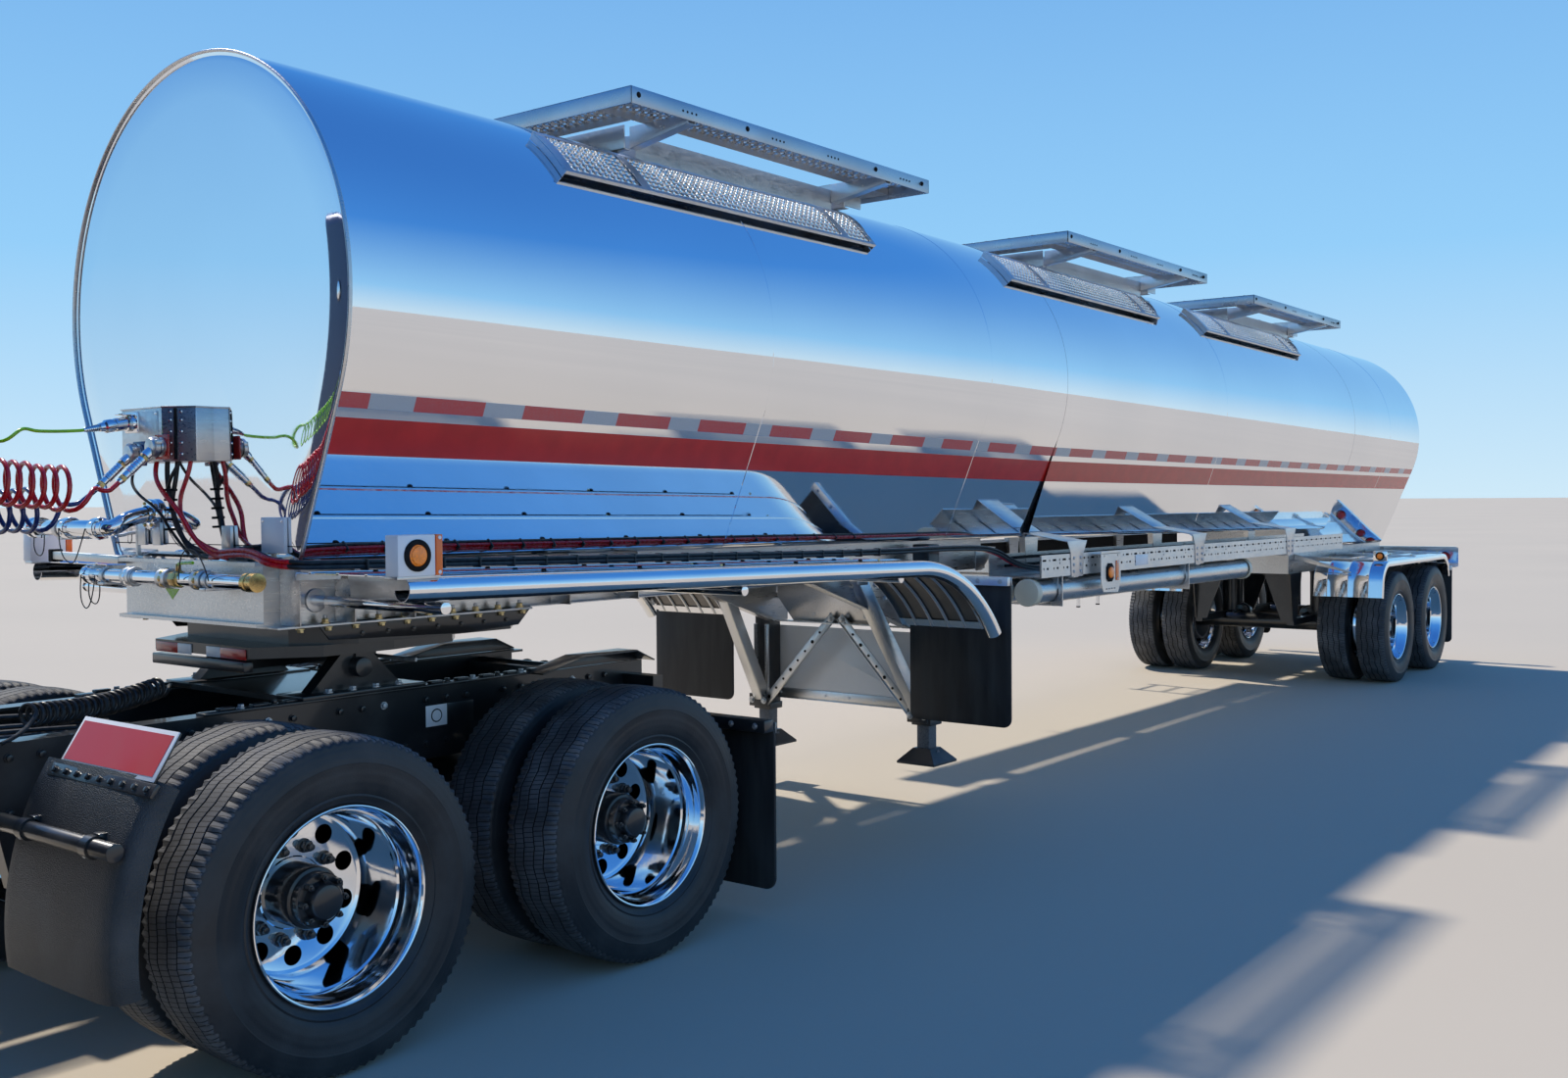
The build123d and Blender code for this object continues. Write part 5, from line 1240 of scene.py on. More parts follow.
def disc_shape(facing):
    """The wheel's disc with its round hand holes, facing along Z."""
    shape = bmesh.new()
    side_steps = RIM_STEPS // HAND_HOLES
    slice_angle = 2 * pi / HAND_HOLES
    hole_steps = 2 * side_steps + 8
    middle = Vector((HAND_CIRCLE_R, 0, 0))
    hole = bmesh.ops.create_circle(shape, segments=hole_steps, radius=HAND_HOLE_R)["verts"]
    bmesh.ops.translate(shape, vec=middle, verts=hole)
    border = []
    for step in range(side_steps):
        angle = -slice_angle / 2 + slice_angle * step / side_steps
        border.append((DISC_OUT_R * cos(angle), DISC_OUT_R * sin(angle)))
    for step in range(4):
        radius = DISC_OUT_R + (DISC_IN_R - DISC_OUT_R) * step / 4
        border.append((radius * cos(slice_angle / 2), radius * sin(slice_angle / 2)))
    for step in range(side_steps):
        angle = slice_angle / 2 - slice_angle * step / side_steps
        border.append((DISC_IN_R * cos(angle), DISC_IN_R * sin(angle)))
    for step in range(4):
        radius = DISC_IN_R + (DISC_OUT_R - DISC_IN_R) * step / 4
        border.append((radius * cos(slice_angle / 2), -radius * sin(slice_angle / 2)))
    corners = [shape.verts.new((x, y, 0)) for x, y in border]
    outer = [shape.edges.new(pair) for pair in zip(corners, corners[1:] + corners[:1])]
    inner = list({edge for vert in hole for edge in vert.link_edges})
    bmesh.ops.bridge_loops(shape, edges=inner + outer)
    lip = [edge for edge in shape.edges if all((vert.co - middle).length < HAND_HOLE_R + 1e-5 for vert in edge.verts)]
    pushed = bmesh.ops.extrude_edge_only(shape, edges=lip)["geom"]
    walls = [item for item in pushed if isinstance(item, bmesh.types.BMVert)]
    bmesh.ops.translate(shape, vec=(0, 0, -facing * DISC_WALL), verts=walls)
    slices = shape.verts[:] + shape.edges[:] + shape.faces[:]
    for step in range(1, HAND_HOLES):
        copy = bmesh.ops.duplicate(shape, geom=slices)["geom"]
        verts = [item for item in copy if isinstance(item, bmesh.types.BMVert)]
        bmesh.ops.rotate(shape, cent=(0, 0, 0), matrix=Matrix.Rotation(step * slice_angle, 3, "Z"), verts=verts)
    bmesh.ops.remove_doubles(shape, verts=shape.verts[:], dist=1e-5)
    return shape


def rim_shape(offset, disc, facing):
    """One rim about the Z axis: lip, bead seat, stepped well and the turn into its disc."""
    edge = facing * RIM_EDGE
    profile = [
        (offset + edge - facing * 0.006, 0.2995), (offset + edge - facing * 0.001, 0.2985),
        (offset + edge, 0.2955), (offset + edge - facing * 0.002, 0.2915), (offset + edge - facing * 0.010, 0.2870),
        (offset + edge - facing * 0.020, 0.2830), (offset + edge - facing * 0.034, 0.2800),
        (offset + edge - facing * 0.040, 0.2770), (offset + edge - facing * 0.058, 0.2745),
        (offset + edge - facing * 0.064, 0.2700), (offset + edge - facing * 0.088, 0.2650),
        (offset + edge - facing * 0.094, 0.2595), (disc + facing * (DISC_WALL + 0.050), 0.2570),
        (disc + facing * (DISC_WALL + 0.022), 0.2530), (disc + facing * (DISC_WALL + 0.006), 0.2460),
        (disc + facing * DISC_WALL, DISC_OUT_R),
    ]
    back = [
        (disc, DISC_OUT_R), (disc - facing * 0.004, 0.2470), (disc + facing * 0.02, 0.2560),
        (offset - edge + facing * 0.06, 0.2620), (offset - edge + facing * 0.03, 0.2720),
        (offset - edge + facing * 0.01, 0.2830), (offset - edge, 0.2950), (offset - edge + facing * 0.004, 0.2995),
    ]
    shape = turned(profile, (0, 0, 0), UP, RIM_STEPS)
    join(shape, turned(back, (0, 0, 0), UP, RIM_STEPS))
    face = disc_shape(facing)
    bmesh.ops.translate(face, vec=(0, 0, disc + facing * DISC_WALL), verts=face.verts)
    join(shape, face)
    centre = turned(
        [(disc + facing * DISC_WALL, DISC_IN_R), (disc + facing * (DISC_WALL + 0.004), DISC_IN_R - 0.004),
         (disc + facing * (DISC_WALL + 0.004), 0.08)],
        (0, 0, 0), UP, RIM_STEPS,
    )
    join(shape, centre)
    rear_face = turned([(disc, DISC_OUT_R), (disc, 0.09)], (0, 0, 0), UP, RIM_STEPS)
    join(shape, rear_face)
    return shape


def nuts_shape(face):
    """Ten flange nuts on their studs, standing on a disc's face."""
    shape = bmesh.new()
    for step in range(HAND_HOLES):
        angle = 2 * pi * (step + 0.5) / HAND_HOLES
        x, y = STUD_CIRCLE_R * cos(angle), STUD_CIRCLE_R * sin(angle)
        join(
            shape, rod((x, y, face), (x, y, face + 0.006), 0.0225, 20, 0.0015),
            rod((x, y, face + 0.005), (x, y, face + 0.030), 0.0185, 6, 0.002),
            rod((x, y, face + 0.029), (x, y, face + 0.046), 0.0105, 14, 0.0015),
        )
    return shape


def hub_shape(start, end, drive):
    """The hub: an axle flange with its bolts on a driven axle, or an oil cap."""
    shape = turned(
        [(start, 0.096), (end - 0.085, 0.096), (end - 0.078, 0.092), (end - 0.075, 0.083), (end - 0.045, 0.083),
         (end - 0.041, 0.080), (end - 0.040, 0.060), (end - 0.012, 0.056), (end - 0.004, 0.050), (end, 0.036),
         (end, 0.0)],
        (0, 0, 0), UP, 48,
    )
    count = 8 if drive else 6
    for step in range(count):
        angle = 2 * pi * step / count
        x, y = 0.0705 * cos(angle), 0.0705 * sin(angle)
        join(shape, rod((x, y, end - 0.042), (x, y, end - 0.016), 0.0105, 6, 0.001),
             rod((x, y, end - 0.017), (x, y, end - 0.008), 0.006, 10, 0.001))
    return shape


def make_wheel(axle, side_name, x, y, rims, hub, drive):
    """Tyres and wheels of one hub."""
    side = SIDES[side_name]
    place = axle_place(side, x, y)
    word = "tyre" if axle == "steer" else "tyres"
    wheel_word = "wheel" if axle == "steer" else "wheels"
    body = f"steer_wheel_{side_name}" if axle == "steer" else f"{axle}_wheels_{side_name}"
    tyres = Piece(f"rubber_{axle}_{side_name}", sidewall_rubber(), tread_rubber(), black_rubber_and_shade())
    keep_finish(tyres, tyre_shape(sizes()), [place @ moved((0, 0, offset)) for offset, _, _ in rims])
    tyres.done(body, "tyre", f"{axle}_{word}_{side_name}", crease=28)
    wheel = Piece(f"forged_{axle}_{side_name}", bright_forging(), chassis_black(), cast_iron())
    for offset, disc, facing in rims:
        wheel.add(rim_shape(offset, disc, facing), 0, [place])
    _, outer_disc, outer_facing = rims[-1]
    face = outer_disc + outer_facing * DISC_WALL if outer_facing > 0 else outer_disc
    wheel.add(nuts_shape(face), 1, [place])
    wheel.add(hub_shape(hub[0], hub[1], drive), 1, [place])
    drum = turned(
        [(hub[2], 0.205), (hub[3] - 0.02, 0.205), (hub[3], 0.195), (hub[3], 0.085), (hub[3] - 0.02, 0.085),
         (hub[3] - 0.02, 0.185), (hub[2], 0.185)],
        (0, 0, 0), UP, 48, closed=True,
    )
    wheel.add(drum, 2, [place])
    wheel.done(body, "wheel", f"{axle}_{wheel_word}_{side_name}", crease=30)


def keep_finish(piece, shape, copies):
    """Adds a shape whose faces already have their finishes."""
    bmesh.ops.recalc_face_normals(shape, faces=shape.faces[:])
    for face in shape.faces:
        face.smooth = True
    mesh = bpy.data.meshes.new("part")
    shape.to_mesh(mesh)
    shape.free()
    for place in copies:
        copy = mesh.copy()
        copy.transform(place)
        piece.mesh.from_mesh(copy)
        bpy.data.meshes.remove(copy)
    bpy.data.meshes.remove(mesh)


class TANKER_OT_wheels(bpy.types.Operator):
    """Makes the ribbed tyres and the polished wheels of every axle"""

    bl_idname = "tanker.wheels"
    bl_label = "Wheels and tyres"
    bl_options = {"REGISTER", "UNDO"}

    def execute(self, context):
        duals = ((-DUAL_OFFSET, 0.0, -1), (DUAL_OFFSET, 0.0, 1))
        stations = {
            "drive_1": DRIVE_Y, "drive_2": DRIVE_2_Y, "trailer_1": TRAILER_1_Y, "trailer_2": TRAILER_2_Y,
        }
        for side_name in SIDES:
            for axle, y in stations.items():
                hub = (-0.150, 0.212, -0.265, -0.022)
                make_wheel(axle, side_name, WHEEL.x, y, duals, hub, axle.startswith("drive"))
            make_wheel(
                "steer", side_name, STEER.x, STEER.y, ((0.0, 0.150, -1),), (-0.060, 0.203, -0.110, 0.030), False,
            )
        return {"FINISHED"}


# Coiled lines between the cab and the nose

SUPPLY_ROUTE = (
    (0.0, -3.607, 1.774), (0.0, -3.620, 1.762), (0.0, -3.650, 1.738), (0.0, -3.993, 1.772), (0.012, -4.353, 1.815),
    (0.0, -4.693, 1.880), (0.0, -4.790, 1.940), (0.0, -4.885, 2.000), (0.0, -4.930, 2.000),
)
SERVICE_ROUTE = (
    (-0.150, -3.607, 1.754), (-0.150, -3.620, 1.742), (-0.166, -3.680, 1.690), (-0.158, -4.008, 1.672),
    (-0.165, -4.353, 1.722), (-0.155, -4.693, 1.800), (-0.152, -4.790, 1.862), (-0.150, -4.885, 1.920),
    (-0.150, -4.930, 1.920),
)
ELECTRIC_ROUTE = (
    (-0.200, -3.625, 1.960), (-0.200, -3.643, 1.957), (-0.206, -3.778, 1.950), (-0.226, -4.008, 1.962),
    (-0.240, -4.353, 1.992), (-0.236, -4.693, 2.030), (-0.235, -4.790, 2.058), (-0.235, -4.885, 2.080),
    (-0.235, -4.930, 2.080),
)


COIL_LEAD = 0.13


def smooth_route(route):
    """Points along the smooth curve that a line's route controls."""
    curve = bpy.data.curves.new("route", "CURVE")
    curve.dimensions = "3D"
    curve.resolution_u = 32
    line = curve.splines.new("NURBS")
    line.points.add(len(route) - 1)
    for point, place in zip(line.points, route):
        point.co = (*place, 1.0)
    line.order_u = 3
    line.use_endpoint_u = True
    holder = bpy.data.objects.new("route", curve)
    mesh = bpy.data.meshes.new_from_object(holder)
    points = [vert.co.copy() for vert in mesh.vertices]
    bpy.data.objects.remove(holder)
    bpy.data.curves.remove(curve)
    bpy.data.meshes.remove(mesh)
    return points


def coil_path(route, first, last, radius, pitch, turn_steps=22, loose=0.06):
    """A tube's path: straight out of its exit, in turns about the route, and on to its far end."""
    line = smooth_route(route)
    reach = [0.0]
    for start, end in zip(line, line[1:]):
        reach.append(reach[-1] + (end - start).length)

    def nearest(place):
        return min(range(len(line)), key=lambda index: (line[index] - Vector(place)).length)

    start, end = reach[nearest(first)], reach[nearest(last)]
    turns = max(2, round((end - start) / pitch))
    lead = min(COIL_LEAD, (end - start) * 0.3)
    path = [point for point, along in zip(line, reach) if along < start]
    index = 0
    for step in range(turns * turn_steps + 1):
        turn = step / turn_steps
        opening, closing = min(1.0, turn / 0.5), min(1.0, (turns - turn) / 0.5)
        if opening < 1:
            along = start + lead * opening
        elif closing < 1:
            along = end - lead * closing
        else:
            along = start + lead + (end - start - 2 * lead) * (turn - 0.5) / (turns - 1)
        while index < len(line) - 2 and reach[index + 1] < along:
            index += 1
        ahead = (line[index + 1] - line[index]).normalized()
        centre = line[index] + ahead * (along - reach[index])
        across = ahead.cross(UP).normalized()
        swell = min(opening, closing)
        swell = swell * swell * (3 - 2 * swell)
        size = radius * swell * (1 + loose * sin(turn * 1.7) * sin(turn * 0.61))
        angle = 2 * pi * turn + pi / 2
        lean = 0.12 * radius * swell * sin(angle)
        path.append(centre + across * size * cos(angle) + across.cross(ahead) * size * sin(angle) + ahead * lean)
    path += [point for point, along in zip(line, reach) if along > end]
    return path


class TANKER_OT_lines(bpy.types.Operator):
    """Makes the two coiled air lines and the coiled electric line"""

    bl_idname = "tanker.lines"
    bl_label = "Coiled lines"
    bl_options = {"REGISTER", "UNDO"}

    def execute(self, context):
        rows = (
            ("air_line_red", "hose_red", red_line(), SUPPLY_ROUTE, 0.0705, 0.050, 0.008, 9.6),
            ("air_line_blue", "hose_blue", blue_line(), SERVICE_ROUTE, 0.0705, 0.0527, 0.008, 9.0),
            ("electric_line", "hose_green", green_line(), ELECTRIC_ROUTE, 0.0425, 0.0698, 0.006, 4.1),
        )
        for node, slot, finish, route, radius, pitch, tube_r, length in rows:
            path = coil_path(route, route[2], route[5], radius, pitch)
            shape = pipe(path, tube_r, 12, smooth=False)
            bmesh.ops.recalc_face_normals(shape, faces=shape.faces[:])
            for face in shape.faces:
                face.smooth = True
            mesh = bpy.data.meshes.new(f"coil_{node}")
            shape.to_mesh(mesh)
            shape.free()
            mesh.materials.append(finish)
            piece = bpy.data.objects.new(f"coil_{node}", mesh)
            context.scene.collection.objects.link(piece)
            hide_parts(node)
            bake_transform(piece)
        return {"FINISHED"}


# Sheet metal


def sheet(rows, wall):
    """A skin over open rows of points, given a wall."""
    shape = loft(rows)
    bmesh.ops.recalc_face_normals(shape, faces=shape.faces[:])
    bmesh.ops.solidify(shape, geom=shape.faces[:], thickness=wall)
    return shape


def swept(section, path, wall):
    """A section of (x, rise) carried along a path of (y, z), square to it, with a wall."""
    rows = []
    for index, (y, z) in enumerate(path):
        before, after = path[max(0, index - 1)], path[min(len(path) - 1, index + 1)]
        along = Vector((after[0] - before[0], after[1] - before[1])).normalized()
        rows.append([(x, y - along.y * rise, z + along.x * rise) for x, rise in section])
    return sheet(rows, wall)


def rounded_path(corners, radius, steps=6):
    """A path through corners with each one rounded."""
    path = [corners[0]]
    for before, corner, after in zip(corners, corners[1:], corners[2:]):
        corner_v = Vector(corner)
        arrive, leave = Vector(before) - corner_v, Vector(after) - corner_v
        cut = min(radius, arrive.length * 0.45, leave.length * 0.45)
        start, end = corner_v + arrive.normalized() * cut, corner_v + leave.normalized() * cut
        for step in range(steps + 1):
            share = step / steps
            point = start * (1 - share) ** 2 + corner_v * 2 * share * (1 - share) + end * share**2
            path.append(tuple(point))
    path.append(corners[-1])
    return path


FENDER_IN = 0.620
FENDER_OUT = 1.220
ROLL_R = 0.040
FRONT_FENDER = (KINGPIN.y - 0.400, 1.470)
CREST = (KINGPIN.y + 2.560, 1.410)
DROP_END = (KINGPIN.y + 3.300, 1.040)


def drop_path(inset=0.0, steps=20):
    """The front fender's fall behind its crest, in Y and Z."""
    reach, fall = DROP_END[0] - CREST[0], CREST[1] - DROP_END[1]
    radius = (reach**2 + fall**2) / (2 * fall)
    end = atan2(reach, radius - fall)
    path = []
    for step in range(steps + 1):
        angle = end * step / steps
        path.append((
            CREST[0] + (radius - inset) * sin(angle), CREST[1] - radius + (radius - inset) * cos(angle),
        ))
    return path


def roll_section():
    """The front fender's section: folded inner edge, flat sheet with two swages and a rolled outer edge."""
    section = [(FENDER_IN, -0.026), (FENDER_IN, -0.003), (FENDER_IN + 0.004, 0.0)]
    for x in (0.70, 0.85, 1.00):
        section += [(x - 0.010, 0.0), (x - 0.005, 0.004), (x + 0.005, 0.004), (x + 0.010, 0.0)]
    centre = FENDER_OUT - ROLL_R
    section += [(centre - 0.034, 0.0), (centre - 0.012, 0.0)]
    for step in range(23):
        angle = pi / 2 - radians(265) * step / 22
        section.append((centre + (ROLL_R - 0.001) * cos(angle), -ROLL_R + (ROLL_R - 0.001) * sin(angle)))
    return section


def lamp(piece, place, facing, radius, ring, lens, rubber=1):
    """A round lamp in a rubber ring: a stepped grommet and a domed lens with a rim."""
    piece.add(turned(
        [(0.0, radius + ring), (0.006, radius + ring), (0.009, radius + ring * 0.75), (0.010, radius + 0.001),
         (0.003, radius)], place, facing, 40,
    ), rubber)
    piece.add(turned(
        [(0.003, radius), (0.008, radius - 0.001), (0.010, radius * 0.86), (0.014, radius * 0.80),
         (0.016, radius * 0.5), (0.0165, 0.0)], place, facing, 40,
    ), lens)


class TANKER_OT_fenders(bpy.types.Operator):
    """Makes the trailer's long front fenders and its bogie fenders with their lamps"""

    bl_idname = "tanker.fenders"
    bl_label = "Trailer fenders"
    bl_options = {"REGISTER", "UNDO"}

    def execute(self, context):
        self.front()
        self.bogie()
        return {"FINISHED"}

    def front(self):
        """The two long fenders with their bars, webs, ribs, seams, bolts and lamp boxes."""
        fender = Piece(
            "front_fenders", polished_aluminium(), black_rubber_and_shade(), amber_lens(), white_paint(), orange_plastic(),
            gold_zinc(), mill_aluminium(), chrome(), painted_shade_lining(),
        )
        run = [
            (FRONT_FENDER[0] + (CREST[0] - FRONT_FENDER[0]) * step / 12,
             FRONT_FENDER[1] + (CREST[1] - FRONT_FENDER[1]) * step / 12) for step in range(12)
        ]
        path = run + drop_path()
        fender.add(swept(roll_section(), path, 0.003), 0, both_sides())
        # A dark sheet just under the fender's top and drop: painted shade.
        lining = [(FENDER_IN + 0.004, -0.0045), (FENDER_OUT - ROLL_R - 0.030, -0.0045)]
        fender.add(swept(lining, run[9:] + drop_path(0.0), 0.001), 8, both_sides())
        for x in (0.712, 0.862, 1.012):
            fender.add(swept([(x - 0.0025, 0.0012), (x + 0.0025, 0.0012)], run, 0.0012), 1, both_sides())
            for step in range(6):
                share = (step + 0.5) / 6
                y = FRONT_FENDER[0] + (CREST[0] - FRONT_FENDER[0]) * share
                z = FRONT_FENDER[1] + (CREST[1] - FRONT_FENDER[1]) * share
                fender.add(bolt((x + 0.004, y, z), UP, 0.009, 0.007), 1, both_sides())
        for x in (0.70, 0.80, 0.90, 1.00, 1.10):
            rib = [(x - 0.009, -0.010), (x - 0.005, -0.016), (x, -0.018), (x + 0.005, -0.016), (x + 0.009, -0.010)]
            fender.add(swept(rib, run[10:] + drop_path(), 0.001), 6, both_sides())
        edge = [(FENDER_IN, 0.001), (FENDER_IN, -0.012), (FENDER_OUT - 0.07, -0.012), (FENDER_OUT - 0.07, 0.001)]
        end = drop_path()[-2:]
        fender.add(swept(edge, [(end[0][0], end[0][1]), (end[1][0] + 0.001, end[1][1] - 0.003)], 0.001), 0,
            both_sides())
        bars = ((KINGPIN.y - 0.210, 1.360), (KINGPIN.y + 1.300, 1.335), (KINGPIN.y + 2.450, 1.330))
        for y, z in bars:
            share = (y - FRONT_FENDER[0]) / (CREST[0] - FRONT_FENDER[0])
            top = FRONT_FENDER[1] + (CREST[1] - FRONT_FENDER[1]) * share - 0.004
            fender.add(rod((0.4503, y, z), (1.150, y, z), 0.020, 28, 0.003), 7, both_sides())
            fender.add(rod((0.4503, y, z), (0.458, y, z), 0.042, 28, 0.002), 6, both_sides())
            fender.add(rod((1.150, y, z), (1.1545, y, z), 0.0215, 28, 0.0015), 7, both_sides())
            fender.add(
                plate([(0.64, top), (0.66, z + 0.012), (1.10, z + 0.012), (1.12, top)], "xzy", y - 0.003, y + 0.003,
                    0.001),
                6, both_sides(),
            )
            fender.add(block((0.66, y - 0.022, top - 0.006), (1.10, y + 0.022, top - 0.002), 0.001), 6, both_sides())
            for x in (0.70, 0.86, 1.02):
                fender.add(bolt((x, y + 0.012, top + 0.002), UP, 0.006, 0.006), 5, both_sides())
        y0 = FRONT_FENDER[0] - 0.040
        fender.add(block((1.150, y0, 1.472), (1.214, y0 + 0.143, 1.600), 0.004), 3, both_sides())
        fender.add(block((1.150, y0 + 0.145, 1.472), (1.216, y0 + 0.170, 1.600), 0.003), 4, both_sides())
        for z in (1.482, 1.590):
            fender.add(rod((1.215, y0 + 0.1575, z), (1.2185, y0 + 0.1575, z), 0.006, 12, 0.001), 3, both_sides())
        fender.add(block((1.146, y0 + 0.002, 1.462), (1.206, y0 + 0.168, 1.474), 0.002), 6, both_sides())
        for place in (Matrix(), MIRROR):
            sign = 1 if place == Matrix() else -1
            lamp(fender, (sign * 1.213, y0 + 0.072, 1.536), LEFT * sign, 0.034, 0.016, 2)
        fender.done("trailer", "aluminium", "trailer_fenders", crease=32)

    def bogie(self):
        """The fenders over the trailer's wheels."""
        fender = Piece(
            "bogie_fenders", polished_aluminium(), black_rubber_and_shade(), amber_lens(), mill_aluminium(), gold_zinc(),
        )
        top = 2 * TYRE_R + 0.108
        front, back = TRAILER_1_Y - 0.606, TRAILER_2_Y + 0.560
        corners = (
            (front, top - 0.320), (front + 0.030, top - 0.110), (front + 0.160, top), (back - 0.160, top),
            (back - 0.020, top - 0.110), (back + 0.010, top - 0.220),
        )
        path = rounded_path(corners, 0.11)
        section = [(FENDER_IN, -0.030), (FENDER_IN, -0.003), (FENDER_IN + 0.004, 0.0)]
        for x in (0.74, 0.92, 1.10):
            section += [(x - 0.010, 0.0), (x - 0.005, 0.003), (x + 0.005, 0.003), (x + 0.010, 0.0)]
        section += [(FENDER_OUT - 0.012, 0.0), (FENDER_OUT - 0.003, -0.004), (FENDER_OUT, -0.014),
                    (FENDER_OUT, -0.050), (FENDER_OUT - 0.004, -0.054), (FENDER_OUT - 0.010, -0.050)]
        fender.add(swept(section, path, 0.003), 0, both_sides())
        for y in (TRAILER_1_Y - 0.375, (TRAILER_1_Y + TRAILER_2_Y) / 2 + 0.025, TRAILER_2_Y + 0.375):
            outline = [(0.4503, top + 0.030), (0.4503, top - 0.001), (1.180, top + 0.001), (1.180, top + 0.012)]
            fender.add(plate(outline, "xzy", y - 0.025, y + 0.025, 0.002), 3, both_sides())
            for x in (0.70, 0.95, 1.14):
                fender.add(bolt((x, y, top + 0.012 + (1.18 - x) * 0.024), UP, 0.008, 0.008), 4, both_sides())
        fender.add(plate(
            [(0.4503, top + 0.055), (0.4503, top + 0.004), (0.95, top - 0.110), (0.95, top - 0.095)], "xzy",
            front + 0.008, front + 0.020, 0.001,
        ), 3, both_sides())
        for sign in (1, -1):
            x = sign * 1.160
            fender.add(block((x - 0.058, front + 0.148, top + 0.001), (x + 0.058, front + 0.168, top + 0.088), 0.003),
                0)
            lamp(fender, (x, front + 0.148, top + 0.044), -REAR, 0.026, 0.012, 2)
        fender.done("trailer", "aluminium", crease=32)


# Nose of the trailer

NOSE_Y = TANK_Y - 0.137
PIPE_Y = TANK_Y - 0.167


def ring_of(start, end, radius, thick=0.004):
    """A collar about a run, with rounded shoulders."""
    start, end = Vector(start), Vector(end)
    long = (end - start).length
    return turned(
        [(0, radius - thick), (0, radius - 0.002), (0.002, radius), (long - 0.002, radius), (long, radius - 0.002),
         (long, radius - thick)], start, end - start, 32,
    )


def camlock_cap(piece, start, end, radius, metal, dark):
    """A cam-lever coupling: stepped body, two levers with pull rings and a retaining wire."""
    start, end = Vector(start), Vector(end)
    along = (end - start).normalized()
    long = (end - start).length
    piece.add(turned(
        [(0, 0), (0, radius * 0.92), (0.004, radius), (long * 0.30, radius), (long * 0.34, radius * 0.86),
         (long * 0.60, radius * 0.86), (long * 0.64, radius), (long, radius), (long, radius * 0.6), (long, 0)],
        start, along, 32,
    ), metal)
    for turn in (0, pi):
        side = Vector((0, cos(turn), 0))
        place = start + along * long * 0.45 + side * radius * 0.95
        lever = pipe([place, place + side * 0.012 + along * 0.012, place + side * 0.010 + along * long * 0.9], 0.004, 8)
        piece.add(lever, metal)
        piece.add(ball(place, 0.0065, 10), dark)
    loop = start + along * long * 0.2
    piece.add(pipe(
        [loop, loop + Vector((0, -0.010, -radius - 0.02)), loop + Vector((0.015, -0.006, -0.105)),
         loop + Vector((0.055, 0, -0.110)), loop + Vector((0.075, 0, -0.05)), loop + along * long * 0.9],
        0.0022, 6,
    ), dark)


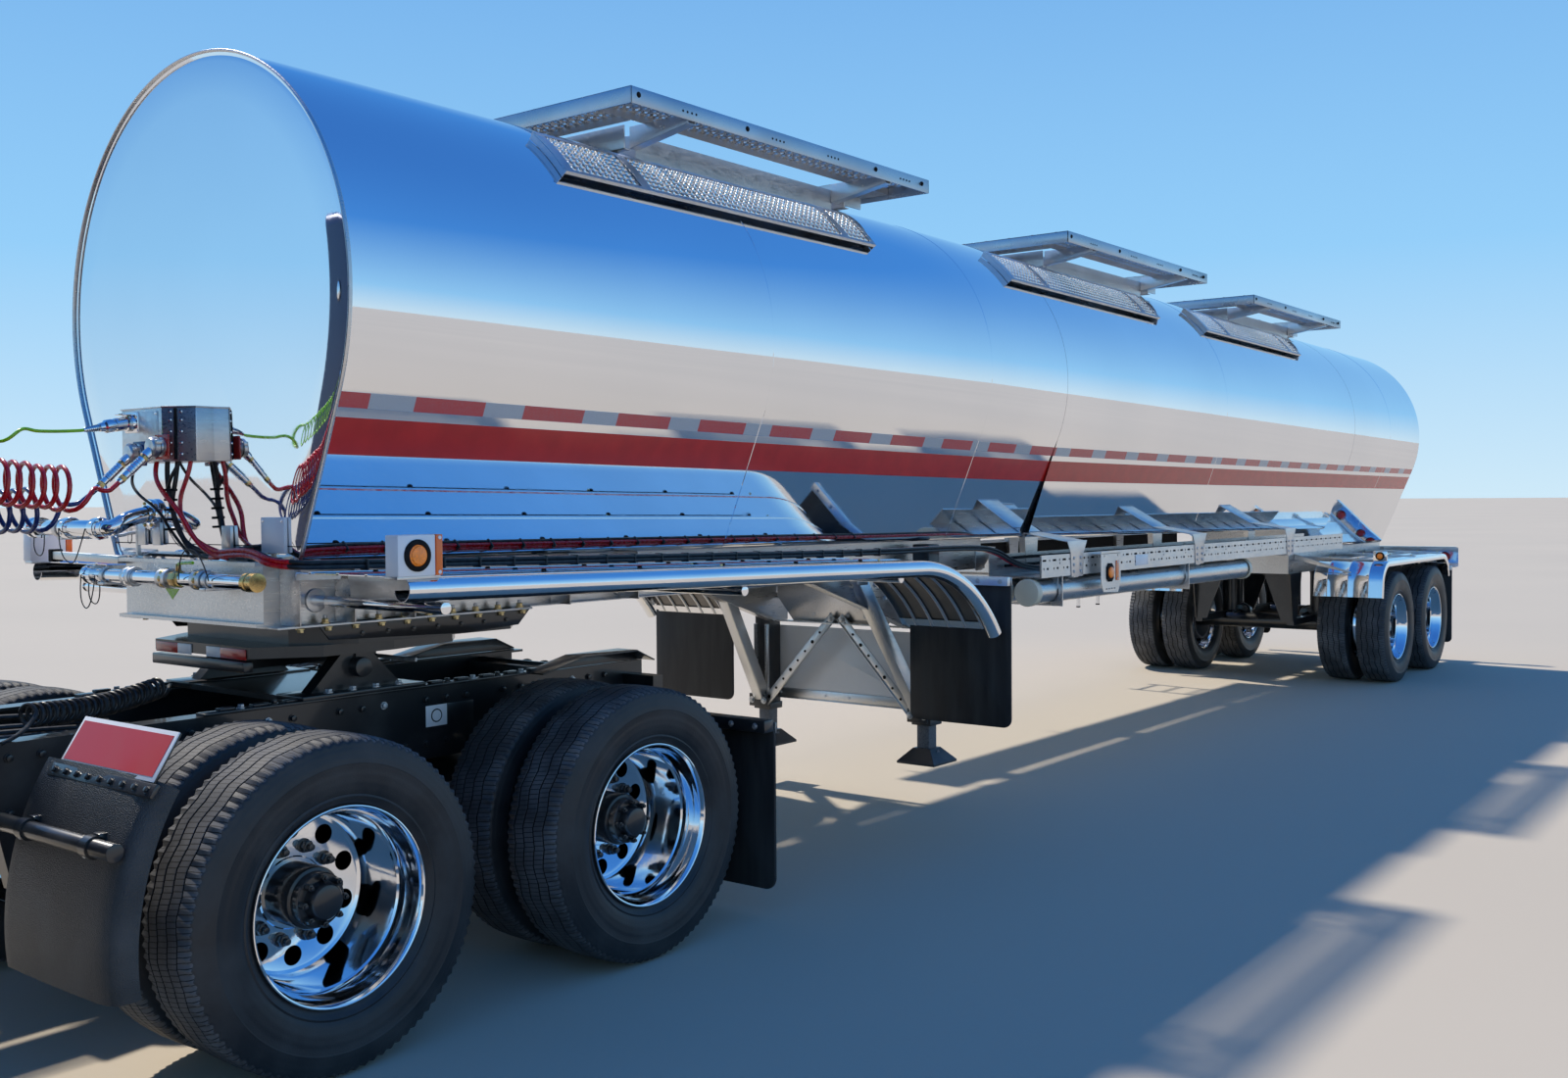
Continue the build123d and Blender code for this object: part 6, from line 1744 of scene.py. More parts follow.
class TANKER_OT_nose(bpy.types.Operator):
    """Makes the fittings on the trailer's nose: couplings, plug, pipes and hoses"""

    bl_idname = "tanker.nose"
    bl_label = "Nose fittings"
    bl_options = {"REGISTER", "UNDO"}

    def execute(self, context):
        nose = Piece(
            "nose_couplings", satin_steel(), chrome(), brass(), black_hose(), red_line(), black_rubber_and_shade(),
            white_paint(), mill_aluminium(), blue_line(), red_reflector(), gold_zinc(), green_line(),
        )
        self.box(nose)
        self.couplings(nose)
        self.pipes(nose)
        self.hoses(nose)
        nose.done("trailer", "stainless", "nose_fittings", crease=32)
        return {"FINISHED"}

    def box(self, nose):
        """The folded box, its lid, seams, screws and placards."""
        outline = [
            (-0.280, TANK_Y + 0.004), (-0.280, NOSE_Y), (-0.005, NOSE_Y), (0.100, TANK_Y - 0.067), (0.100,
                TANK_Y + 0.004),
        ]
        nose.add(plate(outline, "xyz", 1.850, 2.041, 0.004), 0)
        lid = [(-0.283, TANK_Y), (-0.283, NOSE_Y - 0.003), (-0.004, NOSE_Y - 0.003), (0.103, TANK_Y - 0.070), (0.103,
            TANK_Y)]
        nose.add(plate(lid, "xyz", 2.039, 2.044, 0.001), 0)
        nose.add(block((-0.270, NOSE_Y - 0.003, 1.862), (-0.030, NOSE_Y + 0.001, 2.028), 0.0015), 7)
        slant = Vector((0.105, 0.070, 0)).normalized()
        out = Vector((slant.y, -slant.x, 0))
        corner = Vector((-0.005, NOSE_Y, 0))
        for offset in (0.030, 0.070):
            for z in (1.875, 1.915, 1.955, 1.995, 2.025):
                nose.add(bolt(corner + slant * offset + Vector((0, 0, z)), out, 0.0045, 0.005), 1)
        strip = corner + slant * 0.050
        nose.add(rod(strip + Vector((0, 0, 1.856)) + out * 0.001, strip + Vector((0, 0, 2.036)) + out * 0.001, 0.006,
            8), 5)
        for x in (-0.262, -0.038):
            for z in (1.870, 2.020):
                nose.add(bolt((x, NOSE_Y - 0.003, z), -REAR, 0.004, 0.004), 1)
        nose.add(block((-0.262, NOSE_Y - 0.006, 2.000), (-0.228, NOSE_Y - 0.002, 2.026), 0.001), 6)
        for x, z in ((-0.388, 1.590), (-0.283, 1.590), (0.181, 1.580)):
            nose.add(block((x - 0.028, TANK_Y - 0.012, z - 0.042), (x + 0.028, TANK_Y + 0.002, z + 0.042), 0.002), 7)
        nose.add(block((0.398, TANK_Y - 0.012, 1.530), (0.534, TANK_Y + 0.002, 1.652), 0.002), 6)
        for x in (0.410, 0.522):
            nose.add(bolt((x, TANK_Y - 0.012, 1.640), -REAR, 0.004, 0.003), 1)

    def couplings(self, nose):
        """The two air couplings and the electric plug."""
        for x, z, tint in ((0.0, 1.900, 4), (-0.150, 1.880, 8)):
            nose.add(block((x - 0.044, NOSE_Y - 0.006, z - 0.044), (x + 0.044, NOSE_Y + 0.001, z + 0.044), 0.006),
                9 if tint == 4 else 8)
            nose.add(turned(
                [(0, 0.034), (0.010, 0.034), (0.012, 0.028), (0.022, 0.027), (0.024, 0.036), (0.044, 0.036),
                 (0.048, 0.031), (0.052, 0.029), (0.053, 0.012), (0.055, 0.0)], (x, NOSE_Y, z), -REAR, 36,
            ), 7)
            nose.add(ring_of((x, NOSE_Y - 0.023, z), (x, NOSE_Y - 0.027, z), 0.0375), 5)
            for angle in (0.5, 3.6):
                lug = Vector((cos(angle), 0, sin(angle))) * 0.034
                centre = Vector((x, NOSE_Y - 0.034, z)) + lug
                nose.add(block(centre - Vector((0.010, 0.012, 0.008)), centre + Vector((0.010, 0.012, 0.008)), 0.003),
                    7)
            fitting, leave = Vector((x, NOSE_Y - 0.040, z - 0.010)), Vector((x, TANK_Y - 0.299, z - 0.126))
            along = (leave - fitting).normalized()
            long = (leave - fitting).length
            nose.add(turned(
                [(0, 0.016), (0.020, 0.018), (0.036, 0.018), (0.040, 0.0125), (0.048, 0.0125), (0.050, 0.0155),
                 (long - 0.052, 0.0155), (long - 0.050, 0.0130), (long - 0.030, 0.0130), (long - 0.028, 0.0115),
                 (long - 0.004, 0.0110), (long, 0.0085), (long, 0.0)], fitting, along, 28,
            ), 1)
            nose.add(rod(fitting + along * (long - 0.030), fitting + along * (long - 0.012), 0.0135, 6, 0.001), 2)
            nose.add(rod(fitting + along * 0.038, fitting + along * 0.050, 0.0165, 6, 0.001), 2)
            for step in range(5):
                start = fitting + along * (0.060 + 0.012 * step)
                nose.add(ring_of(start, start + along * 0.004, 0.0165), 1)
        socket = Vector((-0.200, NOSE_Y, 1.990))
        nose.add(block((-0.245, NOSE_Y - 0.008, 1.955), (-0.155, NOSE_Y + 0.001, 2.030), 0.005), 1)
        nose.add(turned([(0.004, 0.030), (0.026, 0.030), (0.028, 0.026), (0.030, 0.024)], socket, -REAR, 32), 1)
        start, leave = Vector((-0.200, NOSE_Y - 0.025, 1.990)), Vector((-0.200, NOSE_Y - 0.180, 1.960))
        along = (leave - start).normalized()
        nose.add(turned(
            [(0, 0.024), (0.044, 0.024), (0.046, 0.021), (0.052, 0.021), (0.054, 0.0235), (0.078, 0.0235),
             (0.084, 0.017), (0.100, 0.015), (0.102, 0.012), (0.152, 0.0080), (0.157, 0.0062), (0.157, 0.0)],
            start, along, 28,
        ), 1)
        for step in range(7):
            place = start + along * (0.104 + 0.007 * step)
            nose.add(ring_of(place, place + along * 0.003, 0.0125 - 0.0005 * step), 5)
        nose.add(plate(
            [(-0.228, NOSE_Y - 0.010), (-0.228, NOSE_Y - 0.052), (-0.214, NOSE_Y - 0.060), (-0.186, NOSE_Y - 0.060),
             (-0.172, NOSE_Y - 0.052), (-0.172, NOSE_Y - 0.010)], "xyz", 2.018, 2.022, 0.001,
        ), 1)

    def pipes(self, nose):
        """The upper and lower pipes with caps, rings, brackets, valve and tethers."""
        upper, lower = 1.612, 1.442
        nose.add(rod((-0.900, PIPE_Y, upper), (-0.345, PIPE_Y, upper), 0.030, 40, 0.001), 1)
        nose.add(pipe(
            [(-0.380, PIPE_Y, upper), (-0.345, PIPE_Y, upper), (-0.325, PIPE_Y + 0.020, upper + 0.004),
             (-0.320, PIPE_Y + 0.060, upper + 0.030), (-0.320, TANK_Y - 0.040, upper + 0.050), (-0.320, TANK_Y - 0.004,
                 upper + 0.050)],
            0.030, 24,
        ), 1)
        nose.add(turned([(0, 0.055), (0.004, 0.057), (0.018, 0.057), (0.022, 0.054), (0.024, 0.034), (0.034, 0.032)],
                        (-0.320, TANK_Y + 0.001, upper + 0.050), -REAR, 40), 1)
        for step in range(6):
            angle = 2 * pi * step / 6
            nose.add(bolt((-0.320 + 0.046 * cos(angle), TANK_Y - 0.021, upper + 0.050 + 0.046 * sin(angle)), -REAR,
                0.005, 0.006), 2)
        camlock_cap(nose, (-0.905, PIPE_Y, upper), (-0.830, PIPE_Y, upper), 0.040, 1, 3)
        for x in (-0.640, -0.420):
            nose.add(ring_of((x, PIPE_Y, upper), (x + 0.045, PIPE_Y, upper), 0.040, 0.010), 1)
            nose.add(rod((x + 0.018, PIPE_Y, upper), (x + 0.027, PIPE_Y, upper), 0.043, 6, 0.001), 7)
        nose.add(pipe(
            [(-0.62, PIPE_Y - 0.041, upper), (-0.60, PIPE_Y - 0.05, upper - 0.09), (-0.53, PIPE_Y - 0.04, upper - 0.14),
             (-0.46, PIPE_Y - 0.05, upper - 0.10), (-0.42, PIPE_Y - 0.041, upper)], 0.0022, 6,
        ), 3)
        nose.add(rod((-0.480, PIPE_Y, lower), (0.560, PIPE_Y, lower), 0.0245, 36), 1)
        camlock_cap(nose, (-0.485, PIPE_Y, lower), (-0.415, PIPE_Y, lower), 0.035, 1, 3)
        for x in (-0.200, 0.040, 0.260):
            nose.add(ring_of((x, PIPE_Y, lower), (x + 0.060, PIPE_Y, lower), 0.0345, 0.009), 7)
            nose.add(rod((x + 0.022, PIPE_Y, lower), (x + 0.038, PIPE_Y, lower), 0.037, 8, 0.001), 2 if x > 0 else 1)
        nose.add(rod((0.115, PIPE_Y - 0.002, lower), (0.165, PIPE_Y - 0.002, lower), 0.030, 8, 0.002), 2)
        nose.add(rod((0.140, PIPE_Y, lower + 0.028), (0.140, PIPE_Y, lower + 0.052), 0.009, 12, 0.001), 2)
        nose.add(pipe([(0.140, PIPE_Y, lower + 0.050), (0.150, PIPE_Y - 0.004, lower + 0.056), (0.250, PIPE_Y - 0.010,
            lower + 0.058)], 0.0055, 8), 11)
        nose.add(plate([(0.060, lower - 0.034), (0.150, lower - 0.034), (0.105, lower - 0.072)], "xzy", PIPE_Y - 0.004,
            PIPE_Y - 0.002), 11)
        nose.add(turned(
            [(0.555, 0.026), (0.558, 0.031), (0.575, 0.0315), (0.577, 0.0275), (0.590, 0.0275), (0.592, 0.0315),
             (0.619, 0.0315), (0.620, 0.024), (0.6195, 0.0)], (0, PIPE_Y, lower), LEFT, 36,
        ), 2)
        nose.add(pipe([(0.20, PIPE_Y - 0.034, lower), (0.215, PIPE_Y - 0.04, lower + 0.09), (0.30, PIPE_Y - 0.035,
            lower + 0.115),
                       (0.375, PIPE_Y - 0.04, lower + 0.05), (0.38, PIPE_Y - 0.030, lower)], 0.0022, 6), 3)
        nose.add(pipe([(-0.47, PIPE_Y - 0.034, lower), (-0.475, PIPE_Y - 0.04, lower - 0.08), (-0.425, PIPE_Y - 0.04,
            lower - 0.135),
                       (-0.375, PIPE_Y - 0.04, lower - 0.08), (-0.380, PIPE_Y - 0.028, lower)], 0.0022, 6), 3)
        for x in (-0.340, 0.340):
            nose.add(block((x - 0.020, PIPE_Y - 0.030, lower - 0.034), (x + 0.020, KINGPIN.y - 0.4435, lower - 0.024),
                0.002), 7)
            nose.add(turned([(-0.010, 0.0265), (-0.010, 0.031), (0.010, 0.031), (0.010, 0.0265)], (x, PIPE_Y, lower),
                LEFT, 28), 7)
        nose.add(block((-0.700, PIPE_Y - 0.010, upper - 0.044), (-0.660, TANK_Y + 0.002, upper - 0.030), 0.002), 7)
        nose.add(turned([(-0.012, 0.031), (-0.012, 0.036), (0.012, 0.036), (0.012, 0.031)], (-0.680, PIPE_Y, upper),
            LEFT, 28), 7)

    def hoses(self, nose):
        """Hoses from the box down to the channel, and the tied bundle on to the tank's left side."""
        shelf = 1.512
        runs = (
            (3, 0.0090, ((-0.060, -3.395, 1.852), (-0.060, -3.400, 1.800), (-0.030, -3.400, 1.680), (0.010, -3.385,
                1.580),
                         (0.070, -3.370, shelf), (0.200, -3.362, shelf))),
            (3, 0.0085, ((-0.020, -3.380, 1.852), (-0.010, -3.390, 1.800), (-0.045, -3.395, 1.690), (0.000, -3.390,
                1.590),
                         (0.060, -3.360, shelf + 0.018), (0.200, -3.352, shelf + 0.014))),
            (4, 0.0085, ((-0.100, -3.410, 1.860), (-0.090, -3.430, 1.810), (-0.030, -3.440, 1.750), (0.070, -3.425,
                1.670),
                         (0.110, -3.400, 1.580), (0.170, -3.375, shelf + 0.010), (0.260, -3.365, shelf))),
            (4, 0.0080, ((0.050, -3.370, 1.852), (0.055, -3.380, 1.810), (0.015, -3.400, 1.710), (0.060, -3.405, 1.620),
                         (0.130, -3.380, 1.550), (0.240, -3.358, shelf + 0.014))),
            (3, 0.0055, ((-0.270, -3.390, 1.852), (-0.275, -3.420, 1.800), (-0.200, -3.440, 1.740), (-0.080, -3.420,
                1.680),
                         (-0.035, -3.400, 1.600), (0.030, -3.372, shelf + 0.010))),
            (3, 0.0065, ((0.020, -3.392, 1.852), (0.020, -3.410, 1.825), (-0.015, -3.412, 1.790), (-0.050, -3.404,
                1.750))),
        )
        for finish, radius, points in runs:
            nose.add(pipe(points, radius, 10), finish)
        for step in range(5):
            place = (-0.040, -3.397, 1.750 - 0.035 * step)
            ring = [(-0.004, 0.019), (-0.004, 0.023), (0.004, 0.023), (0.004, 0.019)]
            nose.add(turned(ring, place, UP, 16, closed=True), 5)
        for finish, radius, aside, above in ((4, 0.0095, 0, 0), (3, 0.0090, 0.019, 0), (4, 0.0080, 0.006, 0.016), (3,
            0.0075, 0.022, 0.016)):
            points = [
                (0.160, -3.366 + aside * 0.4, shelf + above), (0.330, -3.370 + aside * 0.4, shelf + 0.016 + above),
                (0.440, -3.374 + aside * 0.4, shelf + 0.010 + above), (0.540, -3.385 + aside, 1.494 + above),
                (0.625 + aside, -3.340, 1.487 + above), (0.650 + aside, -3.220, 1.486 + above),
                (0.655 + aside, -2.400, 1.468 + above), (0.655 + aside, -1.200, 1.444 + above),
                (0.655 + aside, -0.400, 1.428 + above), (0.650 + aside, 0.100, 1.420 + above),
                (0.645 + aside, 0.900, 1.418 + above), (0.650 + aside, 1.250, 1.400 + above),
                (0.670 + aside, 1.500, 1.290 + above), (0.675 + aside, 1.900, 1.258 + above),
                (0.675 + aside, 4.000, 1.257 + above), (0.675 + aside, 6.900, 1.257 + above),
            ]
            nose.add(pipe(points, radius, 10), finish)
        for step in range(20):
            y = -3.10 + 0.165 * step
            z = 1.484 - 0.0205 * max(0, y + 3.2) if y < -0.4 else 1.426 - 0.010 * (y + 0.4)
            nose.add(block((0.642, y, z - 0.013), (0.686, y + 0.010, z + 0.027), 0.004), 3)
        for step in range(31):
            y = 1.90 + 0.16 * step
            nose.add(block((0.662, y, 1.246), (0.708, y + 0.010, 1.284), 0.004), 3)


# Trailer frame, landing gear and flaps


def beam(start, end, wide, deep, across=LEFT, bevel=0.0):
    """A bar of a given width and depth from one point to another; across is its width's side."""
    start, end = Vector(start), Vector(end)
    along = (end - start).normalized()
    side = (across - along * across.dot(along)).normalized()
    shape = block((-wide / 2, -deep / 2, 0), (wide / 2, deep / 2, (end - start).length), bevel)
    turn = Matrix((side, along.cross(side), along)).transposed().to_4x4()
    bmesh.ops.transform(shape, matrix=Matrix.Translation(start) @ turn, verts=shape.verts)
    return shape


def punched(outline, holes, plane, start, end):
    """A flat plate with openings, each a loop of corners in the plate's two axes."""
    shape = bmesh.new()
    order = ["xyz".index(axis) for axis in plane]
    for loop in (outline, *holes):
        corners = []
        for across, along in loop:
            place = [0.0, 0.0, 0.0]
            place[order[0]], place[order[1]], place[order[2]] = across, along, start
            corners.append(shape.verts.new(place))
        for pair in zip(corners, corners[1:] + corners[:1]):
            shape.edges.new(pair)
    bmesh.ops.triangle_fill(shape, use_beauty=True, use_dissolve=False, edges=shape.edges[:])
    pushed = bmesh.ops.extrude_face_region(shape, geom=shape.faces[:])
    push = [0.0, 0.0, 0.0]
    push[order[2]] = end - start
    bmesh.ops.translate(shape, vec=push, verts=[item for item in pushed["geom"] if isinstance(item,
        bmesh.types.BMVert)])
    return shape


def slot_loop(across, along, long, wide, sides=8):
    """A slot's outline about a centre, its length along the first axis."""
    radius, half = wide / 2, max(0.0, (long - wide) / 2)
    loop = []
    for step in range(sides):
        angle = -pi / 2 + pi * (step + 0.5) / (sides / 2)
        side = half if step < sides / 2 else -half
        loop.append((across + side + radius * cos(angle), along + radius * sin(angle)))
    return loop


def corner_loop(low, high, radius, steps=4):
    """A rectangle's outline with rounded corners."""
    loop = []
    for turn, (x, z) in enumerate(((high[0], high[1]), (low[0], high[1]), (low[0], low[1]), (high[0], low[1]))):
        centre_x = x + radius * (-1 if x == high[0] else 1)
        centre_z = z + radius * (-1 if z == high[1] else 1)
        for step in range(steps + 1):
            angle = pi / 2 * (turn + step / steps)
            loop.append((centre_x + radius * cos(angle), centre_z + radius * sin(angle)))
    return loop


RAIL_Z = 1.280
RAIL_X = 0.450
LEG_X = 0.560
LEG_Y = KINGPIN.y + 3.610


class TANKER_OT_frame(bpy.types.Operator):
    """Makes the trailer frame's flanges, bolts, gussets, punched trays, lamp plate and tube ends"""

    bl_idname = "tanker.frame"
    bl_label = "Trailer frame details"
    bl_options = {"REGISTER", "UNDO"}

    def execute(self, context):
        work = Piece(
            "frame_details", satin_steel(), black_rubber_and_shade(), gold_zinc(), zinc(), mill_aluminium(), chassis_black(),
            amber_lens(), orange_plastic(), cream_paint(), chrome(), white_paint(), red_reflector(), red_lens(),
        )
        self.coupler(work)
        self.trays(work)
        self.tubes(work)
        self.tail(work)
        work.done("trailer", "galvanised", crease=32)
        return {"FINISHED"}

    def coupler(self, work):
        """Flanges and bolts above the coupler, its side plates and the rails' gussets."""
        front, back = KINGPIN.y - 0.400, KINGPIN.y + 0.745
        work.add(block((0.385, front, RAIL_Z - 0.008), (0.512, back, RAIL_Z), 0.001), 4, both_sides())
        work.add(plate(
            [(front + 0.170, RAIL_Z - 0.009), (front + 0.210, 1.222), (back - 0.330, 1.202), (back - 0.065, 1.214),
                (back - 0.005, RAIL_Z - 0.009)],
            "yzx", 0.494, 0.502, 0.002,
        ), 5, both_sides())
        for step in range(10):
            y = KINGPIN.y - 0.310 + 0.112 * step
            work.add(bolt((0.487, y, RAIL_Z), UP, 0.0125, 0.018), 2, both_sides())
            work.add(rod((0.487, y, RAIL_Z + 0.018), (0.487, y, RAIL_Z + 0.030), 0.0075, 12, 0.001), 3, both_sides())
            work.add(bolt((0.506, y, RAIL_Z - 0.009), -UP, 0.0115, 0.015), 2, both_sides())
            if front + 0.220 < y < back - 0.060:
                work.add(bolt((0.502, y + 0.030, 1.238), LEFT, 0.008, 0.006), 5, both_sides())
        for y in (front + 0.050, KINGPIN.y - 0.130, KINGPIN.y + 0.127, KINGPIN.y + 0.900, KINGPIN.y + 1.300):
            work.add(plate(
                [(y, RAIL_Z + 0.002), (y + 0.006, RAIL_Z + 0.002), (y + 0.006, 1.610), (y, 1.610)], "yzx", RAIL_X,
                    0.565, 0.001,
            ), 0, both_sides())
        for y in [KINGPIN.y + 0.200 + 0.240 * step for step in range(15)]:
            work.add(bolt((RAIL_X, y, 1.340), LEFT, 0.010, 0.008), 3, both_sides())
        work.add(block((RAIL_X, back, RAIL_Z), (0.500, KINGPIN.y + 3.060, RAIL_Z + 0.005), 0.001), 0, both_sides())
        work.add(plate(
            [(-0.300, RAIL_Z - 0.001), (0.600, 0.985), (0.735, 0.985), (0.735, RAIL_Z - 0.001)], "yzx", RAIL_X + 0.004,
                RAIL_X + 0.010, 0.001,
        ), 0, both_sides())
        work.add(beam((RAIL_X + 0.030, -0.310, RAIL_Z - 0.002), (RAIL_X + 0.030, 0.602, 0.985), 0.060, 0.005, LEFT,
            0.001), 0, both_sides())
        for y, z in ((0.10, 1.24), (0.32, 1.24), (0.54, 1.24), (0.66, 1.20), (0.66, 1.10), (0.42, 1.16), (0.60, 1.06)):
            work.add(bolt((RAIL_X + 0.010, y, z), LEFT, 0.011, 0.009), 3, both_sides())
        work.add(plate(
            [(-0.450, RAIL_Z - 0.005), (-0.450, 1.130), (-0.330, 0.990), (0.330, 0.990), (0.450, 1.130), (0.450,
                RAIL_Z - 0.005)],
            "xzy", LEG_Y - 0.045, LEG_Y - 0.039, 0.001,
        ), 0)
        work.add(block((-0.430, LEG_Y - 0.080, 0.984), (0.430, LEG_Y - 0.039, 0.992), 0.002), 0)
        for x in (-0.18, -0.06, 0.06, 0.18):
            work.add(rod((x, LEG_Y - 0.0452, 1.035), (x, LEG_Y - 0.047, 1.035), 0.012, 16), 10)
        self.front_channel(work)

    def front_channel(self, work):
        """A bar along the channel across the nose, and a black block at its outer end."""
        y = KINGPIN.y - 0.443
        work.add(beam((-0.965, y + 0.018, 1.500), (-0.450, y + 0.018, 1.492), 0.040, 0.030, REAR, 0.002), 0)
        work.add(block((-0.990, y - 0.004, 1.474), (-0.955, y + 0.040, 1.524), 0.004), 1)

    def trays(self, work):
        """Punched side walls of the two long trays with a black sheet of painted shade behind each, their brackets,
        cross bars and the belly's drop plates.
        """
        start, end, low, high = 1.320, 6.945, 1.241, 1.369
        holes = []
        cell = 0.125
        for step in range(int((end - start) / cell)):
            y = start + cell * (step + 0.5)
            holes.append(slot_loop(y - 0.028, high - 0.030, 0.048, 0.013))
            holes.append(slot_loop(y + 0.036, high - 0.030, 0.014, 0.014))
            holes.append(slot_loop(y - 0.035, low + 0.050, 0.014, 0.014))
            holes.append(slot_loop(y + 0.012, low + 0.050, 0.026, 0.014))
            if step % 3 == 1:
                holes.append(slot_loop(y + 0.040, low + 0.078, 0.012, 0.012))
        outline = [(start, low), (end, low), (end, high), (start, high)]
        for x in (0.5870, 0.9312):
            # A thin black sheet just behind each punched wall, so the holes read dark: painted shade.
            work.add(block((x - 0.0006, start + 0.004, low + 0.002), (x, end - 0.004, high - 0.002)), 1, both_sides())
            work.add(punched(outline, holes, "yzx", x, x + 0.0024), 4, both_sides(), flat=True)
        for y in (1.765, 3.665, 5.565):
            work.add(plate(
                [(y - 0.075, 1.232), (y + 0.075, 1.232), (y + 0.085, 1.372), (y + 0.130, 1.445), (y - 0.130, 1.445),
                    (y - 0.085, 1.372)],
                "yzx", 0.9340, 0.9385, 0.001,
            ), 4, both_sides())
            work.add(beam((0.936, y, 1.440), (0.640, y, 1.490), 0.240, 0.005, REAR, 0.001), 4, both_sides())
            for shift in (-0.045, 0.045):
                for z in (1.262, 1.302, 1.342):
                    work.add(bolt((0.9385, y + shift, z), LEFT, 0.008, 0.006), 3, both_sides())
            work.add(block((-0.93, y - 0.030, 1.225), (0.93, y + 0.030, 1.239), 0.002), 0)
        for y in [start + 0.30 * step for step in range(1, 19)]:
            work.add(block((0.596, y - 0.012, 1.2465), (0.924, y + 0.012, 1.2535), 0.001), 4, both_sides())
        work.add(plate([(1.395, 1.270), (1.470, 1.270), (1.640, 1.405), (1.400, 1.420)], "yzx", 0.452, 0.456, 0.001),
            4, both_sides())
        for low_z in (1.300, 1.345):
            work.add(pipe([(0.62, 1.46, low_z), (0.62, 3.0, low_z), (0.62, 5.0, low_z - 0.01), (0.62, 6.9,
                low_z - 0.01)], 0.008, 8), 1)

    def tubes(self, work):
        """Cream caps, straps and clamps on the two hose tubes, and the plate with a lamp that hangs beside them."""
        for x in (0.670, 0.850):
            for y, facing in ((1.295, -REAR), (4.725, REAR)):
                work.add(turned(
                    [(-0.045, 0.0752), (-0.045, 0.0795), (-0.002, 0.0800), (0.004, 0.0770), (0.008, 0.060), (0.0095,
                        0.0)],
                    (x, y, 1.155), facing, 48,
                ), 8)
            for y in (1.565, 3.465):
                work.add(turned(
                    [(-0.020, 0.0752), (-0.020, 0.0778), (0.020, 0.0778), (0.020, 0.0752)], (x, y, 1.155), REAR, 48,
                ), 4)
        for y in (1.565, 3.465):
            work.add(punched(
                corner_loop((0.600, 1.165), (0.925, 1.245), 0.010),
                [slot_loop(0.655, 1.228, 0.020, 0.014), slot_loop(0.870, 1.228, 0.020, 0.014), slot_loop(0.760, 1.210,
                    0.030, 0.014)],
                "xzy", y - 0.024, y - 0.019,
            ), 4, flat=True)
        outline = [(1.985, 1.372), (1.985, 1.190), (2.020, 1.125), (2.225, 1.115), (2.262, 1.180), (2.262, 1.362)]
        holes = [slot_loop(2.060 + 0.038 * step, 1.142, 0.022, 0.010) for step in range(4)]
        holes += [slot_loop(2.030 + 0.190 * side, 1.345, 0.014, 0.014) for side in (0, 1)]
        work.add(punched(outline, holes, "yzx", 0.9830, 0.9870), 4, flat=True)
        work.add(block((0.925, 1.990, 1.355), (0.987, 2.258, 1.360), 0.001), 4)
        work.add(plate(
            [(2.060, 1.205), (2.085, 1.185), (2.125, 1.185), (2.150, 1.205), (2.150, 1.275), (2.125, 1.298), (2.085,
                1.298), (2.060, 1.275)],
            "yzx", 0.9872, 0.9950, 0.002,
        ), 1)
        work.add(turned([(0, 0.034), (0.008, 0.033), (0.012, 0.026), (0.014, 0.0)], (0.994, 2.105, 1.242), LEFT, 32), 6)
        work.add(block((0.9872, 2.190, 1.190), (0.9905, 2.232, 1.312), 0.001), 7)
        for z in (1.200, 1.302):
            work.add(rod((0.9905, 2.211, z), (0.9930, 2.211, z), 0.005, 12), 10)
        work.add(block((0.760, 2.620, 1.175), (0.880, 2.760, 1.245), 0.010), 1)
        work.add(plate([(2.600, 1.262), (2.790, 1.262), (2.790, 1.330), (2.600, 1.330)], "yzx", 0.9345, 0.9365, 0.001),
            10)

    def tail(self, work):
        """Lamps, blank plate and tape on the rear light bar and its guard."""
        back = TANK_END_Y + 0.260
        for x in (0.640, 0.790, 1.080):
            for sign in (1, -1):
                lamp(work, (sign * x, back + 0.0005, 1.065), REAR, 0.043, 0.013, 12)
        work.add(block((-0.160, back + 0.001, 1.000), (0.160, back + 0.004, 1.155), 0.001), 10)
        for x in (-0.130, 0.130):
            for z in (1.015, 1.140):
                work.add(bolt((x, back + 0.004, z), REAR, 0.005, 0.004), 3)
        for step in range(13):
            x = -1.040 + 0.160 * step
            work.add(block((x, back - 0.0095, 0.435), (x + 0.158, back - 0.008, 0.485)), 11 if step % 2 else 10)
        x = 0.410
        for z in (0.60, 0.75, 0.90):
            work.add(bolt((x, back - 0.006, z), REAR, 0.011, 0.008), 3, both_sides())


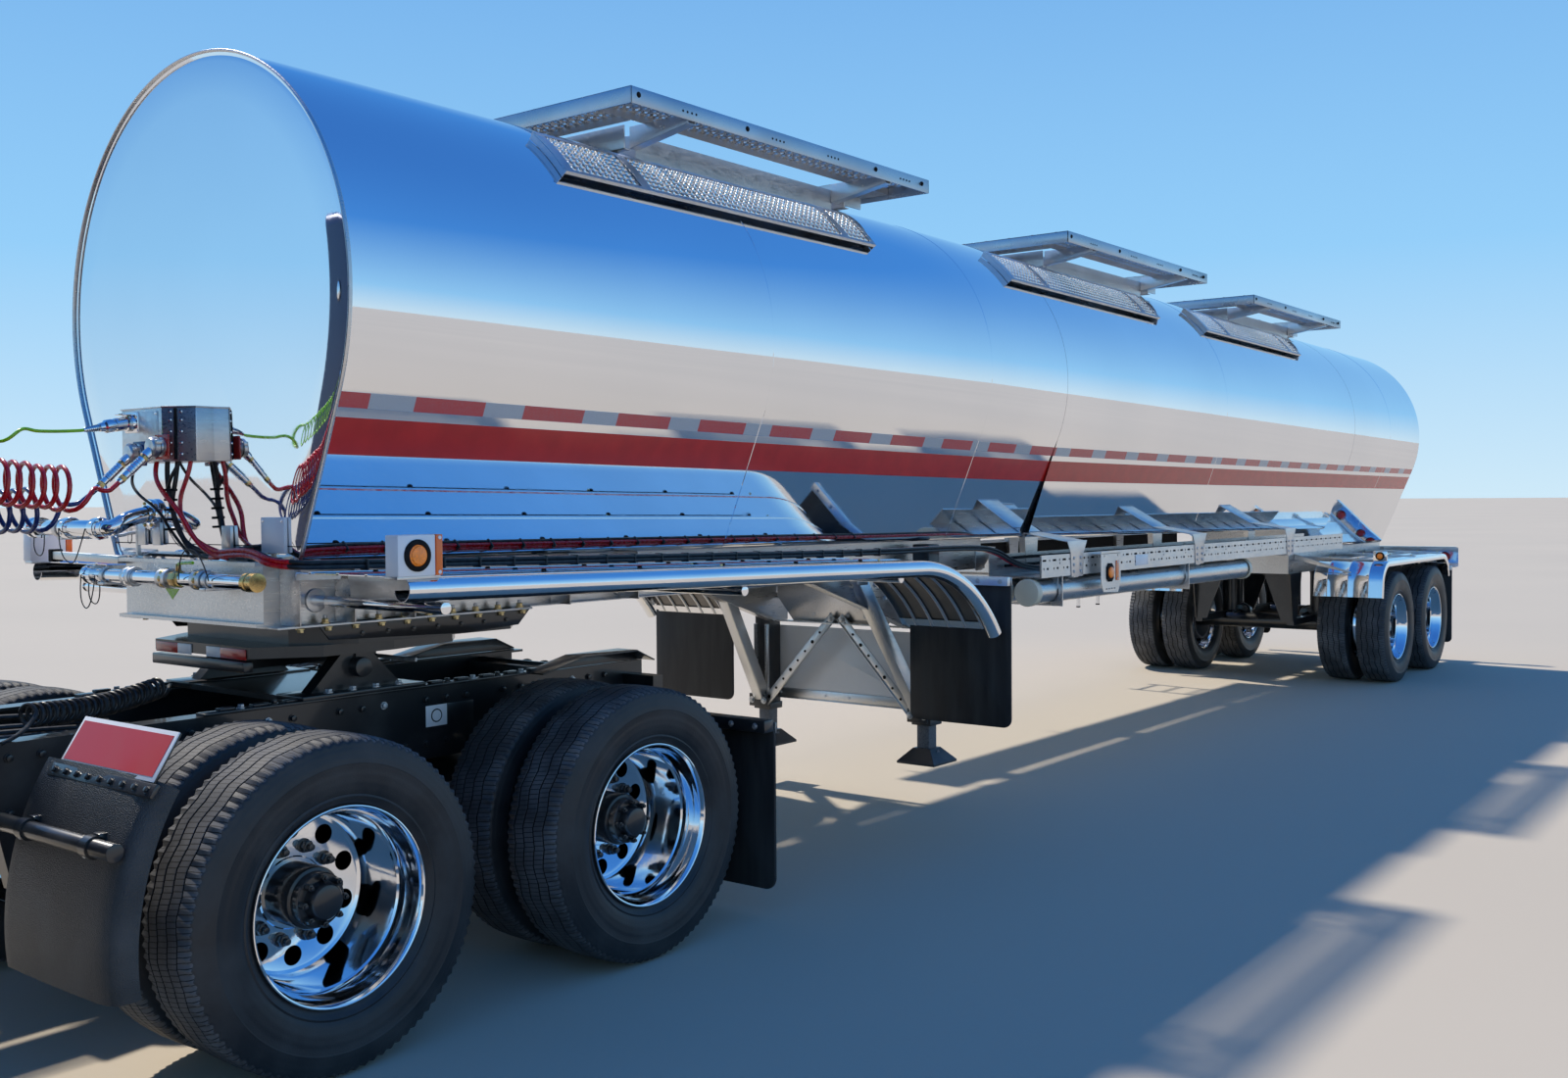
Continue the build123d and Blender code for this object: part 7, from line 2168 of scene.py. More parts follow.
class TANKER_OT_landing(bpy.types.Operator):
    """Makes the landing gear with its braces, strips and panel, and the trailer's flaps"""

    bl_idname = "tanker.landing"
    bl_label = "Landing gear and flaps"
    bl_options = {"REGISTER", "UNDO"}

    def execute(self, context):
        self.gear()
        self.flaps()
        return {"FINISHED"}

    def gear(self):
        """Legs, feet, shafts, braces, cross strips and the blank panel."""
        gear = Piece(
            "landing_legs", leg_black(), mill_aluminium(), satin_steel(), zinc(), white_paint(), black_rubber_and_shade(),
                cast_iron(),
        )
        for sign in (1, -1):
            side = (MIRROR,) if sign < 0 else ()
            gear.add(block((LEG_X - 0.055, LEG_Y - 0.055, 0.450), (LEG_X + 0.055, LEG_Y + 0.055, 1.450), 0.008), 0,
                side)
            gear.add(block((LEG_X - 0.065, LEG_Y - 0.062, 1.180), (LEG_X + 0.065, LEG_Y + 0.062, 1.300), 0.010), 0,
                side)
            gear.add(block((LEG_X - 0.062, LEG_Y - 0.060, 0.450), (LEG_X + 0.062, LEG_Y + 0.060, 0.490), 0.004), 0,
                side)
            gear.add(block((LEG_X - 0.040, LEG_Y - 0.040, 0.258), (LEG_X + 0.040, LEG_Y + 0.040, 0.460), 0.006), 6,
                side)
            gear.add(block((LEG_X + 0.056, LEG_Y - 0.012, 0.500), (LEG_X + 0.060, LEG_Y + 0.012, 1.170), 0.001), 0,
                side)
            gear.add(block((LEG_X - 0.054, LEG_Y - 0.068, 0.520), (LEG_X - 0.030, LEG_Y - 0.054, 0.960), 0.002), 2,
                side)
            gear.add(block((LEG_X + 0.030, LEG_Y - 0.068, 0.520), (LEG_X + 0.054, LEG_Y - 0.054, 0.960), 0.002), 2,
                side)
            foot = bmesh.new()
            rows = []
            for half, z in ((0.120, 0.240), (0.120, 0.252), (0.055, 0.322), (0.046, 0.322)):
                rows.append([(LEG_X + x * half, LEG_Y + y * half, z) for x, y in ((1, 1), (-1, 1), (-1, -1), (1, -1))])
            foot.free()
            foot = loft(rows, closed=True)
            bmesh.ops.holes_fill(foot, edges=foot.edges[:], sides=4)
            gear.add(foot, 0, side, flat=True)
            for facing in (-1, 1):
                gear.add(plate(
                    [(LEG_Y + facing * 0.046, 0.325), (LEG_Y + facing * 0.112, 0.254), (LEG_Y + facing * 0.046,
                        0.254)], "yzx",
                    LEG_X - 0.004, LEG_X + 0.004,
                ), 0, side)
            gear.add(rod((LEG_X - 0.075, LEG_Y, 0.300), (LEG_X + 0.075, LEG_Y, 0.300), 0.014, 20, 0.002), 6, side)
            for offset in (-0.030, 0.030):
                gear.add(beam(
                    (LEG_X + offset - 0.002, 0.628, 0.500), (0.480 + offset, 0.110, 1.300), 0.005, 0.070,
                        REAR.cross(UP), 0.001,
                ), 1, side)
            gear.add(beam((LEG_X, 0.594, 0.486), (0.480, 0.078, 1.286), 0.062, 0.005, LEFT, 0.001), 1, side)
            gear.add(block((0.440, 0.066, 1.250), (0.446, 0.164, 1.345), 0.002), 1, side)
            gear.add(block((0.516, 0.066, 1.250), (0.522, 0.164, 1.345), 0.002), 1, side)
            gear.add(rod((0.436, 0.115, 1.300), (0.528, 0.115, 1.300), 0.014, 20, 0.002), 3, side)
            gear.add(bolt((0.528, 0.115, 1.300), LEFT, 0.017, 0.010), 3, side)
            gear.add(block((LEG_X - 0.066, 0.575, 0.470), (LEG_X + 0.066, 0.585, 0.545), 0.003), 0, side)
            for x in (-0.045, 0.045):
                gear.add(bolt((LEG_X + x, 0.575, 0.508), -REAR, 0.015, 0.012), 3, side)
            gear.add(beam((0.530, 0.602, 0.490), (0.025, 0.602, 1.030), 0.050, 0.006, UP, 0.001), 1, side)
            gear.add(beam((0.513, 0.602, 0.474), (0.008, 0.602, 1.014), 0.004, 0.022, UP, 0.001), 1, side)
            # Flat black discs on the cross strip stand for its holes: painted shade.
            for step in range(9):
                share = (step + 0.7) / 9.4
                place = Vector((0.530, 0.598, 0.490)).lerp(Vector((0.025, 0.598, 1.030)), share)
                gear.add(rod(place, place - REAR * 0.0016, 0.0075 if step % 3 else 0.0105, 12), 5, side)
            gear.add(bolt((0.040, 0.598, 1.012), -REAR, 0.014, 0.012), 3, side)
            for z in (0.560, 0.900):
                gear.add(bolt((LEG_X + 0.060, LEG_Y, z), LEFT, 0.009, 0.007), 3, side)
        gear.add(rod((-LEG_X + 0.06, LEG_Y, 1.130), (LEG_X - 0.06, LEG_Y, 1.130), 0.016, 24), 6)
        gear.add(rod((LEG_X + 0.055, LEG_Y, 1.130), (LEG_X + 0.098, LEG_Y, 1.130), 0.018, 24, 0.002), 6)
        gear.add(block((LEG_X + 0.056, LEG_Y - 0.055, 1.060), (LEG_X + 0.088, LEG_Y + 0.055, 1.225), 0.012), 0)
        gear.add(pipe([(LEG_X + 0.098, LEG_Y, 1.130), (LEG_X + 0.108, LEG_Y, 1.130), (LEG_X + 0.112, LEG_Y - 0.02,
            1.115),
                       (LEG_X + 0.112, LEG_Y - 0.050, 0.900), (LEG_X + 0.112, LEG_Y - 0.052, 0.860)], 0.009, 10), 6)
        gear.add(plate(corner_loop((-LEG_X, 0.530), (LEG_X, 0.950), 0.004), "xzy", 0.7305, 0.7345, 0.001), 4)
        gear.add(block((-0.548, 0.7260, 0.515), (0.548, 0.7305, 0.572), 0.001), 1)
        gear.add(block((-0.548, 0.7180, 0.512), (0.548, 0.7305, 0.517), 0.001), 1)
        for x in (-0.50, -0.17, 0.0, 0.17, 0.50):
            gear.add(rod((x, 0.7262, 0.545), (x, 0.7250, 0.545), 0.008, 12), 4)
        for x in (-0.54, 0.54):
            for z in (0.60, 0.76, 0.92):
                gear.add(bolt((x, 0.7305, z), -REAR, 0.006, 0.004), 3)
        gear.done("trailer", "leg", "landing_gear", crease=32)

    def flaps(self):
        """The four flaps: rubber with rounded corners under pale holders."""
        flap = Piece("flaps", flap_rubber(), mill_aluminium(), zinc())
        for y, outer, low, high in ((KINGPIN.y + 3.350, 1.230, 0.520, 1.290), (TANK_END_Y - 0.080, 1.225, 0.210,
            0.980)):
            flap.add(plate(corner_loop((0.620, low), (outer, high), 0.045, 6), "xzy", y, y + 0.013, 0.002), 0,
                both_sides())
            flap.add(block((0.620, y - 0.030, high - 0.038), (outer, y - 0.001, high + 0.008), 0.003), 1, both_sides())
            flap.add(block((0.620, y + 0.0132, high - 0.036), (outer, y + 0.0170, high + 0.004), 0.001), 1,
                both_sides())
            for step in range(5):
                x = 0.665 + 0.130 * step
                flap.add(bolt((x, y + 0.0170, high - 0.016), REAR, 0.009, 0.007), 2, both_sides())
                flap.add(bolt((x, y - 0.030, high - 0.016), -REAR, 0.009, 0.007), 2, both_sides())
        tail = TANK_END_Y - 0.110
        flap.add(block((RAIL_X, tail, 0.960), (0.640, tail + 0.031, 1.060), 0.003), 1, both_sides())
        flap.done("trailer", "flap", "trailer_mudflaps", crease=32)


# Walkways, treads, ladder and lids

WALK_HALF = 0.750
WALK_ROWS = {
    "front": (KINGPIN.y + 1.090, 2.260, 3.380), "middle": (KINGPIN.y + 4.960, 2.250, 3.345),
    "rear": (KINGPIN.y + 8.190, 2.220, 3.300),
}
TREAD_ROWS = ((KINGPIN.y + 0.740, 2.130), (KINGPIN.y + 4.280, 2.110), (KINGPIN.y + 7.260, 2.100))
TREAD_START, TREAD_END = radians(36), radians(52)


def on_barrel(angle, y, proud):
    """A place on the barrel at an angle from its top, and its outward direction."""
    out = Vector((sin(angle), 0, cos(angle)))
    return Vector((0, y, barrel_z(y))) + out * (TANK_R + proud), out


class TANKER_OT_walkways(bpy.types.Operator):
    """Makes the walkways with their grip planks, the side treads, the ladder and the lids"""

    bl_idname = "tanker.walkways"
    bl_label = "Walkways"
    bl_options = {"REGISTER", "UNDO"}

    def execute(self, context):
        walk = Piece("walkway_rows", walk_aluminium(), mill_aluminium(), black_rubber_and_shade(), zinc(), polished_aluminium())
        for start, length, top in WALK_ROWS.values():
            self.frame(walk, start, start + length, top)
            self.planks(walk, start, start + length, top)
        self.ladder(walk)
        walk.done("trailer", "aluminium", "walkways", crease=30)
        tread = Piece("side_treads", walk_aluminium(), tread_metal(), black_rubber_and_shade(), mill_aluminium())
        for start, length in TREAD_ROWS:
            self.treads(tread, start, start + length)
        tread.done("trailer", "aluminium", crease=30)
        self.lids()
        return {"FINISHED"}

    def frame(self, walk, start, end, top):
        """Edge angles with their bolts and their slots drawn as black discs of painted shade, the arms and the channel
        across.
        """
        for y0, y1, x0, x1 in (
            (start, end, WALK_HALF - 0.006, WALK_HALF), (start, start + 0.006, -WALK_HALF, WALK_HALF), (end - 0.006,
                end, -WALK_HALF, WALK_HALF),
        ):
            copies = both_sides() if x0 > 0 else ()
            walk.add(block((x0, y0, top - 0.070), (x1, y1, top), 0.0015), 0, copies)
        walk.add(block((WALK_HALF - 0.042, start, top - 0.005), (WALK_HALF - 0.001, end, top), 0.001), 0, both_sides())
        walk.add(block((-WALK_HALF + 0.002, start, top - 0.0052), (WALK_HALF - 0.002, start + 0.042, top - 0.0004),
            0.001), 0)
        walk.add(block((-WALK_HALF + 0.002, end - 0.042, top - 0.0052), (WALK_HALF - 0.002, end, top - 0.0004), 0.001),
            0)
        length = end - start
        for share in (0.02, 0.33, 0.78, 0.97):
            walk.add(bolt((WALK_HALF, start + length * share, top - 0.030), LEFT, 0.009, 0.006), 2, both_sides())
        # Each slot is a flat black disc just proud of the angle: painted shade.
        for share in (0.14, 0.41, 0.60, 0.88):
            for step in range(4):
                y = start + length * share + 0.028 * step
                walk.add(rod((WALK_HALF, y, top - 0.038), (WALK_HALF + 0.0008, y, top - 0.038), 0.0055, 10), 2,
                    both_sides())
        for step in range(15):
            y = start + 0.08 + (length - 0.16) * step / 14
            walk.add(rod((WALK_HALF - 0.018, y, top), (WALK_HALF - 0.018, y, top + 0.004), 0.009, 8), 3, both_sides())
        for step in range(9):
            x = -0.66 + 0.165 * step
            walk.add(rod((x, start + 0.018, top), (x, start + 0.018, top + 0.004), 0.009, 8), 3)
        for station in (start + 0.353, end - 0.403):
            outline = [(0.403, top - 0.137), (0.403, top - 0.042), (0.742, top - 0.042), (0.742, top - 0.080)]
            for y in (station, station + 0.047):
                walk.add(plate(outline, "xzy", y, y + 0.003, 0.0005), 1, both_sides())
            walk.add(beam((0.403, station + 0.025, top - 0.136), (0.742, station + 0.025, top - 0.080), 0.050, 0.003,
                REAR), 1, both_sides())
            walk.add(rod((0.60, station - 0.004, top - 0.075), (0.60, station + 0.056, top - 0.075), 0.010, 12, 0.001),
                3, both_sides())
        for y in (start + 0.300, end - 0.306):
            walk.add(block((-0.420, y, top - 0.150), (0.420, y + 0.006, top - 0.046), 0.001), 1)
            walk.add(block((-0.420, y, top - 0.150), (0.420, y + 0.040, top - 0.145), 0.001), 1)

    def planks(self, walk, start, end, top):
        """Grip planks down both sides and across both ends: diamond openings between rows of teeth."""
        z = top - 0.009
        spans = [((0.494, start + 0.008), (0.742, end - 0.008), "y", both_sides())]
        spans += [((-0.490, low), (0.490, low + high), "x", ()) for low, high in ((start + 0.008, 0.262), (end - 0.270,
            0.262))]
        for (x0, y0), (x1, y1), along, copies in spans:
            pitch = 0.056
            holes, teeth = [], []
            long = (y1 - y0) if along == "y" else (x1 - x0)
            wide = (x1 - x0) if along == "y" else (y1 - y0)
            for row in range(4):
                across = wide * (row + 0.5) / 4
                shift = pitch / 2 if row % 2 else 0
                for step in range(int((long - 0.05) / pitch)):
                    run = 0.030 + shift + pitch * step
                    if run > long - 0.025:
                        continue
                    if along == "y":
                        cx, cy = x0 + across, y0 + run
                        holes.append([(cx - 0.022, cy), (cx, cy - 0.016), (cx + 0.022, cy), (cx, cy + 0.016)])
                    else:
                        cx, cy = x0 + run, y0 + across
                        holes.append([(cx - 0.016, cy), (cx, cy - 0.022), (cx + 0.016, cy), (cx, cy + 0.022)])
                    teeth.append((cx, cy))
            walk.add(punched([(x0, y0), (x1, y0), (x1, y1), (x0, y1)], holes, "xyz", z, z + 0.003), 1, copies,
                flat=True)
            tooth = []
            for side in (-1, 1):
                if along == "y":
                    tooth.append(beam((0.020 * 0, side * 0.017, -0.012), (0.0, side * 0.022, 0.008), 0.036, 0.0025,
                        LEFT))
                else:
                    tooth.append(beam((side * 0.017, 0, -0.012), (side * 0.022, 0, 0.008), 0.036, 0.0025, REAR))
            shape = join(*tooth)
            places = [moved(Vector((cx, cy, z))) for cx, cy in teeth]
            if copies:
                places += [MIRROR @ place for place in places]
            walk.add(shape, 1, places, flat=True)
            for edge in (0, 1):
                if along == "y":
                    x = x0 if edge == 0 else x1 - 0.003
                    walk.add(block((x, y0, z - 0.036), (x + 0.003, y1, z + 0.002)), 1, copies)
                else:
                    y = y0 if edge == 0 else y1 - 0.003
                    walk.add(block((x0, y, z - 0.036), (x1, y + 0.003, z + 0.002)), 1, copies)

    def treads(self, tread, start, end):
        """One pair of side treads: a curved, raised strip with rows of pierced collars, framed and divided; a black
        disc of painted shade fills each collar's hole.
        """
        steps = 10
        def arc(y, first, last, proud):
            return [tuple(on_barrel(first + (last - first) * step / steps, y, proud)[0]) for step in range(steps + 1)]
        stations = [start + (end - start) * step / 8 for step in range(9)]
        tread.add(sheet([arc(y, TREAD_START + 0.016, TREAD_END - 0.014, 0.030) for y in stations], 0.0025), 0,
            both_sides())
        for first, last in ((TREAD_START, TREAD_START + 0.024), (TREAD_END - 0.016, TREAD_END)):
            tread.add(sheet([arc(y, first, last, 0.0375) for y in stations], 0.003), 3, both_sides())
        for angle in (TREAD_START, TREAD_END):
            rows = [[tuple(on_barrel(angle, y, proud)[0]) for proud in (0.022, 0.030, 0.0372)] for y in stations]
            tread.add(sheet(rows, 0.002), 3, both_sides())
        length = end - start
        for low, wide in ((start, 0.045), (start + length * 0.205, 0.055), (end - length * 0.130, 0.055), (end - 0.030,
            0.030)):
            rows = [arc(low + wide * share, TREAD_START + 0.010, TREAD_END - 0.008, 0.0365) for share in (0, 0.5, 1)]
            tread.add(sheet(rows, 0.003), 3, both_sides())
        cap = [arc(start + 0.001, TREAD_START, TREAD_END, proud) for proud in (0.002, 0.020, 0.036)]
        tread.add(sheet(cap, 0.002), 3, both_sides())
        cap = [arc(end - 0.001, TREAD_START, TREAD_END, proud) for proud in (0.002, 0.020, 0.036)]
        tread.add(sheet(cap, 0.002), 3, both_sides())
        collar = turned([(-0.003, 0.0165), (0.0065, 0.0120), (0.0065, 0.0080), (-0.002, 0.0070)], (0, 0, 0), UP, 8)
        # Inside each collar a flat black disc stands for the hole: painted shade.
        dark = turned([(0.0002, 0.0078), (0.0003, 0.0)], (0, 0, 0), UP, 8)
        places = []
        rows, pitch = 7, 0.0345
        barred = (start + 0.045, start + length * 0.205 - 0.006, start + length * 0.205 + 0.061,
            end - length * 0.130 - 0.006,
                  end - length * 0.130 + 0.061, end - 0.036)
        for low, high in zip(barred[::2], barred[1::2]):
            count = int((high - low) / pitch)
            for step in range(count):
                for row in range(rows):
                    angle = TREAD_START + 0.044 + (TREAD_END - TREAD_START - 0.078) * row / (rows - 1)
                    y = low + (high - low) * (step + 0.5) / count
                    place, out = on_barrel(angle, y, 0.0302)
                    turn = Matrix((REAR.cross(out), REAR, out)).transposed().to_4x4()
                    places.append(Matrix.Translation(place) @ turn)
        places += [MIRROR @ place for place in places]
        tread.add(collar, 1, places, outward=True)
        tread.add(dark, 2, places, outward=False)

    def ladder(self, walk):
        """The ladder on the right side: two tubes over the barrel, rungs with collars, feet and stand-offs."""
        start, _, top = WALK_ROWS["rear"]
        x = -1.120
        for y in (start + 0.700, start + 1.100):
            path = rounded_path([(x, 0.700), (x, top - 0.800), (-WALK_HALF - 0.016, top - 0.005), (-0.450,
                top - 0.025)], 0.150, 8)
            walk.add(pipe([(px, y, pz) for px, pz in path], 0.016, 16, smooth=False), 4)
            walk.add(rod((x, y, 0.700), (x, y, 0.712), 0.019, 20, 0.002), 2)
            for z in (1.260, 2.300):
                inner = -0.936 if z < 1.5 else -0.895
                walk.add(rod((x, y, z), (inner, y, z), 0.010, 16), 4)
                walk.add(ring_of((x - 0.0, y, z - 0.020), (x - 0.0, y, z + 0.020), 0.019), 4)
        for rung in range(6):
            z = 0.800 + 0.300 * rung
            walk.add(rod((x, start + 0.700, z), (x, start + 1.100, z), 0.014, 16), 4)
            for step in range(12):
                y = start + 0.735 + 0.030 * step
                walk.add(ring_of((x, y, z), (x, y + 0.006, z), 0.0152, 0.003), 1)

    def lids(self):
        """The three lids with stepped rims, dogs and hinge arms, and the fixed clamps round their necks."""
        neck = Piece("hatch_clamps", satin_steel(), zinc(), mill_aluminium(), black_rubber_and_shade())
        for name, (start, length, top) in WALK_ROWS.items():
            middle, base = start + length / 2, top - 0.050
            lid = Piece(f"lid_{name}", polished_aluminium(), zinc(), black_rubber_and_shade(), brass())
            lid.add(turned(
                [(0.0, 0.0), (0.0, 0.262), (0.004, 0.265), (0.026, 0.265), (0.030, 0.261), (0.031, 0.225), (0.024,
                    0.215), (0.024, 0.170),
                 (0.030, 0.150), (0.035, 0.080), (0.037, 0.0)], (0, middle, base), UP, 64,
            ), 0)
            lid.add(rod((0, middle, base + 0.034), (0, middle, base + 0.042), 0.045, 32, 0.002), 3)
            for step in range(8):
                angle = pi / 4 * (step + 0.5)
                lid.add(bolt((0.198 * cos(angle), middle + 0.198 * sin(angle), base + 0.024), UP, 0.010, 0.009), 1)
            for x in (-0.055, 0.055):
                lid.add(block((x - 0.010, middle + 0.225, base + 0.014), (x + 0.010, middle + 0.322, base + 0.034),
                    0.003), 1)
                lid.add(rod((x - 0.012, middle + 0.305, base + 0.020), (x + 0.012, middle + 0.305, base + 0.020),
                    0.015, 24, 0.002), 1)
            lid.done(f"manhole_lid_{name}", "stainless", f"manhole_lid_{name}", crease=30)
            for step in range(6):
                angle = pi / 3 * step + 0.1
                out = Vector((cos(angle), sin(angle), 0))
                place = Vector((0, middle, base - 0.030)) + out * 0.276
                if out.y > 0.8:
                    continue
                neck.add(rod(place - UP * 0.040, place + UP * 0.020, 0.009, 12), 1)
                neck.add(bolt(place + UP * 0.014, UP, 0.014, 0.014), 1)
            neck.add(turned([(-0.022, 0.250), (-0.022, 0.262), (-0.012, 0.262), (-0.012, 0.250)], (0, middle, base),
                UP, 48), 0)
            for y in (start + 0.560, start + length - 0.620):
                neck.add(turned(
                    [(0, 0.055), (0.050, 0.055), (0.054, 0.064), (0.064, 0.064), (0.066, 0.040), (0.092, 0.036),
                        (0.096, 0.026), (0.097, 0.0)],
                    (0.200, y, barrel_z(y) + 0.866), UP, 32,
                ), 2)
        neck.done("trailer", "stainless", crease=30)


# Tractor's fenders, frame and coupling


class TANKER_OT_tractor(bpy.types.Operator):
    """Makes the tractor's quarter fenders and the frame's bolts, lines, chambers and coupling details"""

    bl_idname = "tanker.tractor"
    bl_label = "Tractor frame and fenders"
    bl_options = {"REGISTER", "UNDO"}

    def execute(self, context):
        self.quarter_fenders()
        self.frame()
        self.chambers()
        return {"FINISHED"}

    def quarter_fenders(self):
        """Curved plastic fenders ahead of the drive wheels with their bars and blank plates, and flaps behind."""
        fender = Piece(
            "quarter_fender_pair", pebbled_plastic(), chassis_black(), zinc(), white_paint(), red_sign(),
                flap_rubber(), mill_aluminium(),
        )
        path = []
        for step in range(25):
            share = step / 24
            angle = radians(51.0 + (98.4 - 51.0) * share)
            radius = 0.748 - 0.033 * share - 0.012 * sin(pi * share)
            path.append((DRIVE_Y - radius * sin(angle), TYRE_R + radius * cos(angle)))
        section = [(0.622, -0.020), (0.622, -0.004), (0.628, 0.0)]
        section += [(0.66 + 0.08 * step, 0.004 * (1 - ((step - 3) / 3.4) ** 2)) for step in range(7)]
        section += [(1.165, -0.002), (1.188, -0.008), (1.205, -0.018), (1.216, -0.034), (1.221, -0.054), (1.221,
            -0.072)]
        path = path[::-1]
        fender.add(swept(section, path, 0.006), 0, both_sides())
        top_y, top_z = path[-1]
        low, high = Vector((0.953, top_y - 0.002, top_z - 0.010)), Vector((0.953, top_y + 0.076, top_z + 0.112))
        out = (high - low).cross(LEFT).normalized()
        out = out if out.y < 0 else -out
        fender.add(beam(low - out * 0.003, high - out * 0.003, 0.500, 0.006, LEFT, 0.001), 1, both_sides())
        fender.add(beam(low + out * 0.003, high + out * 0.003, 0.505, 0.004, LEFT, 0.001), 3, both_sides())
        rise = (high - low).normalized() * 0.013
        fender.add(beam(low + rise + out * 0.0055, high - rise + out * 0.0055, 0.479, 0.002, LEFT), 4, both_sides())
        fender.add(beam(low - rise * 3.2, low - rise * 0.2, 0.560, 0.014, LEFT, 0.003), 1, both_sides())
        for step in range(9):
            x = 0.703 + 0.0625 * step
            fender.add(bolt(Vector((x, low.y, low.z)) - rise * 1.7 + out * 0.006, out, 0.009, 0.008), 1, both_sides())
        bar_y, bar_z = DRIVE_Y - 0.688, 0.800
        fender.add(rod((0.430, bar_y, bar_z), (1.200, bar_y, bar_z), 0.025, 32, 0.003), 1, both_sides())
        fender.add(rod((0.430, bar_y, bar_z), (0.442, bar_y, bar_z), 0.050, 32, 0.003), 1, both_sides())
        for x in (0.72, 1.08):
            fender.add(turned([(-0.018, 0.0255), (-0.018, 0.031), (0.018, 0.031), (0.018, 0.0255)], (x, bar_y, bar_z),
                LEFT, 28), 1, both_sides())
            fender.add(block((x - 0.018, bar_y + 0.010, bar_z - 0.035), (x + 0.018, bar_y + 0.040, bar_z + 0.035),
                0.004), 1, both_sides())
            fender.add(bolt((x, bar_y - 0.020, bar_z - 0.018), -REAR, 0.006, 0.004), 2, both_sides())
        flap_y = DRIVE_2_Y + 0.700
        fender.add(plate(corner_loop((0.622, 0.110), (1.222, 0.800), 0.050, 6), "xzy", flap_y, flap_y + 0.014, 0.002),
            5, both_sides())
        fender.add(block((0.400, flap_y - 0.060, 0.760), (1.222, flap_y - 0.001, 0.812), 0.006), 1, both_sides())
        fender.add(block((0.622, flap_y + 0.014, 0.752), (1.222, flap_y + 0.018, 0.796), 0.001), 6, both_sides())
        for step in range(5):
            x = 0.672 + 0.125 * step
            fender.add(bolt((x, flap_y + 0.018, 0.774), REAR, 0.009, 0.007), 2, both_sides())
            fender.add(bolt((x, flap_y - 0.060, 0.786), -REAR, 0.010, 0.008), 2, both_sides())
        for z in (0.25, 0.45, 0.65):
            fender.add(bolt((0.650, flap_y, z), -REAR, 0.012, 0.008), 2, both_sides())
        fender.done("tractor", "black_plastic", "quarter_fenders", crease=35)

    def frame(self):
        """Bolt rows, cross members, lines and the coiled hose on the frame, and the coupling's details."""
        work = Piece(
            "tractor_details", chassis_black(), zinc(), black_hose(), red_reflector(), white_paint(), black_rubber_and_shade(),
                red_line(),
            satin_steel(), mill_aluminium(),
        )
        rail_x, top = 0.430, 1.000
        for step in range(44):
            y = -5.70 + 0.095 * step
            for z in (0.955, 0.790):
                if (step + (z < 0.9)) % 4 != 3:
                    work.add(bolt((rail_x + 0.0005, y, z), LEFT, 0.011, 0.012), 0 if step % 5 else 1, both_sides())
        low, high = -3.560, -2.060
        work.add(block((rail_x - 0.050, low, top), (rail_x + 0.006, high, top + 0.010), 0.002), 0, both_sides())
        for step in range(12):
            y = low + 0.060 + 0.125 * step
            work.add(block((rail_x - 0.034, y, top + 0.010), (rail_x - 0.004, y + 0.058, top + 0.020), 0.003), 0,
                both_sides())
            work.add(bolt((rail_x - 0.019, y + 0.086, top + 0.010), UP, 0.011, 0.014), 0 if step % 2 else 1,
                both_sides())
        for y in (-5.450, -4.700, -4.180, -2.960, -2.400, -1.700):
            work.add(block((-0.420, y - 0.035, 0.800), (0.420, y + 0.035, 0.965), 0.004), 0)
            for x in (-0.35, -0.25, 0.25, 0.35):
                work.add(bolt((x, y - 0.035, 0.880), -REAR, 0.012, 0.010), 0)
        for x in (-0.30, 0.05, 0.18, 0.30):
            z = 0.985 + 0.008 * (x > 0)
            work.add(pipe([(x, -5.60, z), (x + 0.02, -5.0, z - 0.01), (x - 0.02, -4.4, z + 0.004), (x, -4.0, z),
                (x + 0.03, -3.7, z - 0.02)], 0.010, 8), 2)
        work.add(rod((-0.410, -4.420, 0.940), (0.410, -4.420, 0.940), 0.030, 24), 0)
        work.add(block((-0.390, -4.260, 0.965), (0.390, -4.205, 0.985), 0.004), 8)
        for x in (-0.120, 0.120):
            work.add(rod((x, -5.00, 0.880), (x, -4.50, 0.880), 0.110, 36, 0.020), 0)
            for y in (-4.90, -4.60):
                work.add(ring_of((x, y - 0.012, 0.880), (x, y + 0.012, 0.880), 0.1125), 8)
        start, end = Vector((0.330, -4.080, 1.060)), Vector((-0.020, -3.460, 1.055))
        along = (end - start).normalized()
        aside, above = along.cross(UP).normalized(), UP
        turns, points = 22, []
        for step in range(turns * 10 + 1):
            share = step / (turns * 10)
            angle = 2 * pi * turns * share
            sag = Vector((0, 0, -0.018 * sin(pi * share)))
            points.append(start.lerp(end, share) + sag + aside * 0.034 * cos(angle) + above * 0.034 * sin(angle))
        points = [start + Vector((0.10, -0.12, -0.060)), start + Vector((0.06, -0.05,
            -0.05))] + points + [end + Vector((-0.05, 0.06, 0.00)), end + Vector((-0.08, 0.16, -0.02))]
        work.add(pipe(points, 0.0068, 8), 2)
        front = KINGPIN.y - 0.380
        for x0, x1, finish in ((-0.300, -0.150, 3), (-0.150, -0.060, 4), (0.040, 0.130, 4), (0.130, 0.290, 3)):
            work.add(block((x0, front - 0.004, 1.155), (x1, front - 0.0005, 1.192), 0.0008), finish)
        work.add(block((-0.300, front - 0.020, 1.112), (0.300, front + 0.020, 1.150), 0.004), 0)
        x = 0.360
        work.add(rod((x - 0.055, KINGPIN.y, 1.105), (x + 0.075, KINGPIN.y, 1.105), 0.036, 32, 0.004), 0, both_sides())
        for y in (-0.150, -0.050, 0.050, 0.150):
            work.add(bolt((x + 0.072, KINGPIN.y + y, 1.028), UP, 0.013, 0.014), 1, both_sides())
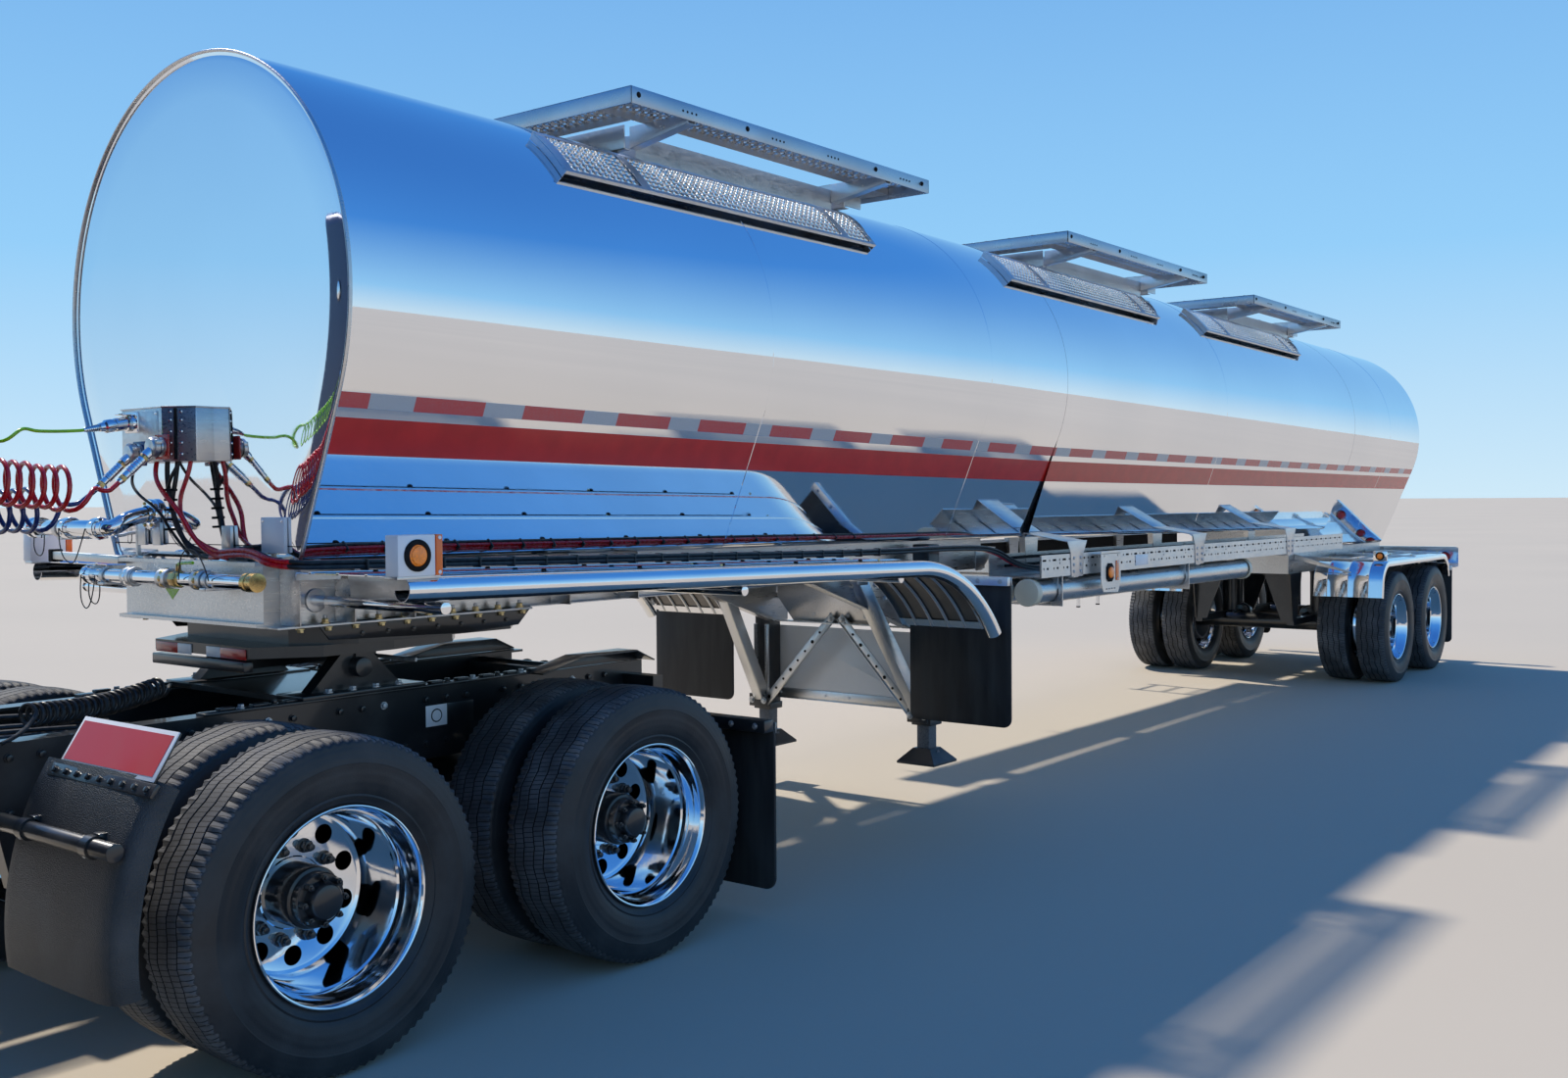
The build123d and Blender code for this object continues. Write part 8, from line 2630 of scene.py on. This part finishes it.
        work.add(block((x - 0.075, KINGPIN.y - 0.265, 1.010), (x + 0.090, KINGPIN.y + 0.265, 1.026), 0.003), 0,
            both_sides())
        work.add(pipe([(0.20, KINGPIN.y + 0.12, 1.130), (0.36, KINGPIN.y + 0.16, 1.125), (0.46, KINGPIN.y + 0.17,
            1.120), (0.50, KINGPIN.y + 0.18, 1.120)], 0.008, 10), 1)
        ramp = [(-2.140, 1.001), (-1.900, 1.052), (-1.590, 1.052), (-1.480, 1.001)]
        work.add(plate(ramp, "yzx", 0.400, 0.408, 0.001), 0, both_sides())
        work.add(beam((0.455, -2.140, 1.004), (0.455, -1.900, 1.054), 0.120, 0.006, LEFT, 0.001), 0, both_sides())
        work.add(block((0.395, -1.902, 1.050), (0.515, -1.590, 1.057), 0.001), 0, both_sides())
        work.add(beam((0.455, -1.592, 1.054), (0.455, -1.482, 1.004), 0.120, 0.006, LEFT, 0.001), 0, both_sides())
        work.add(block((0.4305, -2.660, 0.850), (0.4320, -2.560, 0.930), 0.0005), 4, both_sides())
        work.add(block((0.4305, -2.555, 0.850), (0.4320, -2.430, 0.930), 0.0005), 0, both_sides())
        work.add(rod((0.4320, -2.610, 0.890), (0.4328, -2.610, 0.890), 0.026, 24), 0, both_sides())
        work.add(rod((0.4327, -2.610, 0.890), (0.4333, -2.610, 0.890), 0.021, 24), 4, both_sides())
        for sign in (1, -1):
            for x, z, lens in ((0.20, 0.90, 0), (0.32, 0.90, 0)):
                work.add(turned([(0, 0.055), (0.012, 0.055), (0.016, 0.048), (0.018, 0.0)], (sign * x, -1.474, z),
                    REAR, 32), 5)
        work.done("tractor", "chassis", crease=35)

    def chambers(self):
        """Brake chambers with their rings, push rods and brackets on the drive and trailer axles."""
        can = [(0, 0.030), (0.006, 0.070), (0.050, 0.078), (0.056, 0.088), (0.070, 0.088), (0.076, 0.078), (0.128,
            0.078), (0.140, 0.070), (0.190, 0.062), (0.196, 0.0)]
        for name, body, stations, z in (
            ("drive_chambers", "tractor", (DRIVE_Y, DRIVE_2_Y), TYRE_R), ("trailer_chambers", "trailer", (TRAILER_1_Y,
                TRAILER_2_Y), TYRE_R),
        ):
            work = Piece(name, chassis_black(), satin_steel(), black_rubber_and_shade(), zinc())
            for y in stations:
                work.add(turned(can, (0.330, y + 0.150, z + 0.060), REAR, 32), 0, both_sides())
                work.add(turned([(0.054, 0.0885), (0.058, 0.092), (0.068, 0.092), (0.072, 0.0885)], (0.330, y + 0.150,
                    z + 0.060), REAR, 32), 1, both_sides())
                work.add(rod((0.330, y + 0.010, z + 0.060), (0.330, y + 0.152, z + 0.060), 0.009, 16), 3, both_sides())
                work.add(block((0.318, y - 0.030, z - 0.060), (0.342, y + 0.035, z + 0.090), 0.008), 0, both_sides())
            work.done(body, "chassis", crease=35)


# Cab, hood, bumper and seats

CAB_HALF = 1.140
SCREEN_FOOT = Vector((0, COWL_Y, 2.100))
SCREEN_HEAD = Vector((0, COWL_Y + 0.520, 2.830))
DOOR_FRONT, DOOR_BACK = COWL_Y + 0.130, COWL_Y + 1.110


def closed_tube(points, radius, sides=8):
    """A tube round a closed run of points."""
    return pipe([*points, points[0], points[1]], radius, sides, smooth=False, cap=False)


def on_screen(x, rise, lift=0.0):
    """A place on the windscreen's plane, up from its foot."""
    run = (SCREEN_HEAD - SCREEN_FOOT).normalized()
    out = Vector((0, -run.z, run.y))
    return SCREEN_FOOT + LEFT * x + run * rise + out * lift


def hood_side(y):
    """Half the hood's width at a station."""
    return 0.740 + (0.930 - 0.740) * (y + 9.795) / 2.108


def cushion(low, high, crown, soft=0.10, cuts=9):
    """A stuffed pad: crowned faces and sides that draw in between its corners."""
    shape = bmesh.new()
    bmesh.ops.create_cube(shape, size=2.0)
    bmesh.ops.subdivide_edges(shape, edges=shape.edges[:], cuts=cuts, use_grid_fill=True)
    low, high = Vector(low), Vector(high)
    middle, half = (low + high) / 2, (high - low) / 2
    for vert in shape.verts:
        u, v, w = vert.co
        draw_x = 1 - soft * (1 - v * v) * 0.25 - soft * w * w * u * u * 0.6
        draw_y = 1 - soft * (1 - u * u) * 0.25 - soft * w * w * v * v * 0.6
        rise = w * (1 + crown * (1 - u * u) * (1 - v * v)) * (1 - 0.22 * (u**4 + v**4) / 2)
        vert.co = middle + Vector((u * draw_x * half.x, v * draw_y * half.y, rise * half.z / (1 + crown)))
    bmesh.ops.smooth_vert(shape, verts=shape.verts, factor=0.5, use_axis_x=True, use_axis_y=True, use_axis_z=True)
    return shape


class TANKER_OT_cab(bpy.types.Operator):
    """Makes the cab's seals, lamps, handles, steps, straps, trims and wipers"""

    bl_idname = "tanker.cab"
    bl_label = "Cab"
    bl_options = {"REGISTER", "UNDO"}

    def execute(self, context):
        self.shell()
        self.doors()
        self.hood()
        self.front()
        self.seats()
        return {"FINISHED"}

    def shell(self):
        """Everything fixed on the cab and its tanks."""
        work = Piece(
            "cab_fittings", black_rubber_and_shade(), chrome(), amber_lens(), chassis_black(), mill_aluminium(),
                pebbled_plastic(),
            red_lens(), polished_aluminium(), cab_paint(),
        )
        for sign in (1, -1):
            outline = [on_screen(sign * u, v, 0.001) for u, v in corner_loop((0.031, 0.066), (0.939, 0.811), 0.040)]
            work.add(closed_tube(outline, 0.010), 0)
            outline = [Vector((sign * (CAB_HALF + 0.0005), y, z)) for y, z in corner_loop((CAB_BACK_Y - 0.979, 2.251),
                (CAB_BACK_Y - 0.621, 2.619), 0.049)]
            work.add(closed_tube(outline, 0.009), 0)
            for x, lean in ((0.10, 0.62), (0.50, 0.50)):
                foot, tip = on_screen(sign * x, -0.010, 0.022), on_screen(sign * (x + 0.22), lean, 0.022)
                work.add(rod(foot - UP * 0.02, foot + UP * 0.012, 0.020, 20, 0.003), 3)
                work.add(pipe([foot, foot.lerp(tip, 0.3) + UP * 0.006, tip], 0.006, 8), 3)
                blade = [on_screen(sign * (x + 0.22 - 0.10), lean - 0.30, 0.012), on_screen(sign * (x + 0.22 + 0.10),
                    lean + 0.28 if lean < 0.5 else lean + 0.14, 0.012)]
                work.add(beam(blade[0], blade[1], 0.014, 0.018, LEFT, 0.003), 3)
        visor = [(SCREEN_HEAD.y + 0.030, 2.868), (SCREEN_HEAD.y - 0.060, 2.822), (SCREEN_HEAD.y - 0.150, 2.752),
            (SCREEN_HEAD.y - 0.147, 2.744),
                 (SCREEN_HEAD.y - 0.052, 2.812), (SCREEN_HEAD.y + 0.030, 2.852)]
        work.add(plate(visor, "yzx", -1.04, 1.04, 0.001), 8)
        slope = Vector((0, -0.407, 0.913))
        for x in (-0.80, -0.22, 0.0, 0.22, 0.80):
            place = Vector((x, -6.900, 2.830 + (7.155 - 6.900) * 0.4458))
            work.add(turned([(-0.004, 0.046), (0.010, 0.046), (0.014, 0.040)], place, slope, 32), 1)
            work.add(turned([(0.010, 0.040), (0.024, 0.034), (0.034, 0.020), (0.037, 0.0)], place, slope, 32), 2)
        for sign in (1, -1):
            side = () if sign > 0 else (MIRROR,)
            y, low, high = DOOR_BACK + 0.075, 1.420, 2.300
            work.add(pipe([(CAB_HALF, y, low), (CAB_HALF + 0.030, y, low), (CAB_HALF + 0.048, y, low + 0.02),
                (CAB_HALF + 0.048, y, (low + high) / 2),
                           (CAB_HALF + 0.048, y, high - 0.02), (CAB_HALF + 0.030, y, high), (CAB_HALF, y, high)],
                               0.013, 12), 1, side)
            work.add(block((CAB_HALF, COWL_Y + 0.020, 1.224), (CAB_HALF + 0.004, CAB_BACK_Y - 0.07, 1.256), 0.0015), 7,
                side)
            for y in (DOOR_BACK + 0.030, CAB_BACK_Y - 1.060):
                work.add(block((CAB_HALF, y, 1.262), (CAB_HALF + 0.0008, y + 0.006, 3.080)), 0, side)
            work.add(block((CAB_HALF, CAB_BACK_Y - 1.02, 2.680), (CAB_HALF + 0.0008, CAB_BACK_Y - 0.08, 2.685)), 0,
                side)
            work.add(rod((CAB_HALF, CAB_BACK_Y - 0.200, 1.420), (CAB_HALF + 0.012, CAB_BACK_Y - 0.200, 1.420), 0.032,
                28, 0.004), 2, side)
            work.add(plate(corner_loop((CAB_BACK_Y - 0.90, 1.36), (CAB_BACK_Y - 0.34, 1.86), 0.035), "yzx", CAB_HALF,
                CAB_HALF + 0.002, 0.0005), 8, side)
            work.add(closed_tube([Vector((CAB_HALF + 0.001, y, z)) for y, z in corner_loop((CAB_BACK_Y - 0.905, 1.355),
                (CAB_BACK_Y - 0.335, 1.865), 0.038)], 0.004), 0, side)
            work.add(block((CAB_HALF + 0.002, CAB_BACK_Y - 0.640, 1.385), (CAB_HALF + 0.012, CAB_BACK_Y - 0.600,
                1.420), 0.003), 1, side)
        for x, z in ((0.0, 2.000), (-0.150, 1.920), (-0.235, 2.080)):
            work.add(turned([(0.0, 0.040), (0.008, 0.040), (0.012, 0.030), (0.014, 0.024)], (x, CAB_BACK_Y, z), REAR,
                32), 1)
        for x in (-0.72, 0.72):
            work.add(rod((x, CAB_BACK_Y, 2.70), (x, CAB_BACK_Y + 0.026, 2.70), 0.062, 36, 0.006), 3)
            work.add(turned([(0.026, 0.052), (0.030, 0.040), (0.032, 0.0)], (x, CAB_BACK_Y, 2.70), REAR, 36), 7)
        for x0, x1 in ((-0.95, -0.55), (0.55, 0.95)):
            for step in range(7):
                z = 1.500 + 0.036 * step
                work.add(beam((x0, CAB_BACK_Y + 0.006, z), (x1, CAB_BACK_Y + 0.006, z), 0.012, 0.020, UP, 0.002), 3)
        fuel_x, fuel_z, fuel_r, fuel_y = 0.800, 0.780, 0.320, COWL_Y + 0.250
        for share in (0.170, 0.480, 0.790):
            y = fuel_y + 1.750 * share
            work.add(turned([(-0.030, fuel_r + 0.0005), (-0.030, fuel_r + 0.004), (0.030, fuel_r + 0.004), (0.030,
                fuel_r + 0.0005)], (fuel_x, y, fuel_z), REAR, 96), 1, both_sides())
            work.add(turned([(-0.034, fuel_r), (-0.034, fuel_r + 0.002), (0.034, fuel_r + 0.002), (0.034, fuel_r)],
                (fuel_x, y, fuel_z), REAR, 96), 0, both_sides())
        y = fuel_y + 0.420
        place, out = Vector((fuel_x + 0.20, y + 0.30, fuel_z + 0.248)), Vector((0.6, 0, 0.8))
        work.add(rod(place, place + out * 0.030, 0.045, 32, 0.004), 1, both_sides())
        work.add(rod(place + out * 0.028, place + out * 0.046, 0.055, 12, 0.004), 1, both_sides())
        for z in (0.430, 0.790):
            work.add(block((fuel_x + 0.152, fuel_y + 0.155, z), (1.193, fuel_y + 0.645, z + 0.004), 0.001), 4,
                both_sides())
            for step in range(11):
                y = fuel_y + 0.185 + 0.043 * step
                work.add(block((fuel_x + 0.165, y, z + 0.003), (1.185, y + 0.010, z + 0.009), 0.002), 4, both_sides())
        for sign in (1, -1):
            x = sign * 1.320
            work.add(block((x - 0.098, COWL_Y + 0.0595 - 0.0, 2.330), (x + 0.098, COWL_Y + 0.0625, 2.640), 0.001), 7)
            work.add(block((x - 0.098, COWL_Y + 0.0595, 1.960), (x + 0.098, COWL_Y + 0.0625, 2.300), 0.001), 7)
        work.done("tractor", "cab_paint", crease=32)

    def doors(self):
        """Window seals, handles and trims that swing with each door."""
        back, head = DOOR_BACK - 0.070, 2.690
        rake = (SCREEN_HEAD.y - COWL_Y) / 0.730
        head_y = DOOR_FRONT + 0.070 + (head - 2.160) * rake
        corners = [(DOOR_FRONT + 0.100, 2.060), (DOOR_FRONT + 0.100, 2.140), (head_y + 0.030, head), (back, head),
            (back, 2.060)]
        closed = rounded_path([corners[-1], *corners, corners[0]], 0.045, 4)[1:-1]
        for name, sign in SIDES.items():
            trim = Piece(f"door_trim_{name}", black_rubber_and_shade(), chrome(), polished_aluminium(), cab_paint(),
                pebbled_plastic())
            x = sign * CAB_HALF
            trim.add(closed_tube([Vector((x + sign * 0.0005, y, z)) for y, z in closed], 0.009), 0)
            handle_y = DOOR_BACK - 0.125
            trim.add(block((x - sign * 0.001, handle_y - 0.080, 1.880), (x + sign * 0.006, handle_y + 0.080, 1.946),
                0.003), 1)
            trim.add(block((x + sign * 0.006, handle_y - 0.064, 1.901), (x + sign * 0.030, handle_y + 0.064, 1.926),
                0.006), 1)
            trim.add(rod((x, handle_y + 0.045, 1.850), (x + sign * 0.004, handle_y + 0.045, 1.850), 0.011, 20, 0.001),
                1)
            trim.add(block((x, DOOR_FRONT + 0.035, 1.330), (x + sign * 0.0025, DOOR_BACK - 0.035, 1.334)), 0)
            trim.add(block((x, DOOR_FRONT + 0.035, 1.985), (x + sign * 0.0025, DOOR_BACK - 0.035, 1.993), 0.001), 2)
            inner = x - sign * 0.046
            trim.add(block((inner, DOOR_FRONT + 0.06, 1.330), (inner - sign * 0.012, DOOR_BACK - 0.05, 2.010), 0.005),
                4)
            trim.add(block((inner - sign * 0.012, DOOR_FRONT + 0.300, 1.700), (inner - sign * 0.050,
                DOOR_FRONT + 0.720, 1.740), 0.008), 4)
            trim.done(f"door_{name}", "cab_paint", crease=32)

    def hood(self):
        """Latches, louvres, seams, trims, grille frame and lamp surrounds that tilt with the hood."""
        work = Piece("hood_fittings", black_rubber_and_shade(), chrome(), cab_paint(), amber_lens(), clear_lens(),
            chassis_black())
        for sign in (1, -1):
            y = COWL_Y - 0.075
            x = sign * hood_side(y)
            work.add(block((x, y - 0.030, 1.500), (x + sign * 0.012, y + 0.040, 1.560), 0.004), 1)
            work.add(beam((x + sign * 0.016, y - 0.020, 1.530), (x + sign * 0.022, y + 0.085 - 0.03, 1.530), 0.012,
                0.034, LEFT, 0.004), 0)
            for step in range(6):
                z = 1.420 + 0.034 * step
                y0, y1 = -8.520, -8.060
                work.add(beam((sign * (hood_side(y0) + 0.001), y0, z), (sign * (hood_side(y1) + 0.001), y1, z), 0.008,
                    0.016, LEFT, 0.002), 5)
            for z in (1.405, 1.612):
                work.add(beam((sign * (hood_side(-8.55) + 0.001), -8.55, z), (sign * (hood_side(-8.03) + 0.001), -8.03,
                    z), 0.006, 0.008, LEFT, 0.001), 1)
            work.add(rod((sign * (hood_side(-9.20)), -9.20, 1.300), (sign * (hood_side(-9.20) + 0.012), -9.20, 1.300),
                0.030, 28, 0.004), 3)
            low_y, high_y = -9.7465, -9.7700
            for x0, x1 in ((0.770, 0.785), (1.115, 1.130)):
                work.add(beam((sign * (x0 + x1) / 2, low_y, 0.640), (sign * (x0 + x1) / 2, high_y, 0.862), 0.018,
                    0.016, LEFT, 0.003), 1)
            for z in (0.642, 0.858):
                work.add(rod((sign * 0.775, -9.748 - (z - 0.64) * 0.12, z), (sign * 1.125, -9.748 - (z - 0.64) * 0.12,
                    z), 0.009, 16), 1)
            for x0 in (0.865, 1.035):
                work.add(turned([(0.000, 0.072), (0.004, 0.074), (0.008, 0.068), (0.004, 0.045), (0.010, 0.020),
                    (0.012, 0.0)], (sign * x0, -9.7760, 0.750), -REAR, 36), 4)
        frame_y = -9.8115
        outline = [Vector((x, frame_y + 0.010, z)) for x, z in corner_loop((-0.432, 0.898), (0.432, 1.552), 0.060)]
        work.add(closed_tube(outline, 0.014, 12), 1)
        work.add(block((-0.400, -9.762, 0.925), (0.400, -9.758, 1.525)), 0)
        for step in range(19):
            x = -0.378 + 0.042 * step
            work.add(block((x - 0.002, -9.768, 0.928), (x + 0.002, -9.762, 1.520)), 5)
        work.add(beam((0, -9.700, 1.701), (0, COWL_Y - 0.030, 2.064), 0.010, 0.006, LEFT, 0.002), 1)
        work.done("hood", "cab_paint", crease=32)

    def front(self):
        """Blank plate, hooks, lamps and bolts on the bumper."""
        work = Piece("bumper_fittings", white_paint(), chassis_black(), clear_lens(), chrome(), amber_lens(), zinc())
        front = -9.925
        work.add(block((-0.152, front - 0.004, 0.485), (0.152, front - 0.0005, 0.635), 0.001), 0)
        for x in (-0.089, 0.089):
            work.add(bolt((x, front - 0.004, 0.560), -REAR, 0.006, 0.004), 5)
        for sign in (1, -1):
            for x, lens in ((0.620, 2), (0.860, 4)):
                work.add(turned([(0.0, 0.062), (0.006, 0.062), (0.008, 0.052)], (sign * x, front, 0.510), -REAR, 36), 3)
                work.add(turned([(0.002, 0.052), (0.010, 0.040), (0.013, 0.0)], (sign * x, front, 0.510), -REAR, 36),
                    lens)
            work.add(block((sign * 0.360, front - 0.003, 0.470), (sign * 0.420, front, 0.560), 0.002), 1)
            for x in (0.30, 0.48, 0.96):
                work.add(rod((sign * x, front - 0.004, 0.640), (sign * x, front, 0.640), 0.013, 20, 0.002), 3)
        work.done("tractor", "chrome", crease=32)

    def seats(self):
        """Two stuffed seats: cushions, backs, rests, piping, arms and pedestals."""
        floor, seat_y = 1.265, COWL_Y + 1.080
        parts = Piece("seat_cushions", seat_cloth(), dash_plastic(), black_rubber_and_shade(), satin_steel())
        for x in (0.520, -0.520):
            parts.add(block((x - 0.180, seat_y - 0.180, floor), (x + 0.180, seat_y + 0.180, floor + 0.300), 0.020), 1)
            for step in range(4):
                parts.add(ring_of((x, seat_y, floor + 0.05 + 0.05 * step), (x, seat_y, floor + 0.085 + 0.05 * step),
                    0.1815, 0.01), 2)
            parts.add(cushion((x - 0.250, seat_y - 0.270, floor + 0.310), (x + 0.250, seat_y + 0.190, floor + 0.460),
                0.30), 0)
            lean = about((x, seat_y + 0.150, floor + 0.430), "X", radians(-7))
            back = cushion((x - 0.240, -0.060, 0.0), (x + 0.240, 0.070, 0.560), 0.0, 0.2)
            bmesh.ops.translate(back, vec=(0, seat_y + 0.215, floor + 0.400), verts=back.verts)
            parts.add(back, 0, (lean,))
            rest = cushion((x - 0.140, -0.050, 0.0), (x + 0.140, 0.050, 0.160), 0.0, 0.25)
            bmesh.ops.translate(rest, vec=(0, seat_y + 0.215, floor + 0.965), verts=rest.verts)
            parts.add(rest, 0, (lean,))
            for z in (0.180, 0.360):
                parts.add(pipe([(x - 0.225, seat_y + 0.150, floor + 0.400 + z), (x - 0.1, seat_y + 0.138,
                    floor + 0.400 + z), (x + 0.1, seat_y + 0.138, floor + 0.400 + z),
                                (x + 0.225, seat_y + 0.150, floor + 0.400 + z)], 0.004, 8), 2, (lean,))
            for side in (-1, 1):
                arm = x + side * 0.262
                parts.add(block((arm - 0.020, seat_y - 0.120, floor + 0.600), (arm + 0.020, seat_y + 0.220,
                    floor + 0.640), 0.012), 1)
                parts.add(rod((arm, seat_y + 0.190, floor + 0.420), (arm, seat_y + 0.190, floor + 0.610), 0.012, 16), 3)
        seat = parts.done("tractor", "seat", "seats", crease=40)


class TANKER_OT_finishes(bpy.types.Operator):
    """Gives every other construction node its finish"""

    bl_idname = "tanker.finishes"
    bl_label = "Finishes"
    bl_options = {"REGISTER", "UNDO"}

    def execute(self, context):
        finish_of_slot = {
            "chassis": chassis_black, "cab_paint": cab_paint, "glass": window_glass, "chrome": chrome,
            "seat": seat_cloth, "dash": dash_plastic, "engine": cast_iron, "lamp": clear_lens,
            "black_plastic": pebbled_plastic, "tank": polished_sheet, "galvanised": satin_steel,
            "aluminium": polished_aluminium, "flap": flap_rubber, "leg": leg_black,
            "stainless": satin_steel, "hose_red": red_line, "hose_blue": blue_line,
            "hose_green": green_line, "tyre": sidewall_rubber, "wheel": polished_aluminium,
        }
        finish_of_node = {"spill_dams": mill_aluminium}
        for row in frame["record"]["subparts"]:
            finish = finish_of_node.get(row["node"], finish_of_slot[row["material_slot"]])
            give_finish(row["node"], finish())
        return {"FINISHED"}


OPERATORS = (
    TANKER_OT_stage, TANKER_OT_lines, TANKER_OT_finishes, TANKER_OT_barrel, TANKER_OT_wheels, TANKER_OT_fenders,
    TANKER_OT_nose, TANKER_OT_frame, TANKER_OT_landing, TANKER_OT_walkways, TANKER_OT_tractor,
    TANKER_OT_cab,
)


class TANKER_PT_sidebar(bpy.types.Panel):
    """Lists the truck's pieces"""

    bl_idname = "TANKER_PT_sidebar"
    bl_label = "Tanker"
    bl_space_type = "VIEW_3D"
    bl_region_type = "UI"
    bl_category = "Tanker"

    def draw(self, context):
        column = self.layout.column(align=True)
        for operator in OPERATORS:
            column.operator(operator.bl_idname)
        for group in (context.scene.tanker_sizes, context.scene.tanker_colours):
            for name in group.__annotations__:
                column.prop(group, name)


CLASSES = (TankerSizes, TankerColours, *OPERATORS, TANKER_PT_sidebar)


def register():
    """Registers the classes and their properties."""
    for item in CLASSES:
        bpy.utils.register_class(item)
    bpy.types.Scene.tanker_sizes = bpy.props.PointerProperty(type=TankerSizes)
    bpy.types.Scene.tanker_colours = bpy.props.PointerProperty(type=TankerColours)


def unregister():
    """Removes them again."""
    del bpy.types.Scene.tanker_colours
    del bpy.types.Scene.tanker_sizes
    for item in reversed(CLASSES):
        bpy.utils.unregister_class(item)


def main():
    """Registers the add-on and makes every piece in order."""
    register()
    for operator in OPERATORS:
        group, name = operator.bl_idname.split(".")
        getattr(getattr(bpy.ops, group), name)()


if __name__ == "__main__":
    main()
